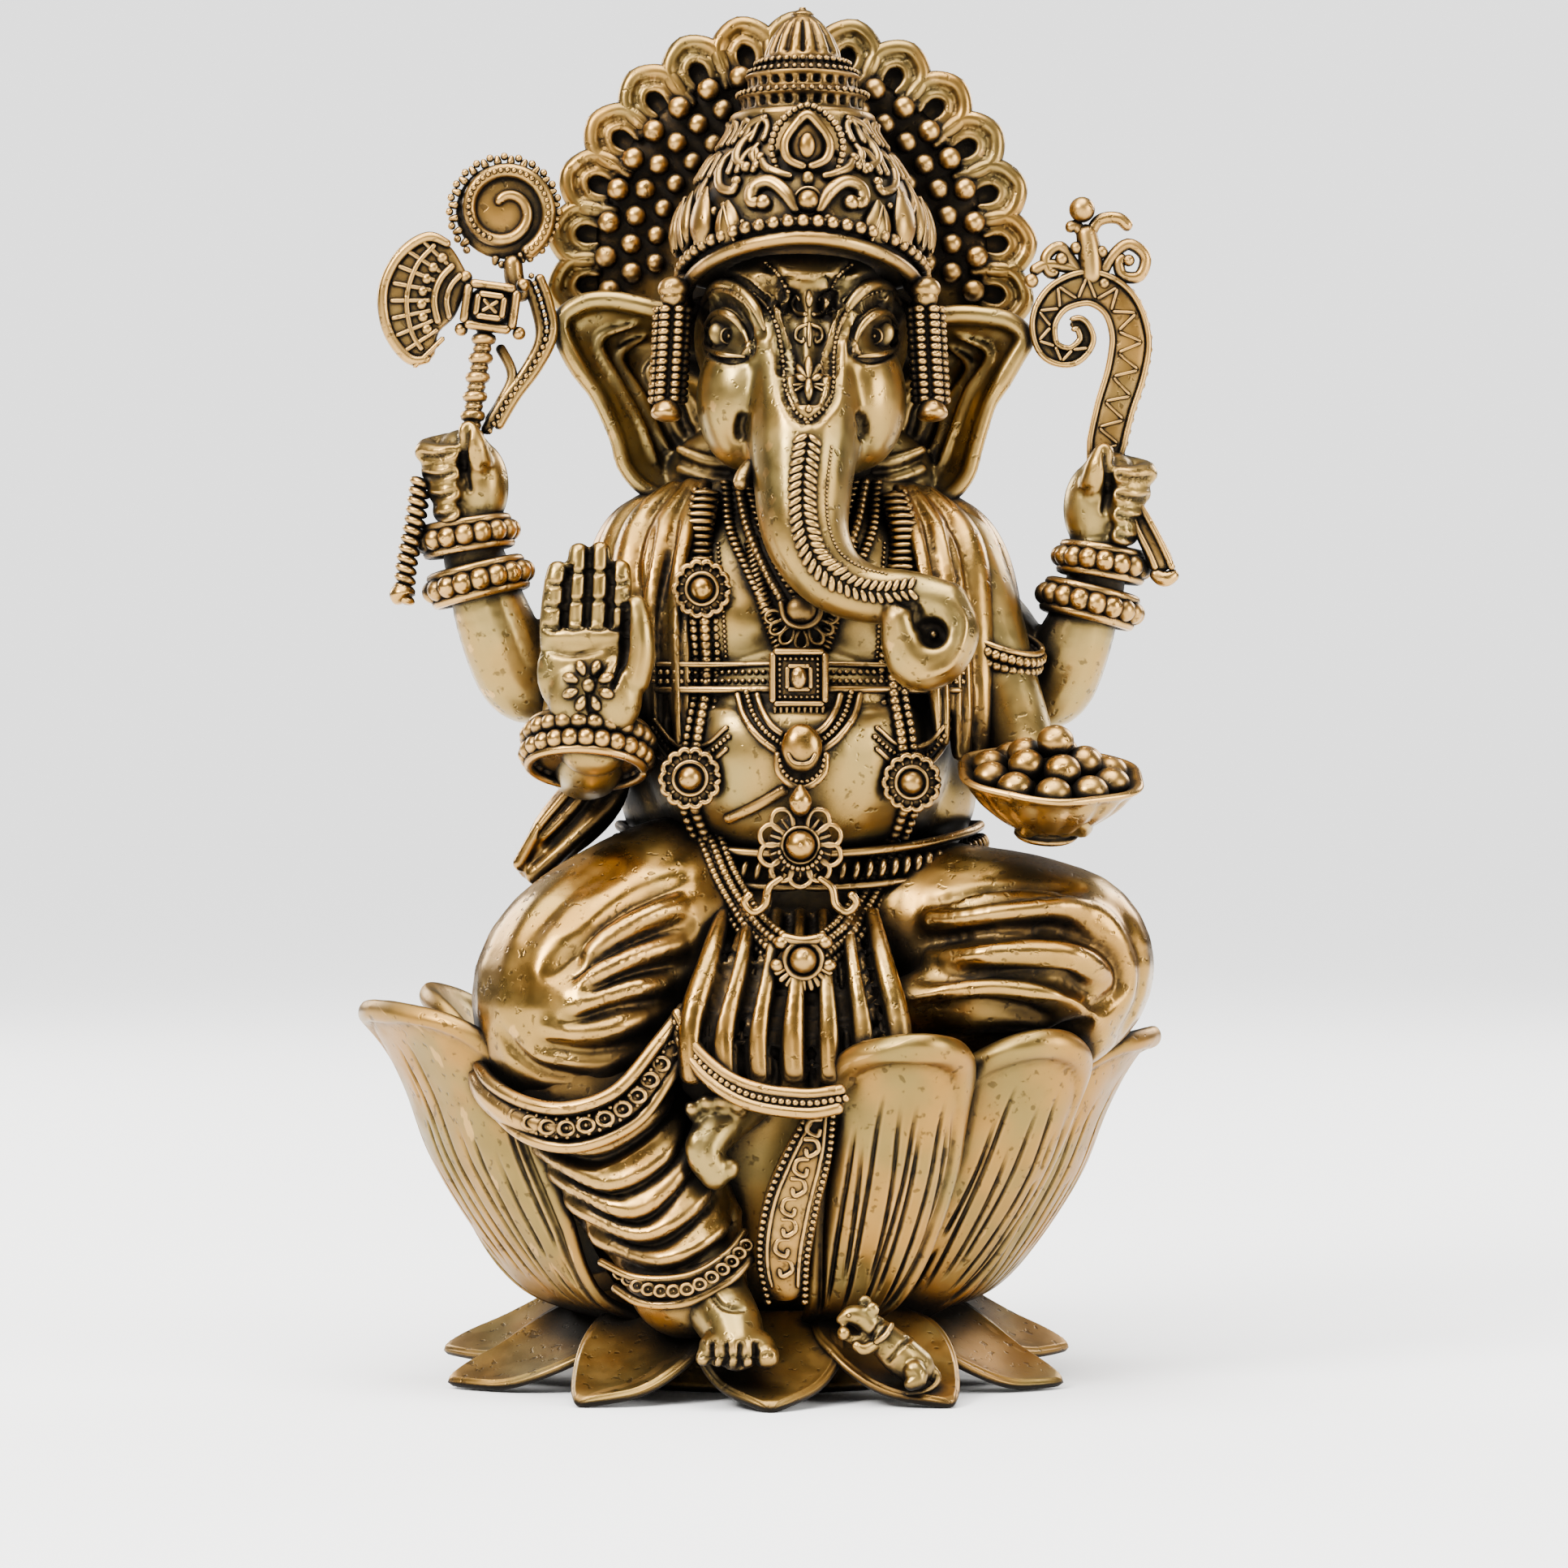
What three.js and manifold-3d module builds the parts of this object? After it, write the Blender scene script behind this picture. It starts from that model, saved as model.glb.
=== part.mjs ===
// Antique brass figurine: a seated, four-armed, elephant-headed deity on an open lotus.
// Millimetres, +Z up, front towards -Y. Each casting of the figurine is one named mesh.
import * as THREE from 'three';
import { mergeVertices } from 'three/addons/utils/BufferGeometryUtils.js';
import Module from 'manifold-3d';

const wasm = await Module();
wasm.setup();

// Driving dimensions
const totalHeight = 100;
const halfWidth = 30;
const halfDepth = 20;
const jointGap = 0.3; // clearance between neighbouring castings, where the brazing goes
const bodyX = 2.5; // the figure sits a little to +X of the lotus
const seatZ = 26.5; // top of the lotus core
const haloX = 1.8;
const haloZ = 82.3;
const haloRadius = 15.4; // to the roots of the feather eyes
const eyeRadius = 2.3; // one feather eye of the halo's rim
const eyeCount = 15;
const simplifyTolerance = 0.11; // finest bump kept in a coarse casting

const brassColours = {
  lotus_brass: 0xa07f50,
  drapery_brass: 0xc9b187,
  skin_brass: 0xd4c0aa,
  crown_brass: 0x938c77,
  ornament_brass: 0xc69150,
  emblem_brass: 0xb2935f,
};

// ---------- basic solids ----------

function toSolid(geometry) {
  const bare = geometry.clone();
  bare.deleteAttribute('normal');
  bare.deleteAttribute('uv');
  const merged = mergeVertices(bare, 1e-4);
  const corners = merged.index.array;
  const triVerts = [];
  for (let i = 0; i < corners.length; i += 3) {
    const [a, b, c] = [corners[i], corners[i + 1], corners[i + 2]];
    if (a !== b && b !== c && a !== c) triVerts.push(a, b, c);
  }
  return new wasm.Manifold(new wasm.Mesh({
    numProp: 3,
    vertProperties: new Float32Array(merged.attributes.position.array),
    triVerts: new Uint32Array(triVerts),
  }));
}

function toGeometry(solid) {
  const mesh = solid.getMesh();
  const geometry = new THREE.BufferGeometry();
  geometry.setAttribute('position', new THREE.BufferAttribute(new Float32Array(mesh.vertProperties), 3));
  geometry.setIndex(new THREE.BufferAttribute(new Uint32Array(mesh.triVerts), 1));
  return geometry;
}

// The same solid with its skin moved outwards, used to cut a joint gap into a neighbour
function grown(solid) {
  const geometry = toGeometry(solid);
  geometry.computeVertexNormals();
  const { position, normal } = geometry.attributes;
  const point = new THREE.Vector3();
  const outward = new THREE.Vector3();
  for (let i = 0; i < position.count; i += 1) {
    point.fromBufferAttribute(position, i);
    outward.fromBufferAttribute(normal, i);
    point.addScaledVector(outward, jointGap);
    position.setXYZ(i, point.x, point.y, point.z);
  }
  return toSolid(geometry);
}

function joined(...solids) {
  return solids.reduce((all, solid) => all.add(solid));
}

// An egg-shaped lump
function blob(centre, radii, { turn = [0, 0, 0], around = 12, rows = 8 } = {}) {
  const geometry = new THREE.SphereGeometry(1, around, rows);
  geometry.scale(...radii);
  geometry.rotateX(turn[0]);
  geometry.rotateY(turn[1]);
  geometry.rotateZ(turn[2]);
  geometry.translate(...centre);
  return toSolid(geometry);
}

// A round or flattened bar along a smooth curve, with one radius for each point.
// face is the direction of its thinner way when flat is below 1.
function limb(points, radii, { sides = 8, steps = 8, flat = 1, face = [0, -1, 0] } = {}) {
  const curve = new THREE.CatmullRomCurve3(points.map((p) => new THREE.Vector3(...p)));
  const endShare = 0.75;
  const profile = [new THREE.Vector2(0, 0)];
  for (let i = 0; i <= steps; i += 1) {
    profile.push(new THREE.Vector2(i === 0 || i === steps ? endShare : 1, i));
  }
  profile.push(new THREE.Vector2(0, steps));
  const geometry = new THREE.LatheGeometry(profile, sides);
  const { position } = geometry.attributes;
  const facing = new THREE.Vector3(...face);
  for (let i = 0; i < position.count; i += 1) {
    const t = position.getY(i) / steps;
    const place = t * (radii.length - 1);
    const low = Math.min(Math.floor(place), radii.length - 2);
    const radius = THREE.MathUtils.lerp(radii[low], radii[low + 1], place - low);
    const tangent = curve.getTangent(t);
    const thin = facing.clone().addScaledVector(tangent, -facing.dot(tangent)).normalize();
    const wide = new THREE.Vector3().crossVectors(thin, tangent);
    const point = curve.getPoint(t);
    point.addScaledVector(wide, position.getX(i) * radius);
    point.addScaledVector(thin, position.getZ(i) * radius * flat);
    position.setXYZ(i, point.x, point.y, point.z);
  }
  return outwards(geometry);
}

// Turns a solid's faces round when they point inwards
function outwards(geometry) {
  const solid = toSolid(geometry);
  if (solid.volume() > 0) return solid;
  const corners = geometry.index.array;
  for (let i = 0; i < corners.length; i += 3) {
    [corners[i], corners[i + 1]] = [corners[i + 1], corners[i]];
  }
  return toSolid(geometry);
}

// A petal or leaf from root to tip: width across, bulging by arch towards the side it faces
function leaf(root, tip, { face, width, thick, arch = 0, cup = 0, around = 10, rows = 8, blunt = 1 }) {
  const geometry = new THREE.SphereGeometry(1, around, rows);
  const start = new THREE.Vector3(...root);
  const along = new THREE.Vector3(...tip).sub(start);
  const axis = along.clone().normalize();
  const front = new THREE.Vector3(...face);
  front.addScaledVector(axis, -front.dot(axis)).normalize();
  const side = new THREE.Vector3().crossVectors(axis, front);
  const { position } = geometry.attributes;
  for (let i = 0; i < position.count; i += 1) {
    const t = (position.getY(i) + 1) / 2;
    const ring = Math.max(Math.sqrt(Math.max(1 - position.getY(i) ** 2, 0)), 1e-6);
    const across = position.getX(i) / ring;
    const depth = position.getZ(i) / ring;
    const fullness = Math.pow(ring, blunt) * (0.75 + 0.4 * t);
    const lift = arch * Math.sin(Math.PI * Math.pow(t, 0.8)) - cup * (across * fullness) ** 2;
    const point = start.clone().addScaledVector(along, t);
    point.addScaledVector(side, (across * fullness * width) / 2);
    point.addScaledVector(front, lift + (depth * Math.min(ring * 1.4, 1) * thick) / 2);
    if (ring <= 1e-6) point.copy(start).addScaledVector(along, t);
    position.setXYZ(i, point.x, point.y, point.z);
  }
  return outwards(geometry);
}

// A turned piece on a vertical axis; profile points are [radius, z]
function turned(centre, profile, { sides = 16, depthShare = 1 } = {}) {
  const geometry = new THREE.LatheGeometry(profile.map(([r, z]) => new THREE.Vector2(r, z)), sides);
  geometry.rotateX(Math.PI / 2);
  geometry.scale(1, depthShare, 1);
  geometry.translate(...centre);
  return outwards(geometry);
}

// A flat piece cut to an outline in the X-Z plane, thick from front to back
function plate(outline, thick, frontY) {
  const options = { depth: thick, bevelEnabled: false, curveSegments: 6 };
  const geometry = new THREE.ExtrudeGeometry(outline, options);
  geometry.rotateX(Math.PI / 2);
  geometry.translate(0, frontY + thick, 0);
  return outwards(mergeVertices(geometry));
}

function block(low, high) {
  const size = high.map((value, i) => value - low[i]);
  const geometry = new THREE.BoxGeometry(...size);
  geometry.translate(...low.map((value, i) => value + size[i] / 2));
  return toSolid(geometry);
}

// A ring of round bar; axis is the direction through its hole
function hoop(centre, radius, bar, axis, { depthShare = 1, around = 16, sides = 6 } = {}) {
  const geometry = new THREE.TorusGeometry(radius, bar, sides, around);
  geometry.scale(1, depthShare, 1);
  const turn = new THREE.Quaternion().setFromUnitVectors(
    new THREE.Vector3(0, 0, 1),
    new THREE.Vector3(...axis).normalize(),
  );
  geometry.applyQuaternion(turn);
  geometry.translate(...centre);
  return outwards(geometry);
}

// ---------- assembly ----------

const figurine = new THREE.Group();
const placed = [];

function overlaps(a, b) {
  return [0, 1, 2].every((i) => a.min[i] <= b.max[i] && b.min[i] <= a.max[i]);
}

// Trims a casting back from those already placed and adds it to its group
function place(group, name, slot, solid) {
  let piece = solid;
  for (const other of placed) {
    if (overlaps(piece.boundingBox(), other.skin.boundingBox())) piece = piece.subtract(other.skin);
  }
  piece = piece.simplify(simplifyTolerance);
  piece = piece.decompose().sort((a, b) => b.volume() - a.volume())[0];
  placed.push({ name, skin: grown(piece) });
  const geometry = toGeometry(piece);
  geometry.computeBoundingBox();
  const middle = geometry.boundingBox.getCenter(new THREE.Vector3());
  geometry.translate(-middle.x, -middle.y, -middle.z);
  geometry.computeVertexNormals();
  const material = new THREE.MeshStandardMaterial({
    color: brassColours[slot], roughness: 0.35, metalness: 1,
  });
  const mesh = new THREE.Mesh(geometry, material);
  mesh.name = name;
  mesh.position.copy(middle);
  group.add(mesh);
}

function section() {
  const group = new THREE.Group();
  figurine.add(group);
  return group;
}

// A place on an ellipse seen from above; turn 0 is the front, a quarter turn is +X
function around(turn, radiusX, radiusY, z) {
  return [radiusX * Math.sin(turn), -radiusY * Math.cos(turn), z];
}

const degrees = THREE.MathUtils.degToRad;

// ---------- lotus ----------

const lotus = section();

// Ring of drooping ground petals on a flat disc, the face the figurine stands on
const disc = turned([0, 0, 0], [[0, 0], [14, 0], [13, 3], [11, 5], [0, 5]], { sides: 24, depthShare: 0.72 });
const groundTurns = [-3, 38, 78, 106, 142, 180, 218, 254, 282, 320];
const groundReach = [20.6, 20.6, 22.6, 23.6, 21, 20.6, 21, 24.6, 24.2, 20.8];
let groundRing = disc;
groundTurns.forEach((angle, i) => {
  const turn = degrees(angle);
  const out = [Math.sin(turn), -Math.cos(turn)];
  const petal = leaf(
    [out[0] * 6, out[1] * 5, 4],
    [out[0] * groundReach[i], out[1] * Math.min(groundReach[i], halfDepth + 0.5), 0.8],
    { face: [0, 0, 1], width: 10.5, thick: 1.6, arch: 1.2, cup: 0.8, rows: 5, around: 8 },
  );
  groundRing = groundRing.add(petal);
});
groundRing = groundRing.intersect(block([-halfWidth, -halfDepth, 0], [halfWidth, halfDepth, 10]));
place(lotus, 'ground_petal_ring', 'lotus_brass', groundRing);

// Core: the cup inside the petals, which carries the figure
const coreProfile = [[0, 5.3], [12, 5.3], [16, 9], [20, 15], [21.5, 21], [21, seatZ], [0, seatZ]];
place(lotus, 'lotus_core', 'lotus_brass', turned([0, 1, 0], coreProfile, { sides: 20, depthShare: 0.7 }));

// Upright petals; turn in degrees from the front
const uprightPetals = [
  { name: 'petal_front_left', turn: 29, width: 12.5, top: 26.2 },
  { name: 'petal_side_left', turn: 62, width: 12.5, top: 26.4 },
  { name: 'petal_outer_left', turn: 95, width: 12, top: 26.4, reach: 29.6 },
  { name: 'petal_rear_left', turn: 128, width: 12.5, top: 28 },
  { name: 'petal_back_left', turn: 160, width: 12, top: 27 },
  { name: 'petal_back_right', turn: 194, width: 12.5, top: 28 },
  { name: 'petal_rear_right', turn: 228, width: 12.5, top: 27 },
  { name: 'petal_outer_right', turn: 258, width: 11, top: 29.2, reach: 26 },
  { name: 'petal_side_right', turn: 291, width: 14.5, top: 28.6, reach: 31.4 },
];
for (const petal of uprightPetals) {
  const turn = degrees(petal.turn);
  const reach = petal.reach ?? 28.6;
  const root = around(turn, 13.5, 9.5, 5.6);
  const tip = around(turn, reach, reach * 0.65, petal.top);
  const shape = leaf(root, tip, {
    face: around(turn, 1, 1, -0.35),
    width: petal.width,
    thick: 1.8,
    arch: 3.6,
    cup: 1.2,
    blunt: 0.6,
  });
  place(lotus, petal.name, 'lotus_brass', shape.intersect(
    block([-halfWidth, -halfDepth, 5.4], [halfWidth, halfDepth, 40]),
  ));
}

// ---------- body ----------

const body = section();

const torso = joined(
  blob([bodyX, -1.5, 44], [11.5, 10.8, 10], { around: 14, rows: 8 }),
  blob([bodyX, -0.5, 55], [11, 7.6, 9], { around: 12 }),
  blob([bodyX, 2.5, 34], [15, 10.5, 8.5], { around: 12, rows: 6 }),
  limb([[-8, 2.5, 60], [bodyX, 2.5, 62], [13, 2.5, 60]], [4, 5, 4], { steps: 4 }),
);
place(body, 'torso', 'skin_brass', torso);

// The hanging leg, on the figure's own right, in draped cloth
place(body, 'hanging_thigh', 'drapery_brass', joined(
  limb([[-3, 0, 35], [-9, -5, 33], [-13.5, -9, 28]], [7, 8.4, 7.6], { sides: 10, steps: 5 }),
  blob([-13.5, -9, 26.5], [7.8, 7.2, 6.6]),
));
place(body, 'hanging_shin', 'drapery_brass', limb(
  [[-13.5, -10, 21.5], [-11.5, -11.8, 17], [-8, -12.8, 12], [-4.6, -13.4, 8.2]],
  [6.2, 5.7, 5, 4], { sides: 10, steps: 5 },
));
place(body, 'hanging_foot', 'skin_brass', joined(
  blob([-2.6, -14.6, 6], [3, 3.6, 2.6]),
  blob([-2.4, -17, 4.6], [3.2, 2.4, 1.6]),
));

// The folded leg, on the figure's own left
place(body, 'folded_leg', 'drapery_brass', joined(
  limb([[7, 0, 33], [15, -2, 34], [22, -2, 30]], [7, 7.2, 6.8], { sides: 10, steps: 5 }),
  limb([[22, -3, 29.5], [15, -8, 27.5], [9, -10.5, 26.5]], [6.4, 6, 4.6], { sides: 10, steps: 5 }),
));
place(body, 'folded_foot', 'skin_brass', blob([-3.2, -14.2, 18.6], [3, 2.6, 2.6]));

// Cloth in front of the lap
const pleatXs = [-2.6, -0.2, 2.3, 4.8, 7.2];
const pleats = pleatXs.map((x, i) => limb(
  [[bodyX + (x - bodyX) * 0.75, -13.2, 32.5], [x, -15, 27.5], [x * 1.1 - 0.2, -15.2, 23.8 - 0.3 * i]],
  [1.1, 1.5, 1.55], { sides: 6, steps: 3 },
));
place(body, 'lap_pleats', 'drapery_brass', joined(...pleats));
place(body, 'lap_hem', 'ornament_brass', limb(
  [[-6.2, -14.6, 27.3], [-4, -16.6, 23.6], [0, -17.4, 21.6], [5.6, -17, 21.6]],
  [0.9, 1.1, 1.1, 0.9], { sides: 6, steps: 6, flat: 0.7 },
));
place(body, 'hanging_sash', 'drapery_brass', limb(
  [[3, -14.2, 20.2], [1.6, -14.6, 14], [1.8, -14, 6.8]], [2.2, 2.6, 2.4], { steps: 4, flat: 0.4 },
));
place(body, 'knee_hem', 'ornament_brass', limb(
  [[-20.6, -9.6, 22.8], [-18, -15.6, 19], [-12, -18.8, 18.8], [-6.6, -17, 24]],
  [1.1, 1.4, 1.4, 1], { sides: 6, steps: 7, flat: 0.7 },
));
place(body, 'waist_rope', 'ornament_brass', hoop(
  [bodyX, 1.6, 38.6], 14.6, 0.9, [0, 0.12, 1], { depthShare: 0.92, around: 20 },
));

// Shawl over both shoulders and its loose end
place(body, 'shawl_right', 'drapery_brass', limb(
  [[-5, 0, 65], [-8.6, -3.4, 60], [-8.4, -6.6, 52], [-9, -6, 44]],
  [2.2, 3.2, 3, 2.2], { steps: 6, flat: 0.7 },
));
place(body, 'shawl_left', 'drapery_brass', limb(
  [[10, 0, 65], [13.8, -3.4, 60], [14.6, -5.4, 52], [13.6, -6.4, 44.5]],
  [2.2, 3.2, 3, 2.2], { steps: 6, flat: 0.7 },
));
place(body, 'shawl_end', 'drapery_brass', limb(
  [[-11.4, 0, 45], [-14, -1, 41], [-18, -2, 36.6]], [1.6, 2.6, 1.2], { steps: 4, flat: 0.5 },
));

// ---------- head ----------

const head = section();

place(head, 'head', 'skin_brass', joined(
  blob([bodyX + 0.2, -2.5, 74.5], [8.4, 8.4, 8.6], { around: 14, rows: 8 }),
  blob([bodyX + 0.2, -5.6, 68.4], [6.4, 5.6, 6], { around: 10, rows: 6 }),
  blob([bodyX, 2.6, 66.6], [9.4, 4.8, 5], { around: 10, rows: 6 }),
  limb([[-0.6, -8, 67], [-1.8, -10.8, 64.4]], [0.9, 0.5], { sides: 6, steps: 3 }),
));
place(head, 'trunk', 'skin_brass', joined(
  limb(
    [[2.9, -10.4, 71], [2.6, -13.4, 66.7], [2.4, -14.6, 62], [3.5, -15.4, 59], [6, -16, 56.8],
      [9.6, -16.2, 56.4], [12.4, -15.8, 56]],
    [4.2, 4.4, 3.2, 2.9, 2.5, 2.3, 2.2], { sides: 10, steps: 12 },
  ),
  blob([11.4, -15.4, 53.4], [3.4, 2.8, 3.8]),
));

// Ears: outline points as [x from the head's middle, z], mirrored for the two sides
function ear(name, side, lift) {
  const outline = new THREE.Shape();
  const edge = [
    [-6.6, 78], [-12, 79], [-17.8, 77.8], [-16.6, 74.6], [-14.4, 71.5], [-13, 66], [-10, 63.6], [-6.6, 65],
  ];
  outline.setFromPoints(edge.map(([x, z]) => new THREE.Vector2(bodyX + 0.2 - side * x, z + lift)));
  place(head, name, 'skin_brass', plate(outline, 2.2, 1));
}
ear('ear_right', -1, 0);
ear('ear_left', 1, -1.2);

// Crown: dome, two pierced rings, fluted finial
const crownX = bodyX + 0.3;
const domeProfile = [[0, 80.4], [9.6, 80.4], [9.5, 83.5], [8.4, 87], [6.4, 90], [5, 92], [0, 92]];
place(head, 'crown_dome', 'crown_brass', joined(
  turned([crownX, -1.6, 0], domeProfile, { sides: 18, depthShare: 1.04 }),
  blob([crownX, -8.2, 88.6], [1.8, 1.4, 2.6], { around: 8, rows: 6 }),
));
const finialProfile = [
  [0, 92.3], [5.2, 92.3], [5, 93.6], [4.7, 93.7], [4.8, 95], [3.9, 95.3], [3.6, 96.4], [2.6, 98],
  [1, 99.2], [0.5, totalHeight], [0, totalHeight],
];
place(head, 'crown_finial', 'crown_brass', turned([crownX, -1.4, 0], finialProfile, { sides: 14 }));
place(head, 'brow_band', 'crown_brass', limb(
  [[-6.2, -4.4, 78.4], [-3, -9.6, 80.6], [bodyX + 0.2, -11.8, 81.4], [8.4, -9.6, 80.6], [11.4, -4.4, 78.4]],
  [0.8, 0.9, 0.9, 0.9, 0.8], { sides: 6, steps: 8, face: [0, 0, 1] },
));
const tasselProfile = [[0, 69.4], [1.4, 69.6], [1, 72], [0.9, 78], [1.2, 78.6], [0.9, 79.8], [0, 80]];
place(head, 'tassel_right', 'ornament_brass', turned([-7.2, -4.6, 0], tasselProfile, { sides: 8 }));
place(head, 'tassel_left', 'ornament_brass', turned([12.2, -4.6, -0.4], tasselProfile, { sides: 8 }));

// Halo: a plate whose rim is a row of feather eyes
const halo = new THREE.Shape();
const haloStart = degrees(-22);
const haloSweep = degrees(224);
halo.moveTo(haloX + haloRadius * Math.cos(haloStart), haloZ + haloRadius * Math.sin(haloStart));
const rimSteps = eyeCount * 4;
for (let i = 1; i <= rimSteps; i += 1) {
  const angle = haloStart + (haloSweep * i) / rimSteps;
  const scallop = Math.abs(Math.sin((Math.PI * i * eyeCount) / rimSteps));
  const radius = haloRadius + (eyeRadius - 0.1) * scallop;
  halo.lineTo(haloX + radius * Math.cos(angle), haloZ + radius * Math.sin(angle));
}
place(head, 'halo', 'crown_brass', plate(halo, 2.2, 5));

// ---------- arms, hands and what they hold ----------

const arms = section();

// Rear arms, raised; side is -1 for the figure's right and +1 for its left
place(arms, 'rear_arm_right', 'skin_brass', joined(
  limb(
    [[-9.6, 4.8, 59.4], [-14.6, 4, 53.2], [-18.6, 2.4, 50.8], [-20.8, 1, 54.6], [-21.8, 0, 61],
      [-21.4, -0.6, 64.5]],
    [3.2, 3, 2.9, 2.7, 2.2, 2.1], { steps: 10 },
  ),
  blob([-21.3, -0.8, 65.4], [2.2, 2, 4.2], { around: 8, rows: 6 }),
  blob([-24.2, -1.2, 67.8], [2, 2, 3.2], { around: 8, rows: 6 }),
));
place(arms, 'rear_arm_left', 'skin_brass', joined(
  limb(
    [[14.4, 4.8, 59.4], [18, 4, 53.2], [21.4, 2.4, 50.6], [23.4, 1, 54.6], [24.6, 0, 60], [24.8, -0.6, 63]],
    [3.2, 3, 2.9, 2.7, 2.2, 2.1], { steps: 10 },
  ),
  blob([24.8, -0.8, 63.8], [2.2, 2, 4.4], { around: 8, rows: 6 }),
  blob([27.2, -1.2, 65.4], [1.9, 2, 3], { around: 8, rows: 6 }),
));
const bracelets = [
  { name: 'bracelets_rear_right', low: [-21.4, 0.6, 57], high: [-22.1, 0, 62.6] },
  { name: 'bracelets_rear_left', low: [23.8, 0.7, 55.4], high: [25, 0, 60.8] },
];
const bands = [3.6, 4.2, 3.6, 4, 3.5]; // outer radius, from the elbow side to the hand
const wristHole = 3; // clears the wrist all round
for (const { name, low, high } of bracelets) {
  const reach = low.map((value, i) => value * 1.5 - high[i] * 0.5);
  const past = high.map((value, i) => value * 1.5 - low[i] * 0.5);
  const hole = limb([reach, past], [wristHole, wristHole], { sides: 10, steps: 2 });
  const ring = limb([low, high], bands, { sides: 10, steps: 8 });
  place(arms, name, 'ornament_brass', ring.subtract(hole));
}

// Axe and noose, held by the rear right hand
const fan = new THREE.Shape();
fan.moveTo(-21.8, 79.6);
fan.lineTo(-23.2, 82.6);
fan.absarc(-22.4, 78.2, 5.4, degrees(100), degrees(235), false);
fan.lineTo(-22, 76.6);
const boss = plate(new THREE.Shape([[-22.1, 76.6], [-18.9, 76], [-18.3, 79.4], [-21.5, 80]]
  .map(([x, z]) => new THREE.Vector2(x, z))), 3, -2.6);
place(arms, 'axe', 'emblem_brass', joined(
  plate(fan, 1.4, -1.8),
  boss,
  limb([[-20.2, -1.1, 77], [-21.2, -1.1, 73.5], [-22, -1.1, 70]], [0.8, 0.8, 0.8], { sides: 6, steps: 3 }),
));
place(arms, 'noose', 'emblem_brass', joined(
  limb([[-18.4, 0.6, 69], [-16.6, 0.6, 73], [-16, 0.6, 76.5], [-17, 0.6, 81.5]], [0.8, 0.8, 0.8, 1]),
  turned([0, 0, 0], [[0, -1], [4, -1], [4, 1], [0, 1]], { sides: 14 })
    .rotate([90, 0, 0]).translate([-19.2, 0.4, 85]),
));
place(arms, 'rope', 'ornament_brass', limb(
  [[-25.4, -1.6, 64.6], [-26, -1.4, 60.5], [-26.6, -1.2, 57]], [0.8, 0.7, 1.1], { sides: 6, steps: 4 },
));

// Goad and ribbon, held by the rear left hand
const curlBar = { sides: 6, steps: 4, flat: 0.6 };
place(arms, 'goad', 'emblem_brass', joined(
  limb(
    [[22.6, -0.2, 75], [20.6, -0.2, 75.2], [20, -0.2, 77.6], [21.8, -0.2, 79.6], [24.4, -0.2, 79.4],
      [26.4, -0.2, 76.6], [26, -0.2, 72.5], [25.6, -0.2, 69]],
    [0.9, 1, 1.2, 1.4, 1.5, 1.5, 1.3, 1], { sides: 6, steps: 14, flat: 0.8 },
  ),
  limb([[22.2, -0.2, 80], [22.6, -0.2, 83.4], [23.2, -0.2, 85.8]], [1.6, 1.9, 1], curlBar),
  limb([[22.8, -0.2, 83], [25.2, -0.2, 84.6], [26, -0.2, 82.6]], [1, 1.2, 1], curlBar),
));
place(arms, 'ribbon', 'ornament_brass', limb(
  [[27.5, -1.4, 63], [28.4, -1.4, 61], [29.2, -1.4, 59]], [1, 0.9, 1.3], { sides: 6, steps: 4 },
));

// Front right arm and the raised blessing hand
place(arms, 'front_arm_right', 'skin_brass', limb(
  [[-9, -1.5, 57], [-13.2, -3.5, 50], [-14.4, -6.4, 45.6], [-13.8, -9.6, 46.4]],
  [2.6, 3, 3, 2.8], { sides: 8, steps: 6, face: [1, 0, 0] },
));
const fingers = [
  { x: -14.9, top: 59.4 }, { x: -13.1, top: 60.8 }, { x: -11.3, top: 60.8 }, { x: -9.7, top: 59.2 },
];
const blessingFingers = fingers.map(({ x, top }) => limb(
  [[x, -11.8, 53], [x, -12.2, top]], [1, 0.85], { sides: 6, steps: 3 },
));
place(arms, 'blessing_hand', 'skin_brass', joined(
  blob([-12.3, -11.4, 50.6], [3.9, 2, 4.8]),
  limb([[-9.6, -12, 50], [-8.8, -12.6, 53.5], [-8.9, -12.6, 56.4]], [1.4, 1, 0.8], { sides: 6, steps: 4 }),
  ...blessingFingers,
));
place(arms, 'bracelet_front_right', 'ornament_brass', hoop(
  [-13.2, -10.2, 46.2], 3.9, 0.9, [0.1, -0.5, 1], { around: 12 },
));

// Front left arm, its armband, and the hand that carries the bowl
place(arms, 'front_arm_left', 'skin_brass', limb(
  [[14.4, 0, 59], [17.2, -2.6, 53.4], [18.4, -3.6, 48], [19.6, -5.6, 42.4]],
  [3, 3, 2.7, 2.6], { steps: 7 },
));
place(arms, 'armband', 'ornament_brass', hoop(
  [17.3, -2.7, 53.3], 3.2, 0.8, [0.25, -0.3, -1], { around: 12 },
));
const bowlProfile = [[0, 39.2], [3, 39.4], [5.6, 41.4], [6.7, 44], [6.7, 44.8], [0, 44.8]];
const sweetRows = [
  { count: 7, ring: 4.6, z: 45.6 },
  { count: 3, ring: 1.9, z: 47 },
];
let sweets = joined(
  turned([19.8, -10.4, 0], bowlProfile, { depthShare: 0.95 }),
  blob([19.8, -10.4, 44.9], [5.4, 5.2, 2.4], { around: 10, rows: 6 }),
);
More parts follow.
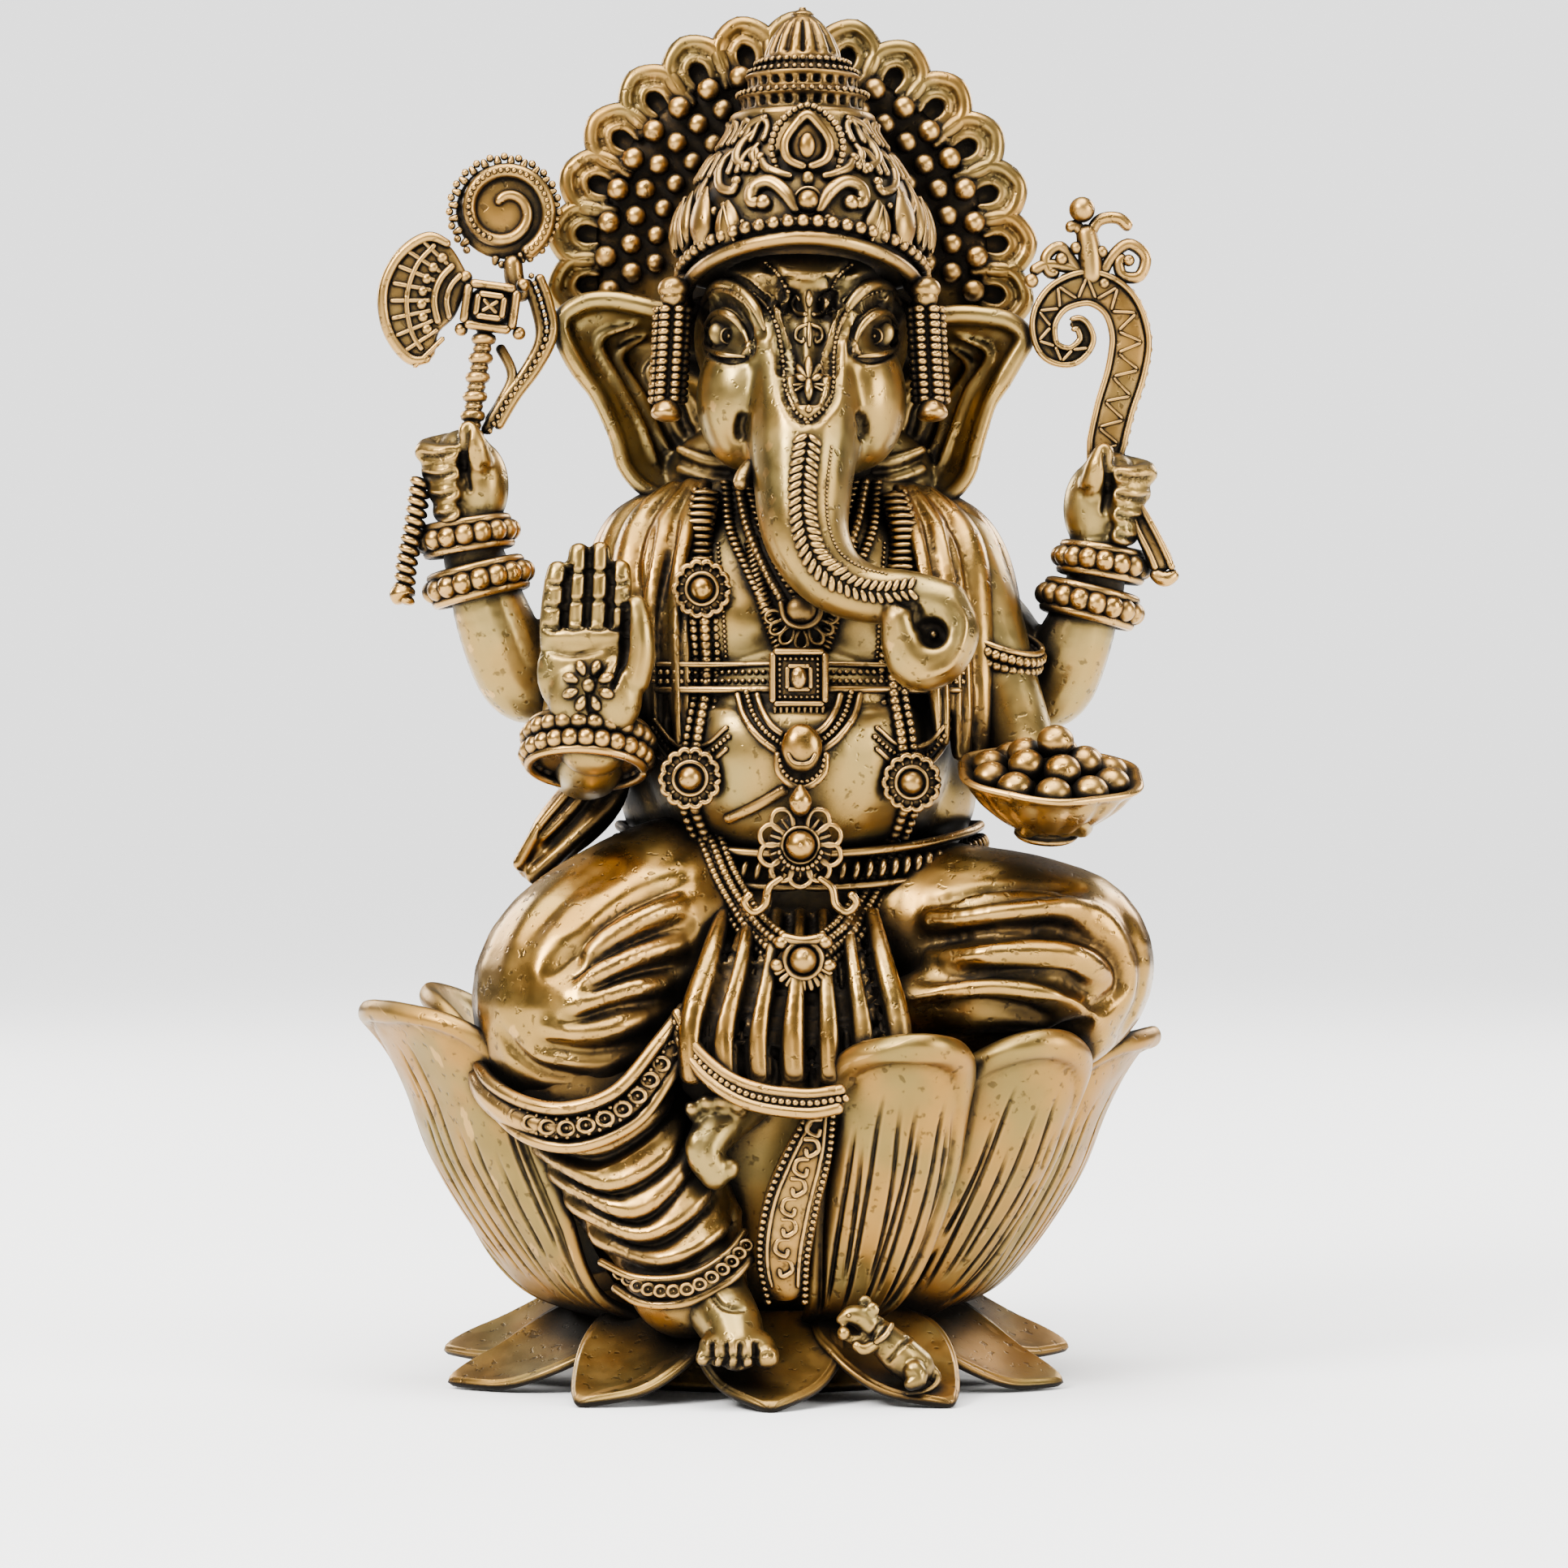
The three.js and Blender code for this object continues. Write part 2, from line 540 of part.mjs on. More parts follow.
for (const { count, ring, z } of sweetRows) {
  for (let i = 0; i < count; i += 1) {
    const [x, y] = around((2 * Math.PI * i) / count, ring, ring, z);
    sweets = sweets.add(blob([19.8 + x, -10.4 + y, z], [1.4, 1.4, 1.4], { around: 6, rows: 4 }));
  }
}
place(arms, 'bowl_of_sweets', 'ornament_brass', sweets);

// ---------- garlands and ornaments on the chest ----------

const jewels = section();

place(jewels, 'garland_right', 'ornament_brass', limb(
  [[-4.2, -6.4, 64.6], [-4.6, -9, 57.4], [-5, -11.6, 50], [-5.6, -12.8, 43.8], [-4.8, -13.6, 38.5],
    [-1.4, -15.2, 33.6], [0.8, -16, 31.8]],
  [1.6, 1.3, 1.3, 1.3, 1.2, 1.2, 1], { sides: 6, steps: 14 },
));
place(jewels, 'garland_left', 'ornament_brass', limb(
  [[9.6, -6.4, 64.6], [10, -8.6, 57.4], [10, -11, 50], [10.4, -12, 43.8], [9.6, -13.4, 38.5],
    [6.4, -15.2, 33.6], [4.4, -16, 31.8]],
  [1.6, 1.3, 1.3, 1.3, 1.2, 1.2, 1], { sides: 6, steps: 14 },
));

function medal(name, centre, radius, thick) {
  const geometry = new THREE.CylinderGeometry(radius, radius, thick, 14);
  geometry.translate(...centre);
  place(jewels, name, 'ornament_brass', toSolid(geometry));
}
medal('rosette_chest', [-4.6, -10.6, 57.4], 2.4, 2.4);
medal('rosette_belly_right', [-5.6, -13.2, 43.8], 2.5, 2.6);
medal('rosette_belly_left', [10.4, -12.6, 43.5], 2.5, 2.6);
medal('garland_medal', [bodyX + 0.1, -17.2, 31.2], 2.2, 2.4);
medal('chest_pendant', [bodyX, -11.4, 55.4], 2.2, 2.6);
medal('belly_brooch', [bodyX - 0.2, -15.2, 39.4], 3.4, 2.6);
place(jewels, 'chest_buckle', 'ornament_brass', joined(
  block([0.2, -13.6, 47.4], [4.4, -10.4, 52.4]),
  blob([bodyX, -13, 45.4], [2, 2, 2.7]),
));
// ---------- mouse on a ground petal ----------

place(jewels, 'mouse', 'skin_brass', joined(
  blob([8.8, -14.8, 3.9], [2.6, 2, 1.9], { turn: [0, 0.5, 0], around: 10, rows: 6 }),
  blob([6.6, -15, 6], [1.4, 1.2, 1.2], { around: 8, rows: 6 }),
));

export default figurine;
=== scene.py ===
# Looks for a brass figurine: a seated, four-armed, elephant-headed deity on a lotus
import math

import bmesh
import bpy
import numpy as np
from mathutils import Matrix, Vector
from mathutils.bvhtree import BVHTree


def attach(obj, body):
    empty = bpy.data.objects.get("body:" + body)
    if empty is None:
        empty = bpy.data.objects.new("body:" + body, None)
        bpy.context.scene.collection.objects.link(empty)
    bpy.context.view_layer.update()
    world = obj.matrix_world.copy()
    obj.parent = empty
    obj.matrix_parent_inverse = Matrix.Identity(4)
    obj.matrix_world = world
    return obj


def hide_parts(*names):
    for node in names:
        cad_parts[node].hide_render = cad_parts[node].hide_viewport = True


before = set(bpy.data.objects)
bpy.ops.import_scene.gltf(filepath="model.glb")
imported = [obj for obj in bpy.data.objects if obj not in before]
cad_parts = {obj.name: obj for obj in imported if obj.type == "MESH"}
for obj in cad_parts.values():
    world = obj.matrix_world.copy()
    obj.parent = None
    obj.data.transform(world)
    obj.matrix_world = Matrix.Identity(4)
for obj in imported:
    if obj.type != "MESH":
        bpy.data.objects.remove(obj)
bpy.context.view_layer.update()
millimetre = 0.001  # pieces are shaped in millimetres and brought to metres when finished
bodyX = 2.5  # the figure sits a little to the right of the lotus
farFront = -40  # where looks at the skins start, well in front of the figure


def say(stage):
    print("stage:", stage)


# small tools


def joinWords(name):
    first, *rest = name.split("_")
    return first + "".join(word.title() for word in rest)


def deselect():
    if bpy.context.object and bpy.context.object.mode != "OBJECT":
        bpy.ops.object.mode_set(mode="OBJECT")
    bpy.ops.object.select_all(action="DESELECT")


def activate(piece):
    deselect()
    piece.select_set(True)
    bpy.context.view_layer.objects.active = piece


def getPoints(piece):
    points = np.zeros(len(piece.data.vertices) * 3)
    piece.data.vertices.foreach_get("co", points)
    return points.reshape(-1, 3)


def setPoints(piece, points):
    piece.data.vertices.foreach_set("co", np.ascontiguousarray(points, dtype=float).ravel())
    piece.data.update()


def getNormals(piece):
    normals = np.zeros(len(piece.data.vertices) * 3)
    piece.data.vertices.foreach_get("normal", normals)
    return normals.reshape(-1, 3)


def unit(vector):
    vector = np.asarray(vector, float)
    return vector / max(np.linalg.norm(vector), 1e-9)


def smoothPath(points, count):
    # a smooth line through the given points, evenly spaced in their own numbering
    points = np.asarray(points, float)
    last = len(points) - 1
    padded = np.vstack([2 * points[0] - points[1], points, 2 * points[-1] - points[-2]])
    place = np.linspace(0, last, count)
    low = np.minimum(place.astype(int), last - 1)
    f = (place - low)[:, None]
    a, b, c, d = padded[low], padded[low + 1], padded[low + 2], padded[low + 3]
    curve = (2 * b) + (c - a) * f + (2 * a - 5 * b + 4 * c - d) * f**2
    return 0.5 * (curve + (3 * b - a - 3 * c + d) * f**3)


def evenPath(points, count):
    # the same line with equal steps along its length
    fine = smoothPath(points, 400)
    run = np.concatenate([[0], np.cumsum(np.linalg.norm(np.diff(fine, axis=0), axis=1))])
    steps = np.linspace(0, run[-1], count)
    return np.column_stack([np.interp(steps, run, fine[:, i]) for i in range(fine.shape[1])])


def pathLength(points):
    fine = smoothPath(points, 200)
    return float(np.linalg.norm(np.diff(fine, axis=0), axis=1).sum())


def evenFlat(line, count):
    # an even line from places given as (x, z)
    return evenPath([(x, 0, z) for x, z in line], count)


def moved(place, offsets):
    # places at small offsets from one place
    return [tuple(a + b for a, b in zip(place, offset)) for offset in offsets]


def onCircle(place, radius, degrees):
    # a place on an upright circle that faces forwards
    angle = math.radians(degrees)
    return (place[0] + radius * math.cos(angle), place[1], place[2] + radius * math.sin(angle))


def applyModifier(piece, kind, **settings):
    activate(piece)
    modifier = piece.modifiers.new(kind.title(), kind)
    for key, value in settings.items():
        setattr(modifier, key, value)
    bpy.ops.object.modifier_apply(modifier=modifier.name)
    return piece


def joinAll(pieces):
    deselect()
    for piece in pieces:
        piece.select_set(True)
    bpy.context.view_layer.objects.active = pieces[0]
    if len(pieces) > 1:
        bpy.ops.object.join()
    return bpy.context.object


def fuse(pieces, voxel, smooth):
    # runs separate lumps together into one skin
    piece = joinAll(pieces)
    faceOutwards(piece)
    applyModifier(piece, "REMESH", mode="VOXEL", voxel_size=voxel, adaptivity=0)
    settle(piece, smooth, 0.5)
    return piece


def faceOutwards(piece):
    activate(piece)
    bpy.ops.object.mode_set(mode="EDIT")
    bpy.ops.mesh.select_all(action="SELECT")
    bpy.ops.mesh.remove_doubles(threshold=0.0005)
    bpy.ops.mesh.normals_make_consistent(inside=False)
    bpy.ops.object.mode_set(mode="OBJECT")


def addBall(place, size, turn=(0, 0, 0), around=24, rings=16):
    # size is one radius, or three for a stretched ball
    size = np.broadcast_to(np.asarray(size, float), 3)
    deselect()
    bpy.ops.mesh.primitive_uv_sphere_add(segments=around, ring_count=rings, radius=1)
    ball = bpy.context.object
    grow = Matrix.Diagonal((size[0], size[1], size[2], 1))
    spin = Matrix.Rotation(
        turn[2], 4, "Z"
    ) @ Matrix.Rotation(turn[1], 4, "Y") @ Matrix.Rotation(turn[0], 4, "X")
    ball.data.transform(Matrix.Translation(place) @ spin @ grow)
    return ball


def addRing(place, radius, bar, stretch=(1, 1), around=40, sides=8):
    # a ring of round bar facing forwards; stretch widens it along its own two ways
    deselect()
    bpy.ops.mesh.primitive_torus_add(
        major_segments=around, minor_segments=sides, major_radius=radius, minor_radius=bar
    )
    ring = bpy.context.object
    spin = Vector((0, 0, 1)).rotation_difference(Vector((0, 1, 0))).to_matrix().to_4x4()
    ring.data.transform(Matrix.Translation(place) @ spin @ Matrix.Diagonal((stretch[0], stretch[1], 1, 1)))
    return ring


def addBar(points, radii, flat=1, facing=(0, -1, 0), sides=10, steps=20, taper=0):
    # a closed bar drawn along a smooth line; flat thins it towards facing
    deselect()
    bpy.ops.mesh.primitive_uv_sphere_add(segments=sides, ring_count=steps, radius=1)
    bar = bpy.context.object
    sphere = getPoints(bar)
    angle = np.arccos(np.clip(-sphere[:, 2], -1, 1)) / math.pi
    t = 0.55 * angle + 0.45 * (sphere[:, 2] + 1) / 2
    radii = np.broadcast_to(np.asarray(radii, float), (len(points),))
    fine = evenPath(np.column_stack([np.asarray(points, float), radii]), 240)
    along = np.linspace(0, 1, len(fine))
    centre = np.column_stack([np.interp(t, along, fine[:, i]) for i in range(3)])
    radius = np.interp(t, along, fine[:, 3])
    tangents = np.gradient(fine[:, :3], axis=0)
    tangents /= np.maximum(np.linalg.norm(tangents, axis=1), 1e-9)[:, None]
    tangent = np.column_stack([np.interp(t, along, tangents[:, i]) for i in range(3)])
    tangent /= np.linalg.norm(tangent, axis=1)[:, None]
    face = unit(facing)
    thin = face[None, :] - (tangent @ face)[:, None] * tangent
    thin /= np.maximum(np.linalg.norm(thin, axis=1), 1e-6)[:, None]
    wide = np.cross(thin, tangent)
    length = max(np.linalg.norm(np.diff(fine[:, :3], axis=0), axis=1).sum(), 1e-6)
    roundA = min(max(fine[0, 3] / length, 0.02), 0.5) * (1 - taper)
    roundB = min(max(fine[-1, 3] / length, 0.02), 0.5) * (1 - taper)
    capA = np.sqrt(np.clip(1 - (1 - np.clip(t / max(roundA, 0.01), 0, 1)) ** 2, 0, 1))
    capB = np.sqrt(np.clip(1 - (1 - np.clip((1 - t) / max(roundB, 0.01), 0, 1)) ** 2, 0, 1))
    size = radius * capA * capB
    spread = np.maximum(np.linalg.norm(sphere[:, :2], axis=1), 1e-9)
    x, y = sphere[:, 0] / spread, sphere[:, 1] / spread
    edge = np.linalg.norm(sphere[:, :2], axis=1) > 1e-6
    setPoints(
        bar, centre + (wide * (x * size * edge)[:, None]) + (thin * (y * size * flat * edge)[:, None])
    )
    return bar


def addTurned(profile, place, around=64, steps=48, depth=1, smoothed=True):
    # a turned piece on an upright axis, its profile given as [radius, height] from bottom to top
    deselect()
    bpy.ops.mesh.primitive_uv_sphere_add(segments=around, ring_count=steps, radius=1)
    piece = bpy.context.object
    sphere = getPoints(piece)
    t = np.arccos(np.clip(-sphere[:, 2], -1, 1)) / math.pi
    if smoothed:
        line = evenPath(profile, 300)
    else:
        corners = np.asarray(profile, float)
        run = np.concatenate([[0], np.cumsum(np.linalg.norm(np.diff(corners, axis=0), axis=1))])
        even = np.linspace(0, run[-1], 300)
        line = np.column_stack([np.interp(even, run, corners[:, i]) for i in range(2)])
    along = np.linspace(0, 1, len(line))
    radius = np.interp(t, along, line[:, 0])
    height = np.interp(t, along, line[:, 1])
    spread = np.linalg.norm(sphere[:, :2], axis=1)
    scale = np.where(spread > 1e-6, radius / np.maximum(spread, 1e-9), 0)
    x = sphere[:, 0] * scale + place[0]
    y = sphere[:, 1] * scale * depth + place[1]
    setPoints(piece, np.column_stack([x, y, height + place[2]]))
    return piece


def lineDistance(points, line):
    # distance from each point to a line of short straight steps, and how far along it is, 0 to 1
    best = np.full(len(points), 1e9)
    along = np.zeros(len(points))
    count = len(line) - 1
    for i in range(count):
        step = line[i + 1] - line[i]
        t = np.clip(((points - line[i]) @ step) / (step @ step + 1e-12), 0, 1)
        gap = np.linalg.norm(points - line[i] - t[:, None] * step, axis=1)
        near = gap < best
        best[near] = gap[near]
        along[near] = (i + t[near]) / count
    return best, along


def press(piece, line, width, depth, side=-1, taper=0.5, sharp=2):
    # pushes a groove (or with a negative depth raises a ridge) along a line given as (x, z);
    # side is -1 for the front of the piece and 1 for its back
    line = smoothPath(line, 24)
    points = getPoints(piece)
    normals = getNormals(piece)
    flat = points[:, [0, 2]]
    low, high = line.min(0) - 3 * width, line.max(0) + 3 * width
    near = np.all((flat > low) & (flat < high), axis=1)
    near &= normals[:, 1] * side > 0.05
    if not near.any():
        return
    gap, along = lineDistance(flat[near], line)
    push = depth * np.exp(-((gap / width) ** sharp))
    if taper:
        push *= np.clip(np.minimum(along, 1 - along) / taper * 2, 0, 1) ** 0.6
    push *= np.clip(normals[near, 1] * side * 3, 0, 1)
    points[near] -= normals[near] * push[:, None]
    setPoints(piece, points)


def pressAll(piece, marks):
    for line, width, depth in marks:
        press(piece, line, width, depth)


def settle(piece, rounds, factor):
    applyModifier(piece, "SMOOTH", factor=factor, iterations=rounds)


def buildMesh(name, points, faces):
    mesh = bpy.data.meshes.new(name)
    mesh.from_pydata(points.tolist(), [], faces)
    piece = bpy.data.objects.new(name, mesh)
    bpy.context.collection.objects.link(piece)
    return piece


def sheetFaces(rows, columns):
    # faces of a front sheet and a back sheet, both rows by columns, with the back numbered after
    size = rows * columns
    faces = []
    for j in range(rows - 1):
        for i in range(columns - 1):
            a = j * columns + i
            faces.append((a, a + 1, a + columns + 1, a + columns))
            faces.append((size + a, size + a + columns, size + a + columns + 1, size + a + 1))
    return faces


def copies(source, places):
    # one mesh made of many copies of a small one; places are 4 by 4 matrices
    points = getPoints(source)
    faces = [tuple(face.vertices) for face in source.data.polygons]
    homogeneous = np.column_stack([points, np.ones(len(points))])
    allPoints = np.vstack([(homogeneous @ np.array(place).T)[:, :3] for place in places])
    count = len(points)
    allFaces = [tuple(v + count * i for v in face) for i in range(len(places)) for face in faces]
    return buildMesh("copies", allPoints, allFaces)


def discard(piece):
    bpy.data.objects.remove(piece, do_unlink=True)


def smallBead(detail=2):
    deselect()
    bpy.ops.mesh.primitive_ico_sphere_add(subdivisions=detail, radius=1)
    return bpy.context.object


def addBeads(places, radius, squash=(1, 1, 1), detail=2):
    # round beads at the given places
    bead = smallBead(detail)
    sizes = np.broadcast_to(np.asarray(radius, float), (len(places),))
    grid = [
        Matrix.Translation(Vector(place)) @ Matrix.Diagonal(
            (size * squash[0], size * squash[1], size * squash[2], 1)
        )
        for place, size in zip(places, sizes)
    ]
    beads = copies(bead, grid)
    discard(bead)
    return beads


trees = []  # skins that ornaments are laid on


def skinTree(piece):
    corners = [vertex.co.copy() for vertex in piece.data.vertices]
    return BVHTree.FromPolygons(corners, [face.vertices for face in piece.data.polygons])


def keepSkin(piece):
    trees.append(skinTree(piece))


def finder(tree, missing):
    # finds the place straight in front of the figure on one skin, lifted off it
    def find(x, z, lift=0):
        hit = tree.ray_cast(Vector((x, farFront, z)), Vector((0, 1, 0)))[0]
        return (x, (hit.y if hit else missing) - lift, z)

    return find


def frontOf(x, z, lift=0, missing=-6):
    # the place straight in front of the figure at this height and side, lifted off its skin
    hits = [tree.ray_cast(Vector((x, farFront, z)), Vector((0, 1, 0)))[0] for tree in trees]
    depths = [hit.y for hit in hits if hit]
    return (x, (min(depths) if depths else missing) - lift, z)


def laidOn(line, count, lift=0, missing=-6, ease=0):
    # a smooth line given as (x, z) laid on the skin, its depth evened out a little
    rows = evenFlat(line, count)
    spots = np.array([frontOf(x, z, lift, missing) for x, _, z in rows])
    for _ in range(ease):
        spots[1:-1, 1] = np.minimum(spots[1:-1, 1], (spots[:-2, 1] + spots[2:, 1]) / 2)
        spots[1:-1, 1] = 0.5 * spots[1:-1, 1] + 0.25 * (spots[:-2, 1] + spots[2:, 1])
    return spots


# brass


def makeBrass(name, look):
    material = bpy.data.materials.new(name)
    material.use_nodes = True
    nodes, links = material.node_tree.nodes, material.node_tree.links
    nodes.clear()

    def node(kind, **values):
        made = nodes.new(kind)
        for key, value in values.items():
            setattr(made, key, value)
        return made

    def feed(made, values):
        # joins a socket to another, or gives it a plain value
        for number, value in values.items():
            if hasattr(value, "links"):
                links.new(value, made.inputs[number])
            else:
                made.inputs[number].default_value = value

    def mixColour(factor, first, second):
        mix = node("ShaderNodeMix", data_type="RGBA")
        feed(mix, {0: factor, 6: first, 7: second})
        return mix.outputs[2]

    def ramp(value, low, high):
        made = node("ShaderNodeValToRGB")
        made.color_ramp.interpolation = "EASE"
        made.color_ramp.elements[0].position = low
        made.color_ramp.elements[1].position = high
        links.new(value, made.inputs[0])
        return made.outputs[0]

    def maths(operation, first, second):
        made = node("ShaderNodeMath", operation=operation)
        feed(made, {0: first, 1: second})
        return made.outputs[0]

    output = node("ShaderNodeOutputMaterial")
    shader = node("ShaderNodeBsdfPrincipled")
    links.new(shader.outputs[0], output.inputs[0])
    shader.inputs["Metallic"].default_value = look["metallic"]
    place = node("ShaderNodeTexCoord").outputs["Object"]

    def noise(scale, detail):
        made = node("ShaderNodeTexNoise")
        feed(made, {"Scale": scale, "Detail": detail, "Roughness": 0.5, "Vector": place})
        return made.outputs["Fac"]

    def openness(reach):
        made = node("ShaderNodeAmbientOcclusion", samples=look["shadeSamples"])
        made.inputs["Distance"].default_value = reach
        return made.outputs["AO"]

    # painted shade and patina: the base colour goes near-black where ambient occlusion closes in; the short
    # reach marks patina in fine crevices and also paints shade where parts touch, the long reach paints
    # shade in deep hollows, between parts and where pieces meet the floor
    grime = maths("MULTIPLY", maths("SUBTRACT", noise(900, 3), 0.5), 0.25)
    finePatinaAndShade = ramp(maths("ADD", openness(look["fineReach"]), grime), *look["fineRange"])
    broadPaintedShade = ramp(openness(look["broadReach"]), *look["broadRange"])
    specks = ramp(noise(1500, 2), 0.3, 0.4)
    clean = maths("ADD", maths("MULTIPLY", specks, 0.55), 0.45)
    bareAndUnshaded = maths("MULTIPLY", maths("MULTIPLY", finePatinaAndShade, broadPaintedShade), clean)

    cloud = ramp(noise(160, 2), 0.35, 0.65)
    metal = mixColour(cloud, look["colour"], look["warm"])
    edge = ramp(node("ShaderNodeNewGeometry").outputs["Pointiness"], 0.5, 0.58)
    metal = mixColour(maths("MULTIPLY", edge, look["wear"]), metal, look["worn"])
    # bare metal where open, the near-black patina and painted shade colour where occluded
    links.new(mixColour(bareAndUnshaded, look["recess"], metal), shader.inputs["Base Color"])

    smear = maths("MULTIPLY", ramp(noise(420, 4), 0.3, 0.8), look["roughSpread"])
    polished = maths("ADD", smear, look["rough"])
    dull = maths("SUBTRACT", 0.62, maths("MULTIPLY", bareAndUnshaded, 0.62))
    links.new(maths("MAXIMUM", polished, dull), shader.inputs["Roughness"])

    grain = maths("ADD", maths("MULTIPLY", specks, 0.6), maths("MULTIPLY", noise(500, 3), 0.8))
    bump = node("ShaderNodeBump")
    bump.inputs["Strength"].default_value = look["bump"]
    bump.inputs["Distance"].default_value = 0.0001
    links.new(grain, bump.inputs["Height"])
    links.new(bump.outputs[0], shader.inputs["Normal"])
    return material


brassBase = {
    "metallic": 1,
    "colour": (0.25, 0.165, 0.047, 1),
    "warm": (0.3, 0.155, 0.032, 1),
    "worn": (0.58, 0.33, 0.095, 1),
    # near-black colour for patina in crevices and for painted shade in hollows, between parts and at the
    # floor
    "recess": (0.012, 0.01, 0.008, 1),
    "wear": 0.6,
    "rough": 0.24,
    "roughSpread": 0.16,
    "bump": 0.35,
    "fineReach": 0.0008,
    "broadReach": 0.0045,
    "fineRange": (0.76, 0.98),
    "broadRange": (0.54, 0.9),
    "shadeSamples": 6,
}
brassLooks = {
    "lotus_brass": {"colour": (0.2, 0.135, 0.038, 1), "rough": 0.34, "roughSpread": 0.2, "wear": 0.5},
    "drapery_brass": {"colour": (0.3, 0.18, 0.045, 1), "rough": 0.22},
    "skin_brass": {"colour": (0.27, 0.19, 0.06, 1), "warm": (0.31, 0.19, 0.05, 1), "rough": 0.27},
    "crown_brass": {"colour": (0.22, 0.145, 0.042, 1), "rough": 0.28, "wear": 0.8},
    "ornament_brass": {"colour": (0.28, 0.165, 0.042, 1), "wear": 0.8, "rough": 0.24},
    "emblem_brass": {"colour": (0.27, 0.175, 0.05, 1), "wear": 0.7, "rough": 0.28},
}
brass = {slot: makeBrass(joinWords(slot), {**brassBase, **look}) for slot, look in brassLooks.items()}


def finishPiece(parts, name, slot, nodes=None):
    # joins and cleans shaped parts, brings them to metres and attaches them to the root body;
    # a piece stands for the node it is named after, unless nodes says otherwise
    piece = joinAll(parts) if isinstance(parts, list) else parts
    nodes = [name] if nodes is None else nodes
    name = joinWords(name)
    faceOutwards(piece)
    activate(piece)
    bpy.ops.object.shade_smooth()
    piece.data.transform(Matrix.Scale(millimetre, 4))
    piece.matrix_world = Matrix.Identity(4)
    piece.name = name
    piece.data.name = name
    piece.data.materials.clear()
    piece.data.materials.append(brass[slot])
    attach(piece, "root")
    if nodes:
        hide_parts(*nodes)


# camera, light and floor


def makeStudio():
    cameraData = bpy.data.cameras.new("camera")
    cameraData.lens = 110
    cameraData.sensor_width = 36
    cameraData.clip_start = 0.01
    camera = bpy.data.objects.new("camera", cameraData)
    camera.location = (0.00125, -0.35, 0.0435)  # level with the middle of the figure
    camera.rotation_euler = (math.radians(90), 0, 0)
    bpy.context.scene.collection.objects.link(camera)
    bpy.context.scene.camera = camera

    lamps = {
        "keyLamp": {"at": (-0.3, -0.34, 0.36), "size": 0.2, "power": 5.2},
        "fillLamp": {"at": (0.42, -0.26, 0.16), "size": 0.28, "power": 2.8},
        "topLamp": {"at": (0.05, -0.05, 0.5), "size": 0.3, "power": 1.6},
        "lowLamp": {"at": (-0.08, -0.5, 0.02), "size": 0.16, "power": 0.4},
        "rearLeftLamp": {"at": (-0.34, 0.34, 0.24), "size": 0.24, "power": 2},
        "rearRightLamp": {"at": (0.34, 0.36, 0.28), "size": 0.24, "power": 2},
    }
    for name, lamp in lamps.items():
        data = bpy.data.lights.new(name, "AREA")
        data.shape = "DISK"
        data.size = lamp["size"]
        data.energy = lamp["power"]
        data.color = (1, 0.98, 0.95)
        light = bpy.data.objects.new(name, data)
        light.location = lamp["at"]
        aim = Vector((0.002, 0, 0.05)) - Vector(lamp["at"])
        light.rotation_euler = aim.to_track_quat("-Z", "Y").to_euler()
        bpy.context.scene.collection.objects.link(light)

    sunData = bpy.data.lights.new("skyLamp", "SUN")
    sunData.energy = 7
    sunData.angle = math.radians(60)
    sun = bpy.data.objects.new("skyLamp", sunData)
    sun.rotation_euler = (math.radians(18), math.radians(-8), 0)
    bpy.context.scene.collection.objects.link(sun)

    world = bpy.data.worlds.new("studio")
    bpy.context.scene.world = world
    world.use_nodes = True
    nodes, links = world.node_tree.nodes, world.node_tree.links
    nodes.clear()
    out = nodes.new("ShaderNodeOutputWorld")
    room = nodes.new("ShaderNodeBackground")
    pale = nodes.new("ShaderNodeBackground")
    pale.inputs["Color"].default_value = (1, 1, 1, 1)
    pale.inputs["Strength"].default_value = 2.25
    where = nodes.new("ShaderNodeTexCoord")
    split = nodes.new("ShaderNodeSeparateXYZ")
    shade = nodes.new("ShaderNodeValToRGB")
    shade.color_ramp.elements[0].position = 0
    shade.color_ramp.elements[0].color = (0.04, 0.04, 0.04, 1)
    shade.color_ramp.elements[1].position = 1
    shade.color_ramp.elements[1].color = (0.45, 0.45, 0.45, 1)
    middle = shade.color_ramp.elements.new(0.5)
    middle.color = (0.1, 0.1, 0.1, 1)
    lift = nodes.new("ShaderNodeMapRange")
    lift.inputs["From Min"].default_value = -1
    links.new(where.outputs["Generated"], split.inputs[0])
    links.new(split.outputs["Z"], lift.inputs["Value"])
    links.new(lift.outputs[0], shade.inputs[0])
    links.new(shade.outputs[0], room.inputs["Color"])
    path = nodes.new("ShaderNodeLightPath")
    mix = nodes.new("ShaderNodeMixShader")
    links.new(path.outputs["Is Camera Ray"], mix.inputs[0])
    links.new(room.outputs[0], mix.inputs[1])
    links.new(pale.outputs[0], mix.inputs[2])
    links.new(mix.outputs[0], out.inputs[0])

    deselect()
    bpy.ops.mesh.primitive_circle_add(vertices=96, radius=3, fill_type="NGON")
    floor = bpy.context.object
    floor.name = "floor"
    paint = bpy.data.materials.new("paleFloor")
    paint.use_nodes = True
    surface = paint.node_tree.nodes["Principled BSDF"]
    surface.inputs["Base Color"].default_value = (0.92, 0.92, 0.92, 1)
    surface.inputs["Roughness"].default_value = 0.9
    surface.inputs["Specular IOR Level"].default_value = 0
    floor.data.materials.append(paint)


makeStudio()
say("studio ready")


# lotus


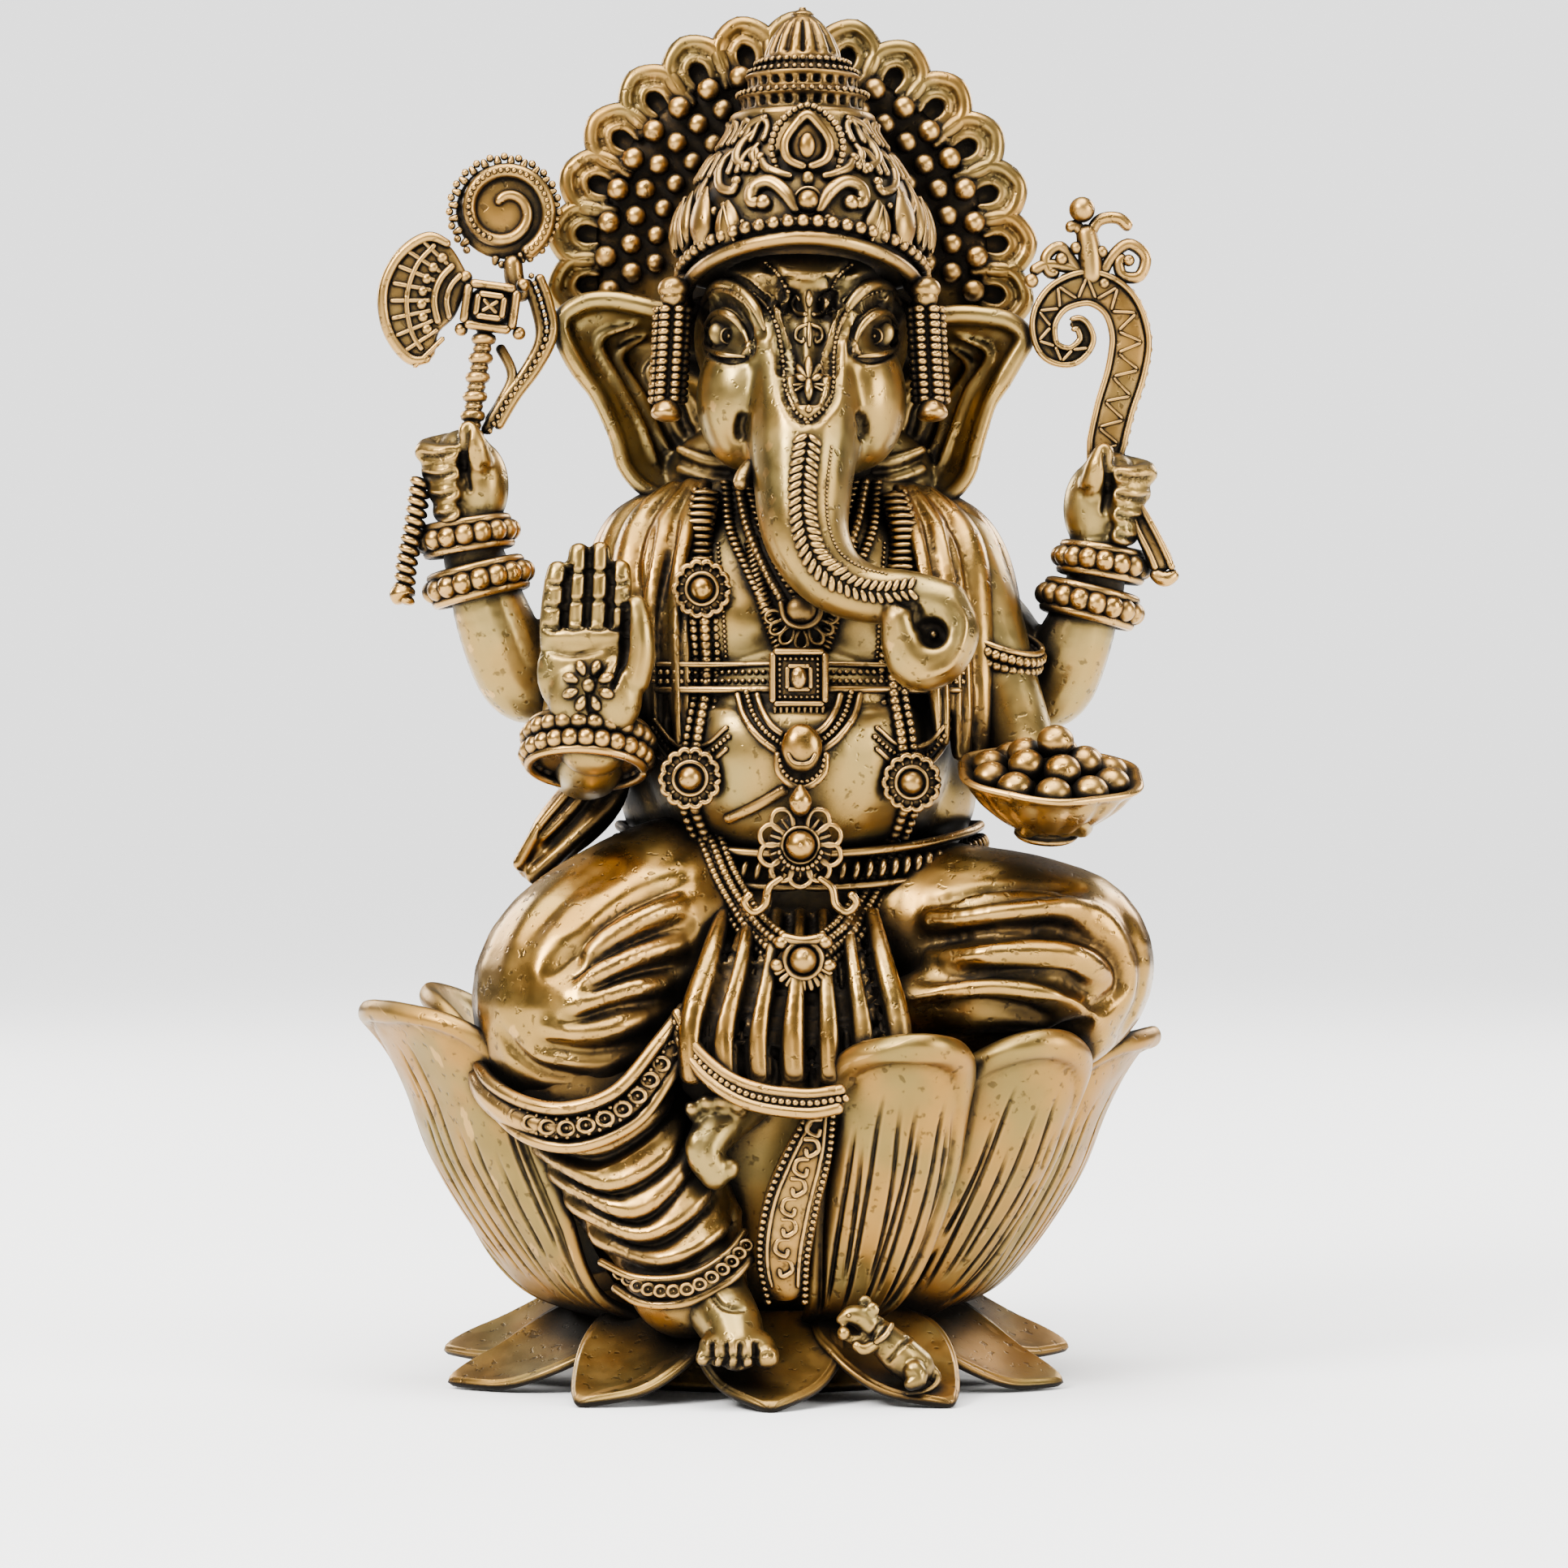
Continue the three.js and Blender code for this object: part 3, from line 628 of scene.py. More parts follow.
def addPetal(line, width, look, seed, side, pointed=False):
    # a closed petal with a rounded rolled rim and grooved veins; line runs from root to tip
    chance = np.random.default_rng(seed)
    columns, rows = look["grid"]
    s = np.linspace(0, 1, rows)
    cap = look["cap"]
    if pointed:
        v = s
        half = width * np.clip(np.sin(math.pi * (0.18 + 0.82 * v)), 0, 1) ** 0.75
    else:
        v = np.where(s < cap, s, cap + (1 - cap) * np.sin(math.pi / 2 * (s - cap) / (1 - cap)))
        grown = np.clip(v / look["fullAt"], 0, 1)
        half = width * (look["rootWidth"] + (1 - look["rootWidth"]) * grown * (2 - grown))
        half = half * np.sqrt(np.clip(1 - np.clip((v - cap) / (1 - cap), 0, 1) ** 2.4, 0, 1))
    centre = evenPath(line, 200)
    grid = np.linspace(0, 1, 200)
    spine = np.column_stack([np.interp(v, grid, centre[:, i]) for i in range(3)])
    side = np.asarray(side, float)
    tangent = np.gradient(centre, axis=0)
    tangent /= np.linalg.norm(tangent, axis=1)[:, None]
    flow = np.column_stack([np.interp(v, grid, tangent[:, i]) for i in range(3)])
    outward = np.cross(side, flow)
    outward /= np.linalg.norm(outward, axis=1)[:, None]
    spacing = math.pi / 2 * 0.86  # columns stand closer together near the rim
    u = np.sin(np.linspace(-1, 1, columns) * spacing) / math.sin(spacing)
    across = half[:, None] * u[None, :]
    share = across / width
    edge = half[:, None] - np.abs(across)
    if not pointed:
        over = np.clip((v - cap) / (1 - cap), 0, 1)[:, None]
        ring = np.sqrt(share**2 + over**2.4)
        edge = np.where(over > 0, np.minimum(edge, (1 - np.clip(ring, 0, 1)) * width), edge)
    edge = np.minimum(np.minimum(edge, (1 - v)[:, None] * pathLength(line)), 5)
    curl = look["curl"] * np.clip((v - 0.8) / 0.2, 0, 1)[:, None] ** 2
    cup = look["cup"] * (0.4 * share**2 + 0.6 * share**4) * np.clip(v * 3, 0, 1)[:, None]
    bend = curl * (1 - 0.4 * share**2) - cup
    middle = spine[:, None, :] + side[
        None, None, :
    ] * across[:, :, None] + outward[:, None, :] * bend[:, :, None]
    rise = np.gradient(middle, axis=0)
    run = np.gradient(middle, axis=1)
    normal = np.cross(run, rise)
    normal /= np.maximum(np.linalg.norm(normal, axis=2), 1e-9)[:, :, None]
    flip = np.sign((normal * outward[:, None, :]).sum(axis=2))
    normal *= np.where(flip == 0, 1, flip)[:, :, None]
    normal[-1] = normal[-2]
    rim = look["rim"] + (look["lip"] - look["rim"]) * np.clip((v - 0.6) / 0.35, 0, 1)[:, None] ** 1.5
    bead = rim * np.sqrt(np.clip(1 - ((edge - rim) / rim) ** 2, 0, 1)) * (edge < 2 * rim)
    skin = look["thick"] / 2 * np.clip(edge / rim, 0, 1)
    front = np.maximum(skin, bead)
    back = np.maximum(skin, bead * 0.6)
    groove = np.zeros_like(across)
    for k in range(look["veins"]):
        at = (k + 0.5) / look["veins"] * 1.7 - 0.85 + chance.uniform(-0.05, 0.05)
        start = chance.uniform(0.02, 0.25)
        stop = chance.uniform(0.62, 0.9) - 0.15 * abs(at)
        sway = 0.1 * np.sin(v * chance.uniform(3, 6) + chance.uniform(0, 6))
        gap = (across - (at + sway * 0.4)[:, None] * half[:, None]) / look["veinWidth"]
        window = np.clip((v - start) / 0.08, 0, 1) * np.clip((stop - v) / 0.12, 0, 1)
        if chance.random() < 0.4:
            hole = chance.uniform(start + 0.1, stop)
            window = window * np.clip(np.abs(v - hole) / 0.04 - 0.4, 0, 1)
        groove = np.maximum(groove, np.exp(-(gap**2)) * window[:, None])
    gutter = np.exp(-(((edge - 2.1 * rim) / 0.22) ** 2)) * np.clip((v - 0.06) / 0.05, 0, 1)[:, None]
    gutter *= np.clip((0.74 - v) / 0.12, 0, 1)[:, None]
    front = front - look["veinDepth"] * np.maximum(groove * np.clip(edge / rim - 1.7, 0, 1), gutter)
    outer = middle + normal * front[:, :, None]
    inner = middle - normal * back[:, :, None]
    points = np.vstack([outer.reshape(-1, 3), inner.reshape(-1, 3)])
    size = rows * columns
    faces = sheetFaces(rows, columns)
    for i in range(columns - 1):
        faces.append((i + 1, i, size + i, size + i + 1))
    return buildMesh("petal", points, faces)


petalLook = {
    "grid": (112, 84), "cap": 0.76, "fullAt": 0.62, "rootWidth": 0.5, "curl": 1.4, "cup": 2.5,
    "rim": 0.5, "lip": 1, "thick": 0.95, "veins": 9, "veinWidth": 0.11, "veinDepth": 0.36,
}
# root and top places, the way each petal faces (degrees from the front), its half width
# and, where they differ, the thickness of its lip and how far it curls
petals = {
    "petal_front_left": {
        "root": (5, -8.8), "top": (10.5, -17.9, 26.6), "face": 4, "width": 5.15, "lip": 1.3
    },
    "petal_side_left": {
        "root": (9.6, -4.6), "top": (19.4, -12.8, 26.5), "face": 20, "width": 5.3, "lip": 1.2
    },
    "petal_outer_left": {
        "root": (12.2, 0), "top": (28, -0.5, 26), "face": 72, "width": 6.4, "curl": 0.5, "lip": 0.95
    },
    "petal_rear_left": {"root": (10.5, 5), "top": (22.6, 12, 27.6), "face": 128, "width": 7.2},
    "petal_back_left": {"root": (4, 8), "top": (8.6, 17.8, 27), "face": 163, "width": 6.6},
    "petal_back_right": {"root": (-3.8, 8), "top": (-6.6, 18, 28), "face": 192, "width": 6.8},
    "petal_rear_right": {"root": (-10, 6), "top": (-19.5, 14, 27.2), "face": 225, "width": 6.8},
    "petal_outer_right": {
        "root": (-12.6, 1), "top": (-24.8, 4.6, 29), "face": 262, "width": 6.4, "curl": 0.5, "lip": 1
    },
    "petal_side_right": {
        "root": (-11.2, -4.8), "top": (-27.6, -6.5, 28.2), "face": 306, "width": 7.6, "curl": 0.5,
        "lip": 0.95
    },
}


def makeLotus():
    front = np.array([[0, 0], [0.22, 0.1], [0.46, 0.28], [0.69, 0.5], [0.85, 0.72], [0.95, 0.88], [1, 1]])
    outer = np.array([[0, 0], [0.23, 0.07], [0.43, 0.23], [0.63, 0.47], [0.75, 0.7], [0.89, 0.9], [1, 1]])
    for number, (name, spec) in enumerate(petals.items()):
        root, top = np.array([*spec["root"], 5.4]), np.array(spec["top"])
        profile = front if abs(spec["face"] - 14) < 10 else outer
        line = [root + (top - root) * np.array([out, out, up]) for out, up in profile]
        turn = math.radians(spec["face"])
        side = (math.cos(turn), math.sin(turn), 0)
        look = {**petalLook, "lip": spec.get("lip", 0.72), "curl": spec.get("curl", 1.2)}
        petal = addPetal(line, spec["width"], look, number + 1, side)
        finishPiece(petal, name, "lotus_brass")

    bowl = addTurned(
        [
            [0, 4.6], [8, 4.8], [10.4, 6], [12.4, 9], [14.8, 14], [17, 20], [18.2, 24.6], [17.2, 25.2],
            [9, 25.4], [0, 25.6]
        ],
        (0, 1.2, 0), around=96, steps=64, depth=0.74,
    )
    finishPiece(bowl, "lotus_core", "lotus_brass")

    leafLook = {
        **petalLook, "grid": (84, 56), "curl": 0.6, "cup": 0.9, "rim": 0.4, "lip": 0.4, "veins": 9,
        "thick": 0.8, "veinWidth": 0.12
    }
    # root and tip places and half width of each leaf lying on the ground
    leaves = [
        {"root": (0.2, -8, 5.6), "tip": (0.3, -19, 0.75), "width": 5.2},
        {"root": (-5.5, -7, 6.4), "tip": (-13.2, -16.2, 0.8), "width": 4.9},
        {"root": (5.5, -7, 6), "tip": (13, -16.6, 0.8), "width": 4.9},
        {"root": (-8, -4, 6), "tip": (-23, -5.4, 1), "width": 4.6},
        {"root": (8, -4, 6.4), "tip": (21.4, -5.6, 1), "width": 4.6},
        {"root": (-8, 1, 6.6), "tip": (-24, 4, 2.2), "width": 4.8},
        {"root": (8, 1, 6.8), "tip": (22.4, 4, 2.4), "width": 4.8},
        {"root": (-6, 6, 6), "tip": (-15, 14.6, 0.8), "width": 5},
        {"root": (6, 6, 6), "tip": (15.4, 14.8, 0.8), "width": 5},
        {"root": (0, 7, 6), "tip": (0.6, 19.2, 0.8), "width": 5.2},
    ]
    parts = []
    for number, leaf in enumerate(leaves):
        root, tip = np.array(leaf["root"]), np.array(leaf["tip"])
        steps = [(0, 0), (0.25, 0.33), (0.5, 0.66), (0.76, 0.93), (1, 1)]
        line = [root + (tip - root) * np.array([out, out, down]) for out, down in steps]
        run = tip - root
        side = unit(np.cross([0, 0, 1], run)) * [1, 1, 0]
        side[2] = side[1] * 0.42 * abs(unit(run)[0])  # leaves at the sides turn their faces forwards
        parts.append(addPetal(line, leaf["width"], leafLook, 40 + number, unit(side), pointed=True))
    hub = addTurned(
        [[0, 0], [11.5, 0], [12, 1.2], [10.5, 4.6], [9.5, 5.6], [0, 5.8]], (0, 0.5, 0), depth=0.74
    )
    ring = joinAll(parts + [hub])
    points = getPoints(ring)
    points[:, 2] = np.maximum(points[:, 2], 0.02)
    setPoints(ring, points)
    finishPiece(ring, "ground_petal_ring", "lotus_brass")


makeLotus()
say("lotus ready")


# legs and lap


def addLimb(points, radii, steps=None):
    # overlapping balls along a line, to be fused; four to each given place unless steps says more
    path = smoothPath(
        np.column_stack([np.asarray(points, float), np.asarray(radii, float)]), steps or len(points) * 4
    )
    return [addBall(row[:3], row[3], around=16, rings=12) for row in path]


def makeLegs():
    thigh = addLimb(
        [(0.5, 0, 33), (-5, -2.5, 34), (-9.5, -5.5, 31.8), (-12.8, -7.6, 28.8), (-13.3, -8.6, 26)],
        [6.6, 7.4, 7.9, 8.2, 7.2]
    )
    thigh.append(addBall((-9, -3, 27.5), (9, 7, 7)))
    ridges = [
        (
            [(-5.2, -9.5, 35.4), (-9, -12, 34.2), (-13, -13.2, 31.4), (-17, -12.5, 28.5)],
            [0.7, 1.3, 1.4, 0.6]
        ),
        (
            [(-5.4, -10.5, 32.6), (-9, -13.2, 31.6), (-13, -14.8, 30), (-16, -14.5, 28.2)],
            [0.6, 1.1, 1.1, 0.5]
        ),
        ([(-5.6, -11, 30), (-9, -13.8, 29.4), (-13, -15.6, 28.2)], [0.6, 1, 0.6]),
    ]
    for line, radii in ridges:
        thigh.append(addBar(line, radii, sides=12))
    thigh = fuse(thigh, voxel=0.32, smooth=10)
    folds = [
        ([(-5.2, 36.6), (-9, 35.1), (-12.6, 32.6), (-15.4, 29.8)], 0.62, 1),
        ([(-5, 33.8), (-9, 32.5), (-12.4, 31), (-14.6, 29.2)], 0.6, 1),
        ([(-4.8, 31), (-9, 30.3), (-12.8, 28.8)], 0.55, 0.9),
        ([(-6, 28.4), (-10, 27.9), (-14.4, 26.6)], 0.5, 0.8),
        ([(-7.6, 25.8), (-11.8, 24.8), (-16.4, 25.4)], 0.5, 0.7),
        ([(-10.4, 38), (-14, 35.8), (-17.2, 32.2)], 0.7, 0.35),
        ([(-19, 26.6), (-16.4, 23.8), (-12, 22.8)], 0.4, 0.5),
    ]
    pressAll(thigh, folds)
    raised = [
        ([(-5.6, 35.2), (-9.5, 33.9), (-13.2, 31.4)], 0.75, -0.55),
        ([(-5.6, 32.4), (-9.5, 31.4), (-13.2, 29.6)], 0.7, -0.5),
        ([(-6.5, 29.4), (-10.5, 29), (-14, 27.6)], 0.65, -0.45),
        ([(-8, 27), (-12, 26.2), (-16, 26.4)], 0.65, -0.4),
    ]
    pressAll(thigh, raised)
    settle(thigh, 3, 0.5)
    keepSkin(thigh)
    finishPiece(thigh, "hanging_thigh", "drapery_brass")

    # the cloth below the knee, pulled into crescent folds
    shin = addLimb(
        [(-12.6, -8.8, 22), (-9.5, -9.6, 17), (-6.6, -10.4, 12), (-5.6, -11.6, 8.6)], [6.2, 5.9, 4.9, 4.3]
    )
    shin = fuse(shin, voxel=0.3, smooth=6)
    swags = [
        [(-17.4, 18.6), (-15.2, 17.6), (-11.5, 17.3), (-7.1, 20.2), (-5.4, 23.4)],
        [(-16.6, 17), (-14.4, 15.9), (-10.6, 14.7), (-6.4, 17.3), (-4.8, 21)],
        [(-15.6, 15.2), (-13.4, 14.1), (-8.9, 12.8), (-5, 16.6), (-4.2, 19)],
        [(-14.6, 13.3), (-12.6, 12.3), (-8.3, 11.1), (-4.2, 13.8), (-3.2, 16.4)],
        [(-13.4, 11.2), (-11.4, 10.2), (-7.1, 9.4), (-2.8, 11.6), (-2, 13.6)],
    ]
    for line in swags:
        press(shin, line, 0.36, 0.75, taper=0.3)
    for line in swags:
        press(shin, [(x + 0.1, z + 0.95) for x, z in line], 0.55, -0.45, taper=0.4)
    settle(shin, 1, 0.4)
    ankleRail = addBar(
        [(-10.8, -13.2, 8.2), (-8.5, -15.2, 7.2), (-5.4, -16, 7.4), (-2.6, -15.6, 8.8), (-0.9, -14, 10.4)],
        [0.35] * 5, steps=40
    )
    upperRail = addBar(
        [(-11.8, -13.2, 10), (-9, -15.3, 9), (-5.4, -16, 9.2), (-2.8, -15.2, 10.6), (-1.4, -13.4, 12.2)],
        [0.3] * 5, steps=40
    )
    shin = joinAll([shin, ankleRail, upperRail])
    finishPiece(shin, "hanging_shin", "drapery_brass")

    # the folded leg on the other side
    lump = addLimb(
        [(5.5, 0, 33.5), (11, -2.5, 33), (17, -4.5, 31.6), (20.6, -5, 30.4)], [6.6, 6.6, 7.2, 7.4]
    )
    lump += addLimb([(20.8, -6.6, 28.4), (16, -9.6, 27.6), (11, -10.6, 26.6)], [5.6, 4.6, 3.6])
    lump += [
        addBar(
            [(11, -10, 30.9), (16, -12.4, 31.6), (21, -12.4, 31.2), (25, -9.5, 29.4)], [0.9, 1.5, 1.5, 0.9],
            sides=12
        ),
        addBar(
            [(10.8, -9.6, 33.6), (16, -11.2, 34.6), (21, -10.6, 34.2), (25.6, -7, 31.4)],
            [0.8, 1.4, 1.5, 0.9], sides=12
        ),
        addBar(
            [(11, -12.6, 28.3), (15, -13.6, 28.6), (20, -13, 27.6), (24.5, -9.5, 26.8)],
            [0.8, 1.3, 1.4, 0.8], sides=12
        ),
    ]
    lump = fuse(lump, voxel=0.32, smooth=9)
    points = getPoints(lump)
    # tucked behind the petal lips
    points[:, 1] = np.maximum(points[:, 1], -13.6 + 1.1 * np.clip(28.6 - points[:, 2], 0, 5))
    setPoints(lump, points)
    folds = [
        ([(11.6, 34.8), (17.1, 35.8), (22.8, 36)], 0.5, 0.8),
        ([(10.4, 32.1), (16.5, 33), (21, 33.2), (24.6, 31.4), (25.2, 29), (22.4, 27.4)], 0.5, 1),
        ([(10.4, 29.8), (15.4, 30.2), (20.4, 30), (23, 28.6)], 0.42, 0.85),
        ([(10.6, 27.4), (15.6, 28), (20.2, 27)], 0.42, 0.85),
        ([(13, 25.2), (18.4, 25.4), (23.2, 26.8)], 0.45, 0.8),
        ([(24.4, 35.2), (26.8, 31.6), (26.8, 28), (25, 25)], 0.45, 0.55),
    ]
    pressAll(lump, folds)
    raised = [
        ([(12, 33.5), (17, 34.5), (22.5, 34.8), (26, 32.2)], 0.65, -0.5),
        ([(12, 31), (17, 31.7), (22.2, 31.4), (24, 29.6)], 0.6, -0.45),
        ([(12, 28.7), (16, 29.2), (21, 28.6)], 0.55, -0.45),
        ([(12, 26.4), (17, 26.7), (22, 26.2)], 0.55, -0.4),
    ]
    pressAll(lump, raised)
    settle(lump, 3, 0.5)
    keepSkin(lump)
    finishPiece(lump, "folded_leg", "drapery_brass")


makeLegs()
say("legs ready")


# torso


def makeTorso():
    lumps = [
        addBall((bodyX, 1.5, 33), (13.5, 9.5, 8.5)),
        addBall((bodyX - 0.2, -2.2, 45.6), (11.2, 9.9, 9.2)),
        addBall((bodyX - 0.2, 1.6, 43), (13.2, 8.6, 8.6)),
        addBall((bodyX, -0.2, 55.5), (11.8, 7.8, 9)),
        addBall((bodyX, 3.2, 53), (12.2, 7, 14)),
        addBall((-2.3, -3, 55), (6, 5.6, 4.8)),
        addBall((7.3, -3, 55), (6, 5.6, 4.8)),
        addBall((bodyX, 2.4, 64), (6.5, 5.8, 5)),
    ]
    lumps += addLimb([(-1, 1.5, 63), (-6, 1.5, 61.4), (-8.6, 1.4, 59)], [4.2, 3.9, 3.4])
    lumps += addLimb([(6, 1.5, 63), (11, 1.5, 61.4), (13.4, 1.4, 59)], [4.2, 3.9, 3.4])
    torso = fuse(lumps, voxel=0.4, smooth=10)
    press(torso, [(-8.6, 51), (-4, 49.6), (bodyX, 49.2), (9, 49.6), (13.4, 51)], 0.6, 0.5)
    press(torso, [(-9.6, 40.4), (-4, 38.4), (bodyX, 37.6), (9, 38.4), (14.4, 40.4)], 0.5, 0.6)
    press(torso, [(bodyX, 44.6), (bodyX, 43.6)], 0.5, 0.6, taper=0)
    keepSkin(torso)
    for line, width, depth in (
        ([(2.5, 64), (2.5, 55), (2.5, 46)], 0.9, 0.6), ([(-5, 61), (-3.6, 57), (-4.4, 53)], 0.9, 0.35),
        ([(10, 61), (8.6, 57), (9.4, 53)], 0.9, 0.35)
    ):
        press(torso, line, width, depth, side=1)  # spine and shoulder blades
    finishPiece(torso, "torso", "skin_brass")


makeTorso()
say("torso ready")


# head


def makeHead():
    skull = [
        addBall((bodyX, 0.6, 76.2), (7.9, 7.6, 7.4)),
        addBall((bodyX, -4.6, 77.6), (6.7, 5.4, 5.4)),
        addBall((-1.6, -5.2, 71.2), (3.5, 4.2, 5.2)),
        addBall((6.6, -5.2, 71.2), (3.5, 4.2, 5.2)),
        addBall((-0.5, -5.2, 69), (2.4, 3.4, 3.4)),
        addBall((5.7, -5.2, 69), (2.4, 3.4, 3.4)),
        addBall((2.7, -7, 69.6), (4.9, 3.6, 5.4)),
        addBall((2.6, -5.6, 71.6), (6.2, 4.7, 7)),
        addBall((2.7, -6.6, 74.6), (5.4, 3.9, 5)),
        addBall((bodyX, 1.5, 69), (6.4, 6, 6)),
    ]
    trunkLine = [
        (2.7, -7, 72.5), (2.7, -8.8, 68.8), (2.6, -10.3, 65), (2.8, -11.6, 61.2), (4.4, -12.6, 58.3),
        (7, -13, 56.9), (9.9, -13.4, 56.6), (12.6, -13.8, 56)
    ]
    skull += addLimb(trunkLine, [4.3, 4.1, 3.6, 3.1, 2.5, 2.1, 1.95, 1.8], steps=48)
    curlLine = [
        (12.6, -13.8, 56), (13.2, -14, 54.2), (12.2, -14.2, 52.4), (10.6, -14.3, 52), (9.6, -14.6, 53.4),
        (9.2, -15, 55)
    ]
    skull += addLimb(curlLine, [1.75, 1.85, 1.95, 2, 1.6, 1.2], steps=26)
    face = fuse(skull, voxel=0.24, smooth=14)
    # nostril and creases of the curled trunk, then the forehead panel
    press(face, [(11.75, 54.1), (11.75, 53.9)], 0.62, 1.7, taper=0)
    press(face, [(12.9, 56.7), (13.9, 54.6), (12.9, 51.9), (10.6, 50.9)], 0.3, -0.25)
    press(face, [(9, 56.4), (10.4, 55.9), (10.7, 54.2)], 0.3, 0.5)
    panel = [
        [
            (-3.4, 79.6), (-1.9, 79), (-0.3, 77.6), (0.5, 76), (0.9, 73.6), (1.1, 71.6), (1.8, 69.8),
            (3, 68.8)
        ],
        [(9.4, 79.4), (7, 78.2), (5.6, 76.6), (5.1, 74.4), (5, 72.2), (4.6, 70.4), (3, 68.8)],
    ]
    for side in panel:
        press(face, side, 0.34, 0.5, taper=0.1)
    for x, low, high, wide in (
        (2.9, 70.2, 79.6, 1.3), (0.6, 77.4, 79.6, 1.2), (5.2, 77.6, 79.6, 1.2), (1.7, 72.4, 78.8, 0.8),
        (4.1, 72.4, 78.8, 0.8)
    ):
        press(face, [(x, low), (x, (low + high) / 2), (x, high)], wide, 0.95, taper=0.1, sharp=4)
    for line in (
        [(-0.2, 80.8), (0.9, 79.4), (1.9, 77.6), (2.2, 76.6)],
        [(6.2, 80.8), (5.2, 79.4), (4.2, 77.6), (4, 76.6)]
    ):
        press(face, line, 0.4, 0.4, taper=0.15)
    eyes = [(1, -2.75), (-1, 7.75)]
    # across from the eye and up, width, depth, taper, sharpness: hollow over the eye, its socket,
    # dark lines under and over it, the lid's ridge, the brow's crease and the corner of the mouth
    eyeMarks = [
        ([(-2.2, 77.6), (-0.2, 78.4), (1.6, 76.9), (2.2, 75)], 0.75, 0.5, 0.2, 2),
        ([(-1.55, 75.6), (0, 75.6), (1.3, 75)], 1.1, 0.6, 0.1, 4),
        ([(-1.7, 76.6), (-1.3, 74.5), (0.1, 73.7), (1.5, 73.9)], 0.2, 0.5, 0.1, 2),
        ([(-1.7, 76.9), (-0.6, 78), (0.7, 77.4), (1.7, 75.2), (1.6, 73.9)], 0.2, 0.5, 0.1, 2),
        ([(-1.75, 78.3), (-0.4, 79), (1.3, 77.9), (2.4, 75.9)], 0.3, -0.35, 0.3, 2),
        ([(-1.75, 79.5), (0.1, 79.9), (2.3, 78.3), (3.1, 76.4)], 0.28, 0.4, 0.3, 2),
        ([(1.1, 70), (0.8, 68.8), (1, 67.9)], 0.3, 0.65, 0.4, 2),
    ]
    for sign, x in eyes:
        for line, width, depth, taper, sharp in eyeMarks:
            press(face, [(x + dx * sign, z) for dx, z in line], width, depth, taper=taper, sharp=sharp)
    settle(face, 1, 0.3)
    skin = finder(BVHTree.FromObject(face, bpy.context.evaluated_depsgraph_get()), -8)
    extras = []

    def lay(line, lift, radii, sides=8, steps=24):
        # a bar along a line given as (x, z), laid on the face
        extras.append(addBar([skin(x, z, lift) for x, z in line], radii, sides=sides, steps=steps))

    # upper lid, lower lid and brow
    lids = [
        (
            [(-1.75, 76.7), (-0.95, 77.3), (0.1, 77), (1.1, 75.9), (1.65, 74.1)], 0.2,
            [0.12, 0.27, 0.32, 0.28, 0.1], 10, 30
        ),
        ([(-1.75, 76.5), (-1.6, 75.2), (-0.6, 74.2), (1.4, 73.9)], 0.15, [0.1, 0.2, 0.22, 0.1], 10, 24),
        (
            [(-2, 78.5), (-0.9, 79.3), (0.6, 79), (1.9, 77.5), (2.7, 75.6)], -0.1,
            [0.2, 0.42, 0.48, 0.4, 0.12], 12, 34
        ),
    ]
    for sign, x in eyes:
        extras.append(
            addBall(
                skin(x - 0.05 * sign, 75.6, -0.5), (1.5, 0.55, 1.05), (0, math.radians(32) * sign, 0),
                around=28
            )
        )
        extras.append(addRing(skin(x + 0.1 * sign, 75.6, 0.16), 0.58, 0.13, around=24))
        extras.append(addBall(skin(x + 0.1 * sign, 75.6, 0.1), (0.22, 0.2, 0.22), around=12, rings=8))
        for line, lift, radii, sides, steps in lids:
            lay([(x + dx * sign, z) for dx, z in line], lift, radii, sides, steps)
    # beaded edge of the forehead panel, in one looped row
    border = evenPath(panel[0], 40).tolist() + evenPath(panel[1][::-1], 40)[1:].tolist()
    loops = [border, [(-0.3, 80.7), (0.6, 79.8), (1.3, 78.6)], [(6.3, 80.6), (5.3, 79.7), (4.7, 78.6)]]
    for line in loops:
        count = int(pathLength([(x, 0, z) for x, z in line]) / 0.36)
        inset = [(x + (0.25 if x < 3 else -0.25), z) for x, z in line]
        extras.append(addBeads([skin(x, z, 0.02) for x, _, z in evenFlat(inset, count)], 0.21, detail=1))
        lay(evenFlat(inset, 14)[:, [0, 2]], -0.1, 0.17, steps=60)
    # leafy ornament on the panel
    for degrees, reach in ((-66, 1.3), (-36, 1.75), (0, 2), (36, 1.75), (66, 1.3)):
        a = math.radians(degrees)
        sprig = [(3 + math.sin(a) * r * 0.85, 71.9 + math.cos(a) * r) for r in (0.1, reach * 0.6, reach)]
        lay(sprig, 0.1, [0.16, 0.34, 0.16], steps=12)
    for degrees in (-96, -118, 96, 118):
        a = math.radians(degrees)
        sprig = [(3 + math.sin(a) * r, 71.8 + math.cos(a) * r) for r in (0.15, 0.7, 1.15)]
        lay(sprig, 0.08, [0.1, 0.17, 0.08], steps=10)
    extras.append(
        addBar([skin(3, 72.2, 0.25), skin(3, 71.3, 0.3), skin(3, 70.4, 0.1)], [0.2, 0.36, 0.12], steps=14)
    )
    extras.append(addBall(skin(3, 69.9, 0.05), (0.26, 0.26, 0.3), around=10, rings=8))
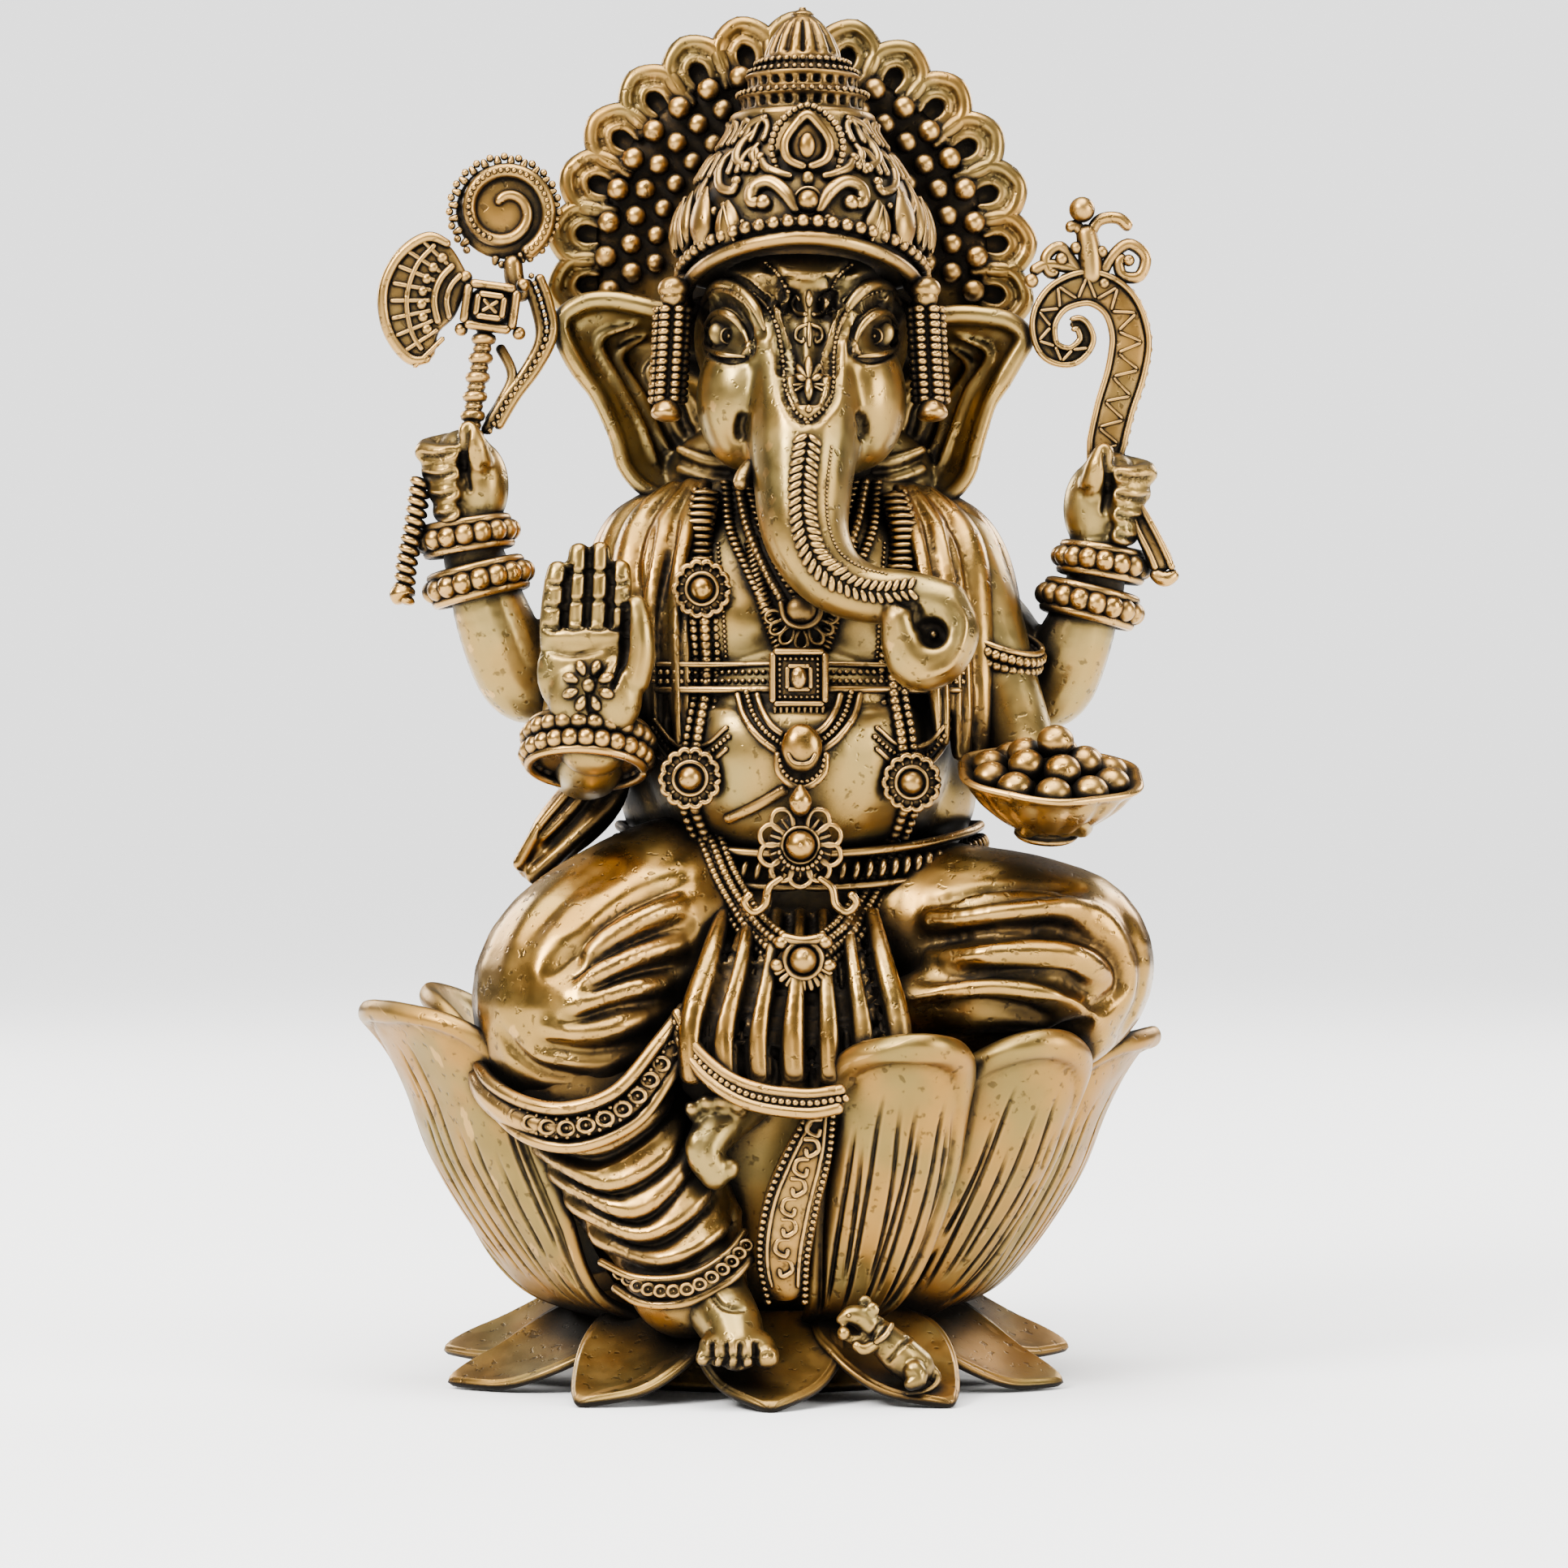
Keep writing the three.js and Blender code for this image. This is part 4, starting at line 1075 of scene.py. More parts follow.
    # a bud over two scrolls higher up
    extras.append(
        addBar(
            [skin(3.05, 78.7, 0.1), skin(3.05, 78, 0.15), skin(3.05, 77.4, 0.1)], [0.1, 0.3, 0.1], steps=12
        )
    )
    scrolls = [
        (
            [(0.15, 76.9), (0.9, 77.1), (1.25, 77.8), (0.9, 78.3), (0.65, 77.9)],
            [0.2, 0.22, 0.2, 0.16, 0.12]
        ),
        ([(0, 76.2), (0.8, 75.9), (0.95, 75.2), (0.45, 74.9), (0.4, 75.3)], [0.2, 0.2, 0.18, 0.15, 0.1]),
    ]
    for sign in (-1, 1):
        for line, radii in scrolls:
            lay([(3.05 + sign * dx, z) for dx, z in line], 0.08, radii)
    extras.append(
        addBar(
            [skin(3.05, 76.4, 0.1), skin(3.05, 75.5, 0.12), skin(3.05, 74.5, 0.1)], [0.12, 0.2, 0.1],
            sides=8, steps=12
        )
    )
    # chain of paired leaves down the trunk, with a fine beaded line beside it
    chain = evenFlat(
        [(2.9, 67.7), (2.55, 64.4), (2.7, 61.6), (3.6, 59.1), (5.6, 57.5), (8, 56.9), (10.2, 57.1)], 30
    )
    heading = np.gradient(chain, axis=0)
    heading /= np.linalg.norm(heading, axis=1)[:, None]
    for spot, way in zip(chain, heading):
        cross = np.array([-way[2], 0, way[0]])
        size = 1 if spot[0] < 5 else 0.8
        for sign in (-1, 1):
            start, stop = spot - way * 0.34 * size, spot + cross * sign * size + way * 0.35 * size
            middle = 0.5 * (start + stop)
            leaf = [
                skin(place[0], place[2], lift)
                for place, lift in ((start, 0.05), (middle, 0.12), (stop, 0.02))
            ]
            extras.append(addBar(leaf, [0.16, 0.29 * size, 0.24], sides=8, steps=8))
    side = evenFlat([(4.6, 67.2), (4.25, 64.2), (4.35, 61.8), (5.1, 59.8), (6.6, 58.7), (8.4, 58.2)], 40)
    extras.append(addBeads([skin(x, z, 0) for x, _, z in side], 0.14, detail=1))
    # the broken tusk and the ball in the nostril
    extras.append(
        addBar(
            [(-0.9, -9.4, 66.4), (-1.6, -10.3, 65.3), (-1.9, -10.8, 64.4)], [0.55, 0.62, 0.55], sides=12,
            steps=14
        )
    )
    extras.append(addBall((11.75, -14.4, 53.95), 0.36, around=12, rings=8))
    finishPiece([face] + extras, "head_and_trunk", "skin_brass", nodes=["head", "trunk"])


makeHead()
say("head ready")


def makeEars():
    # large open ears with a rolled rim, folded inside
    shapes = {
        "ear_right": (
            -1,
            [
                (-4.2, 79), (-6.6, 78), (-9, 78.5), (-12.6, 78.9), (-15, 77.6), (-14.4, 75), (-12.7, 72.4),
                (-11.2, 69.4), (-10.2, 66.4), (-8, 64.6), (-5.6, 64.8)
            ]
        ),
        "ear_left": (
            1,
            [
                (9, 79), (11.4, 77.8), (13.6, 77.9), (16.8, 77.6), (18.9, 76.6), (17.9, 74.2), (16.3, 71.4),
                (15.3, 68.2), (14.4, 65.6), (12.2, 64), (10.2, 64.4)
            ]
        ),
    }
    rows, width = 20, 48
    size = rows * width
    for name, (side, outline) in shapes.items():
        edge = evenFlat(outline, width)
        inner = np.array([bodyX + side * 4.5, 0, 71.5])
        points = []
        for j in range(rows):
            t = j / (rows - 1)
            row = inner + (edge - inner) * t
            dish = 2 * (1 - t) + 4.2 * math.sin(t * math.pi) ** 2
            row[:, 1] = 1.6 - 3.2 * (1 - t) + dish * 0.9
            points.append(row)
        sheet = np.array(points)
        thick = 0.55
        front, back = sheet - [0, thick, 0], sheet + [0, thick, 0]
        faces = sheetFaces(rows, width)
        for i in range(width - 1):
            a = (rows - 1) * width + i
            faces.append((a, a + 1, size + a + 1, size + a))
            faces.append((i, size + i, size + i + 1, i + 1))
        for j in range(rows - 1):
            a, b = j * width, j * width + width - 1
            faces.append((a, a + width, size + a + width, size + a))
            faces.append((b, size + b, size + b + width, b + width))
        ear = buildMesh("ear", np.vstack([front.reshape(-1, 3), back.reshape(-1, 3)]), faces)
        rim = [(x, 0.9, z) for x, _, z in evenFlat(outline, 16)]
        parts = [ear, addBar(rim, [0.5] + [0.75] * 8 + [0.6] * 6 + [0.4], sides=12, steps=80)]
        for level, first, last in ((0.83, 12, 41), (0.69, 13, 43), (0.54, 14, 44), (0.4, 15, 45)):
            fold = sheet[int(level * (rows - 1)), first:last] - [0, thick + 0.1, 0]
            parts.append(addBar(evenPath(fold, 5), [0.15, 0.42, 0.45, 0.42, 0.2], steps=40))
        # folds of the neck below
        parts.append(addBall((bodyX + side * 5.6, 3, 65.2), (4.6, 3.2, 4.6)))
        for level in (67.6, 66.2, 64.8, 63.4):
            fold = [
                (bodyX + side * out, y, level + up)
                for out, y, up in ((3, -0.9, -0.8), (6.4, -0.4, -0.6), (9.2, 1.2, 0.5))
            ]
            parts.append(addBar(fold, [0.4, 0.55, 0.4], steps=24))
        finishPiece(fuse(parts, voxel=0.22, smooth=3), name, "skin_brass")


makeEars()


# crown


def makeCrown():
    centre = (2.6, -1.4)
    dome = addTurned(
        [
            [0, 79.6], [7.6, 79.8], [8.5, 81.2], [8.7, 83.4], [8.3, 85.6], [7.3, 87.6], [6.1, 89.4],
            [5.2, 90.8], [4.9, 92.2], [0, 92.4]
        ],
        (*centre, 0), around=160, steps=120,
    )
    points = getPoints(dome)
    angle = np.arctan2(points[:, 0] - centre[0], -(points[:, 1] - centre[1]))
    arch = 82.2 - 3.5 * (1 - np.cos(angle * 0.95)) ** 0.9
    points[:, 1] = np.minimum(points[:, 1], 5.4)  # kept off the halo plate
    inward = 1 - 0.17 * np.clip((arch - points[:, 2]) / 0.5, 0, 1) * (np.abs(angle) < 1.75)
    points[:, :2] = centre + (points[:, :2] - centre) * inward[:, None]
    setPoints(dome, points)
    parts = [dome]
    top = BVHTree.FromObject(dome, bpy.context.evaluated_depsgraph_get())
    on = finder(top, centre[1])

    def around(angle, z, lift=0):
        a = math.radians(angle)
        way = Vector((math.sin(a), -math.cos(a), 0))
        start = Vector((*centre, z)) + way * 40
        hit = top.ray_cast(start, -way)[0]
        spot = hit + way * lift
        return (spot.x, spot.y, spot.z)

    # five overlapping pointed leaves on each side, each with two fine ribs
    for angle in (-112, -92, -70, -51, -35, 35, 51, 70, 92, 112):
        way = (math.sin(math.radians(angle)), -math.cos(math.radians(angle)), 0)
        tall = 4.6 if abs(angle) > 40 else 3.4
        path = [
            around(
                angle + math.copysign(3, angle) * t, 81.8 + t * tall, 0.3 + 0.2 * (abs(angle) in (51, 92))
            )
            for t in (0, 0.35, 0.7, 1)
        ]
        parts.append(addBar(path, [0.7, 1.15, 0.85, 0.1], flat=0.5, facing=way, sides=14, steps=24))
        for shift in (-4, 4):
            path = [
                around(angle + shift * (1 - t) + math.copysign(3, angle) * t, 82 + t * (tall - 0.6), 0.75)
                for t in (0, 0.5, 1)
            ]
            parts.append(addBar(path, [0.12, 0.17, 0.06], sides=8, steps=14))
    for angle in (*range(40, 130, 16), *range(232, 330, 16)):
        for level, lift, size in ((87.6, 0.2, 0.62), (90, 0.2, 0.55)):
            path = [
                around(angle + turn * 5, level + rise, lift)
                for turn, rise in ((-1, -0.6), (-0.9, 0.7), (0, 1.3), (0.9, 0.7), (1, -0.6))
            ]
            parts.append(addBar(path, size * 0.5, sides=8))
    # leafy scrolls climbing both sides to the jewel: across from the middle and up, thickness
    scrolls = [
        ([(0.7, 83.9), (1.5, 85.4), (2.7, 86.3), (3.8, 85.9), (3.9, 84.9), (3.1, 84.8)], 0.55),
        ([(1, 86.7), (2, 86.9), (2.9, 87.4), (3.3, 88.2)], 0.4),
        ([(3.6, 90.4), (4.6, 89.4), (5, 88.2), (4.3, 87.5)], 0.42),
        ([(5.4, 89), (6.2, 87.6), (6.2, 86.2), (5.3, 85.8), (5, 86.5)], 0.38),
        ([(6.9, 87.4), (7.6, 85.8), (7.4, 84.6), (6.6, 84.4)], 0.36),
        ([(2.8, 91.4), (3.8, 91), (4.6, 90.2)], 0.36),
        ([(3.4, 89.4), (3.9, 88.5), (3.6, 87.6)], 0.34),
    ]
    studs = ((1.45, 83.6, 0.36), (4.6, 83.4, 0.3), (5.9, 84.8, 0.3), (2.2, 88.6, 0.28), (2.9, 90.2, 0.26))
    for sign in (-1, 1):
        for line, size in scrolls:
            path = [on(2.9 + sign * x, z, 0.25) for x, z in line]
            parts.append(addBar(path, [size * 0.6] + [size] * (len(path) - 2) + [size * 0.7], steps=28))
            parts.append(addBall(path[-1], size * 1.1, around=12, rings=8))
        for x, z, size in studs:
            parts.append(addBall(on(2.9 + sign * x, z, 0.2), size, around=12, rings=8))
    # middle ball with its ring and drop
    parts.append(addBall(on(2.95, 84.85, 0.35), (0.78, 0.7, 0.78)))
    parts.append(addRing(on(2.95, 84.85, 0.1), 0.95, 0.16, around=28))
    parts.append(addBall(on(2.95, 86.5, 0.3), (0.45, 0.4, 0.55)))
    # jewel: a teardrop in a frame under a beaded arch
    gem = [
        (2.9, 87.3), (4.2, 87.9), (4.5, 89.1), (3.8, 90.3), (2.9, 91.1), (2, 90.3), (1.3, 89.1),
        (1.6, 87.9), (2.9, 87.3)
    ]
    y = on(2.9, 87.8)[1] - 0.5
    parts.append(addBar([(x, y - 0.15, z) for x, z in gem], 0.36, steps=70))
    parts.append(addBall((2.9, y + 0.35, 89.1), (1.4, 0.6, 1.8)))
    parts.append(addBall((2.9, y - 0.25, 88.9), (0.62, 0.5, 0.95)))
    arch = evenPath(
        [
            (0.7, y + 0.3, 87.4), (0.4, y + 0.2, 89), (1.1, y + 0.2, 90.7), (2.9, y + 0.3, 91.8),
            (4.7, y + 0.2, 90.7), (5.4, y + 0.2, 89), (5.1, y + 0.3, 87.4)
        ],
        25
    )
    parts.append(addBeads(arch, 0.3))
    finishPiece(parts, "crown_dome", "crown_brass")

    # brow band: a smooth arched bar with a row of beads above it
    rail, row = [], []
    for angle in np.linspace(-102, 102, 27):
        a = math.radians(angle)
        droop = 3.5 * (1 - math.cos(a * 0.95)) ** 0.9
        rail.append((centre[0] + 8.5 * math.sin(a), centre[1] - 9.4 * math.cos(a), 82.2 - droop))
        row.append((centre[0] + 8.9 * math.sin(a), centre[1] - 9.5 * math.cos(a), 83.35 - droop * 0.92))
    band = [addBar(rail, 0.52, sides=14, steps=120)]
    beads = evenPath(row, 33)
    band.append(addBeads(beads, 0.5))
    band.append(addBar([(x, y + 0.35, z) for x, y, z in row], 0.34, steps=90))
    finishPiece(band, "brow_band", "crown_brass")

    # finial: pierced bands, bead collars, a fluted cone and a knob
    cone = addTurned(
        [
            [0, 91.6], [4.6, 91.7], [4.75, 92], [
                4.45, 92.3
            ], [4.45, 93.1], [4.7, 93.4], [4.3, 93.7], [4, 93.9],
            [4, 94.6], [4.2, 94.9], [3.7, 95.2], [3.3, 95.4], [3.2, 95.8], [2.9, 96], [2.7, 96.8], [
                2.25, 97.8
            ],
            [1.6, 98.7], [0.95, 99.2], [
                0.75, 99.35
            ], [0.85, 99.5], [0.6, 99.7], [0.3, 99.8], [0.25, 100], [0, 100],
        ],
        (*centre, 0), around=176, steps=170, smoothed=False,
    )
    points = getPoints(cone)
    angle = np.arctan2(points[:, 0] - centre[0], -(points[:, 1] - centre[1]))
    radius = np.hypot(points[:, 0] - centre[0], points[:, 1] - centre[1])
    z = points[:, 2]
    flute = np.abs(np.sin(angle * 7)) ** 0.45
    inFlute = np.clip((z - 96.3) / 0.25, 0, 1) * np.clip((99.1 - z) / 0.3, 0, 1)
    shrink = 0.24 * (1 - flute) * inFlute * np.clip(radius / 2, 0, 1)
    for low, high, count in ((92.35, 93.2, 26), (93.95, 94.65, 24)):
        middle, half = (low + high) / 2, (high - low) / 2
        hole = np.exp(-(((z - middle) / (half * 0.62)) ** 4)) * np.exp(
            -((np.sin(angle * count / 2) / 0.62) ** 4)
        )
        shrink = np.maximum(shrink, 0.13 * hole)
    scale = radius * (1 - shrink) / np.maximum(radius, 1e-6)
    keep = radius > 1e-6
    points[keep, :2] = centre + (points[keep, :2] - centre) * scale[keep, None]
    setPoints(cone, points)
    spots, sizes = [], []
    for level, size, count, bead in (
        (95.85, 3.35, 36, 0.27), (95.2, 3.95, 42, 0.2), (93.55, 4.72, 46, 0.22), (91.75, 4.95, 46, 0.25)
    ):
        for k in range(count):
            a = 2 * math.pi * k / count
            spots.append((centre[0] + size * math.sin(a), centre[1] - size * math.cos(a), level))
            sizes.append(bead)
    finishPiece([cone, addBeads(spots, sizes, detail=1)], "crown_finial", "crown_brass")

    # hanging tassels: a domed cap, two bead columns and a flared end
    for name, x, tilt in (("tassel_right", -6.7, -0.5), ("tassel_left", 11.4, 0.5)):
        parts = [addBall((x, -4.6, 79.2), (1.15, 1, 0.9))]
        parts.append(addBall((x, -4.6, 78.6), (0.95, 0.9, 0.9)))
        spots = []
        for k in range(13):
            z = 77.7 - k * 0.54
            drift = tilt * (79 - z) / 9
            for offset, depth in ((-0.5, -5), (0.5, -5), (-1, -4.2), (1, -4.2), (-0.5, -3.4), (0.5, -3.4)):
                spots.append((x + drift + offset, depth, z))
        parts.append(addBeads(spots, 0.48, squash=(1, 1, 0.72)))
        parts.append(
            addBar(
                [(x, -4.2, 78.4), (x + tilt * 0.5, -4.2, 74.5), (x + tilt, -4.2, 70.8)], [0.7, 0.75, 0.8],
                sides=12
            )
        )
        parts.append(addBar([(x, -4.2, 78.6), (x * 0.86 + 0.35, -3.4, 80.2)], [0.8, 0.8], steps=12))
        parts.append(
            addBar(
                [(x + tilt * 0.9, -4.8, 71.3), (x + tilt, -4.9, 70.4), (x + tilt * 1.1, -5, 69.6)],
                [0.85, 1.1, 1.5], sides=16, steps=14
            )
        )
        finishPiece(parts, name, "ornament_brass")


makeCrown()
say("crown ready")


# halo


def makeHalo():
    centre = (1.8, 82.6)
    plate = addTurned(
        [[0, -0.55], [14.6, -0.5], [15, 0], [14.6, 0.5], [0, 0.55]], (0, 0, 0), around=96, steps=24,
        smoothed=False
    )
    plate.data.transform(
        Matrix.Translation((centre[0], 6, centre[1])) @ Matrix.Rotation(math.radians(90), 4, "X")
    )
    points = getPoints(plate)
    points[:, 2] = np.maximum(points[:, 2], 77.5)
    setPoints(plate, points)
    # one feather eye: a double arch round a hollow, with a dark middle
    half = 1.95
    parts = [addBall((0, 1, 0.1), (half * 0.97, 0.35, half + 0.2))]
    outer = [
        (-half * 0.62, 0, -2.5), (-half, 0, -0.6), (-half * 0.9, 0, 1.1), (0, 0, 2.15),
        (half * 0.9, 0, 1.1), (half, 0, -0.6), (half * 0.62, 0, -2.5)
    ]
    inner = [(x * 0.46, -0.05, z * 0.5 - 0.2) for x, _, z in outer]
    parts.append(addBar(outer, [0.45, 0.62, 0.66, 0.7, 0.66, 0.62, 0.45], steps=48))
    parts.append(addBar(inner, [0.25, 0.34, 0.4, 0.42, 0.4, 0.34, 0.25], sides=8, steps=32))
    eye = fuse(parts, voxel=0.2, smooth=2)
    places = []
    for k in range(15):
        turn = math.radians(188 - 14.2 * k)
        spot = Vector((centre[0] + 15.5 * math.cos(turn), 5.3, centre[1] + 15.5 * math.sin(turn)))
        tilt = Matrix.Rotation(math.radians(90) - turn, 4, "Y")
        places.append(Matrix.Translation(spot) @ tilt @ Matrix.Rotation(math.radians(-6), 4, "X"))
    feathers = copies(eye, places)
    rear = copies(
        eye, [place @ Matrix.Translation((0, 1.9, 0)) @ Matrix.Diagonal((1, -1, 1, 1)) for place in places]
    )
    discard(eye)
    # rings of balls, each on a short stalk
    balls, sizes, stalks = [], [], []
    for ring, count, first, last, size in ((13.7, 20, 191, -11, 0.9), (11.9, 20, 186, -6, 0.86)):
        for k in range(count):
            turn = math.radians(first + (last - first) * k / (count - 1))
            x, z = centre[0] + ring * math.cos(turn), centre[1] + ring * math.sin(turn)
            balls.append((x, 4.6, z))
            sizes.append(size)
            stalks.append(addBar([(x, 4.8, z), (x, 5.8, z)], [0.35, 0.4], sides=8, steps=4))
    back = [(x, 6.9, z) for x, _, z in balls]
    for k in range(17):
        turn = math.radians(183 - 186 * k / 16)
        balls.append((centre[0] + 10.1 * math.cos(turn), 4.7, centre[1] + 10.1 * math.sin(turn)))
        sizes.append(0.8)
    for radius in (4, 10.6):
        stalks.append(addRing((centre[0], 6.5, centre[1]), radius, 0.3, around=64))
    for k in range(25):
        turn = math.radians(-16 + 212 * k / 24)
        path = [
            (centre[0] + r * math.cos(turn), 6.4, centre[1] + r * math.sin(turn)) for r in (4.2, 7.5, 10.4)
        ]
        stalks.append(addBar(path, [0.14, 0.34, 0.2], sides=8, steps=14))
    backSizes = [size * 0.8 for size in sizes[: len(back)]]
    finishPiece(
        [plate, feathers, rear, addBeads(balls, sizes), addBeads(back, backSizes)] + stalks, "halo",
        "crown_brass"
    )


makeHalo()
say("halo ready")


# arms and hands


def makeFist(centre, side):
    # a closed hand round an upright staff; side is where the fingertips are
    x, y, z = centre
    parts = [
        addBall((x - side * 0.4, y, z), (2.3, 2.1, 3.4)),
        addBall((x - side * 0.2, y + 0.3, z - 3), (2.1, 2, 2.2)),
        addBall((x + side * 0.6, y - 0.2, z + 2.3), (2.1, 1.8, 1.9)),
    ]
    for k in range(4):
        level = z + 3.1 - 1.45 * k
        reach = 1 - 0.08 * k
        knuckle = (x + side * (3.4 - 0.25 * k) * reach, y - 0.6, level - 0.5)
        parts.append(
            addBar(
                [
                    (x + side * 1, y + 1.2, level + 0.3), knuckle,
                    (x + side * (2 - 0.15 * k), y - 2, level - 0.9), (x + side * 0.6, y - 2.2, level - 0.7)
                ],
                [0.85, 0.86, 0.8, 0.6], sides=12, steps=26
            )
        )
    parts.append(
        addBar(
            [
                (x - side * 0.9, y - 1.4, z + 0.8), (x - side * 0.3, y - 2.2, z + 2.9),
                (x + side * 0.5, y - 1.9, z + 4.6)
            ],
            [0.95, 0.95, 0.68], sides=12, steps=24
        )
    )
    return parts


def makeRearArms():
    arms = {
        "rear_arm_right": {
            "line": [
                (-7.5, 2.4, 58.8), (-12.2, 2.8, 55.6), (-16, 2.8, 51.8), (-18, 2.4, 51.4), (-19.8, 1.2, 55),
                (-21.4, 0.4, 60)
            ],
            "radii": [3.2, 3.4, 3.2, 3.2, 2.9, 2.3],
            "hand": (-21.5, -0.4, 65.2),
            "side": -1,
        },
        "rear_arm_left": {
            "line": [
                (12, 2.4, 58.6), (16, 2.8, 55.2), (19.2, 2.8, 51.2), (20.9, 2.4, 50.8), (22.4, 1.2, 53.6),
                (24, 0.4, 58)
            ],
            "radii": [3.2, 3.3, 3.1, 3.1, 2.8, 2.2],
            "hand": (24.3, -0.4, 63.6),
            "side": 1,
        },
    }
    for name, arm in arms.items():
        parts = addLimb(arm["line"], arm["radii"], steps=30)
        x, y, z = arm["hand"]
        parts += addLimb([arm["line"][-1], (x - arm["side"] * 0.2, y, z - 3)], [2.2, 2], steps=8)
        parts += makeFist(arm["hand"], arm["side"])
        whole = fuse(parts, voxel=0.22, smooth=4)
        side = arm["side"]
        for k in range(4):
            level = z + 2.35 - 1.45 * k
            press(
                whole,
                [
                    (x + side * 0.9, level + 0.1), (x + side * 2.4, level - 0.4),
                    (x + side * 3.9, level - 0.2)
                ],
                0.2, 0.45, taper=0.2
            )
        press(
            whole, [(x + side * 0.1, z + 4.4), (x + side * 0.5, z + 1.8), (x + side * 0.1, z - 0.6)], 0.22,
            0.5, taper=0.3
        )
        press(whole, [(x - side * 1.6, z + 1), (x - side * 0.8, z + 1.4)], 0.2, 0.2)
        settle(whole, 1, 0.3)
        finishPiece(whole, name, "skin_brass")


makeRearArms()
say("rear arms ready")


def makeFrontArms():
    arm = addLimb(
        [
            (-9, 0.5, 59.5), (-11.8, -0.4, 54), (-13.4, -1.8, 48.5), (-13.2, -4.2, 45.6), (-12.6, -8, 45.4),
            (-12.3, -10.4, 47.2)
        ],
        [3.6, 3.2, 3, 3, 2.8, 2.6], steps=36
    )
    arm = fuse(arm, voxel=0.3, smooth=4)
    finishPiece(arm, "front_arm_right", "skin_brass")

    y = -11.4
    hand = [
        addBall((-12.4, y, 51.4), (3.85, 1.5, 3.9)),
        addBall((-12.3, y + 0.2, 48.2), (3.2, 1.9, 2.9)),
        addBall((-12.2, y + 0.6, 46.4), (2.6, 2, 2.4)),
        addBall((-13.2, y - 0.6, 49.6), (2.2, 1.3, 3)),
        addBall((-10.6, y - 0.8, 49.8), (1.9, 1.5, 2.8)),
        addBall((-12.6, y - 0.4, 53.9), (3.2, 1.2, 1.1)),
    ]
    fingers = [(-15.1, -14.6, 59.3), (-13.5, -13.2, 60.6), (-11.9, -11.7, 60.7), (-10.4, -10.3, 59.4)]
    for base, tip, top in fingers:
        hand.append(
            addBar(
                [
                    (base, y + 0.1, 52.5), (base, y - 0.1, 55), ((base + tip) / 2, y - 0.15, 57.6),
                    (tip, y + 0.1, top)
                ],
                [0.9, 0.92, 0.88, 0.72], sides=14, steps=28
            )
        )
    hand.append(
        addBar(
            [(-9.6, y - 0.9, 49.8), (-8.9, y - 1.2, 52.4), (-8.9, y - 1.2, 54.6), (-9.3, y - 1, 56.8)],
            [1.2, 1.05, 0.95, 0.7], sides=14, steps=28
        )
    )
    hand = fuse(hand, voxel=0.17, smooth=3)
    for base, tip, top in fingers[:-1]:
        press(
            hand, [(base + 0.8, 54.6), ((base + tip) / 2 + 0.8, 57.4), (tip + 0.72, top - 0.3)], 0.17, 0.7,
            taper=0.05
        )
    for base, tip, top in fingers:
        for level in (0.34, 0.66):
            z = 54.4 + (top - 54.4) * level
            x = base + (tip - base) * level
            press(hand, [(x - 0.75, z), (x, z - 0.12), (x + 0.75, z)], 0.14, 0.32, taper=0.1)
        press(hand, [(base - 0.7, 54.6), (base, 54.45), (base + 0.7, 54.6)], 0.16, 0.35, taper=0.1)
    press(hand, [(-9.9, 56.4), (-9.95, 54), (-10.1, 52.2), (-11, 50)], 0.2, 0.7, taper=0.2)
    press(hand, [(-15.6, 53), (-13.6, 52.6), (-11.4, 53)], 0.2, 0.3)
    press(hand, [(-11.2, 52.2), (-12.4, 50.2), (-12.2, 47.6)], 0.22, 0.3)
    settle(hand, 1, 0.25)
    palm = finder(skinTree(hand), y)

    # a raised flower in the palm
    parts = [hand, addBall(palm(-12.5, 50.4, 0.1), (0.55, 0.4, 0.55), around=16, rings=10)]
    for k in range(8):
        a = math.radians(45 * k + 22.5)
        petal = [(-12.5 + r * math.cos(a), 50.4 + r * math.sin(a)) for r in (0.75, 1.35, 1.95)]
        parts.append(addBar([palm(px, pz, 0.1) for px, pz in petal], [0.16, 0.42, 0.2], steps=14))
    finishPiece(parts, "blessing_hand", "skin_brass")

    arm = addLimb(
        [(13.6, 0.4, 60), (15.6, -1.6, 55.6), (17.2, -3.4, 50.4), (18.6, -5, 45.6), (19.6, -7.6, 42.6)],
        [3.6, 3, 2.6, 2.5, 2.3], steps=34
    )
    for k in range(4):
        arm.append(
            addBar(
                [
                    (18.2 + k * 1.3, -8.2, 41.6), (18.4 + k * 1.3, -11.4, 40.4),
                    (18.6 + k * 1.2, -14.2, 41.2)
                ],
                [0.9, 0.85, 0.65], sides=12
            )
        )
    arm = fuse(arm, voxel=0.28, smooth=4)
    finishPiece(arm, "front_arm_left", "skin_brass")


makeFrontArms()
say("front arms ready")


# bracelets and bands


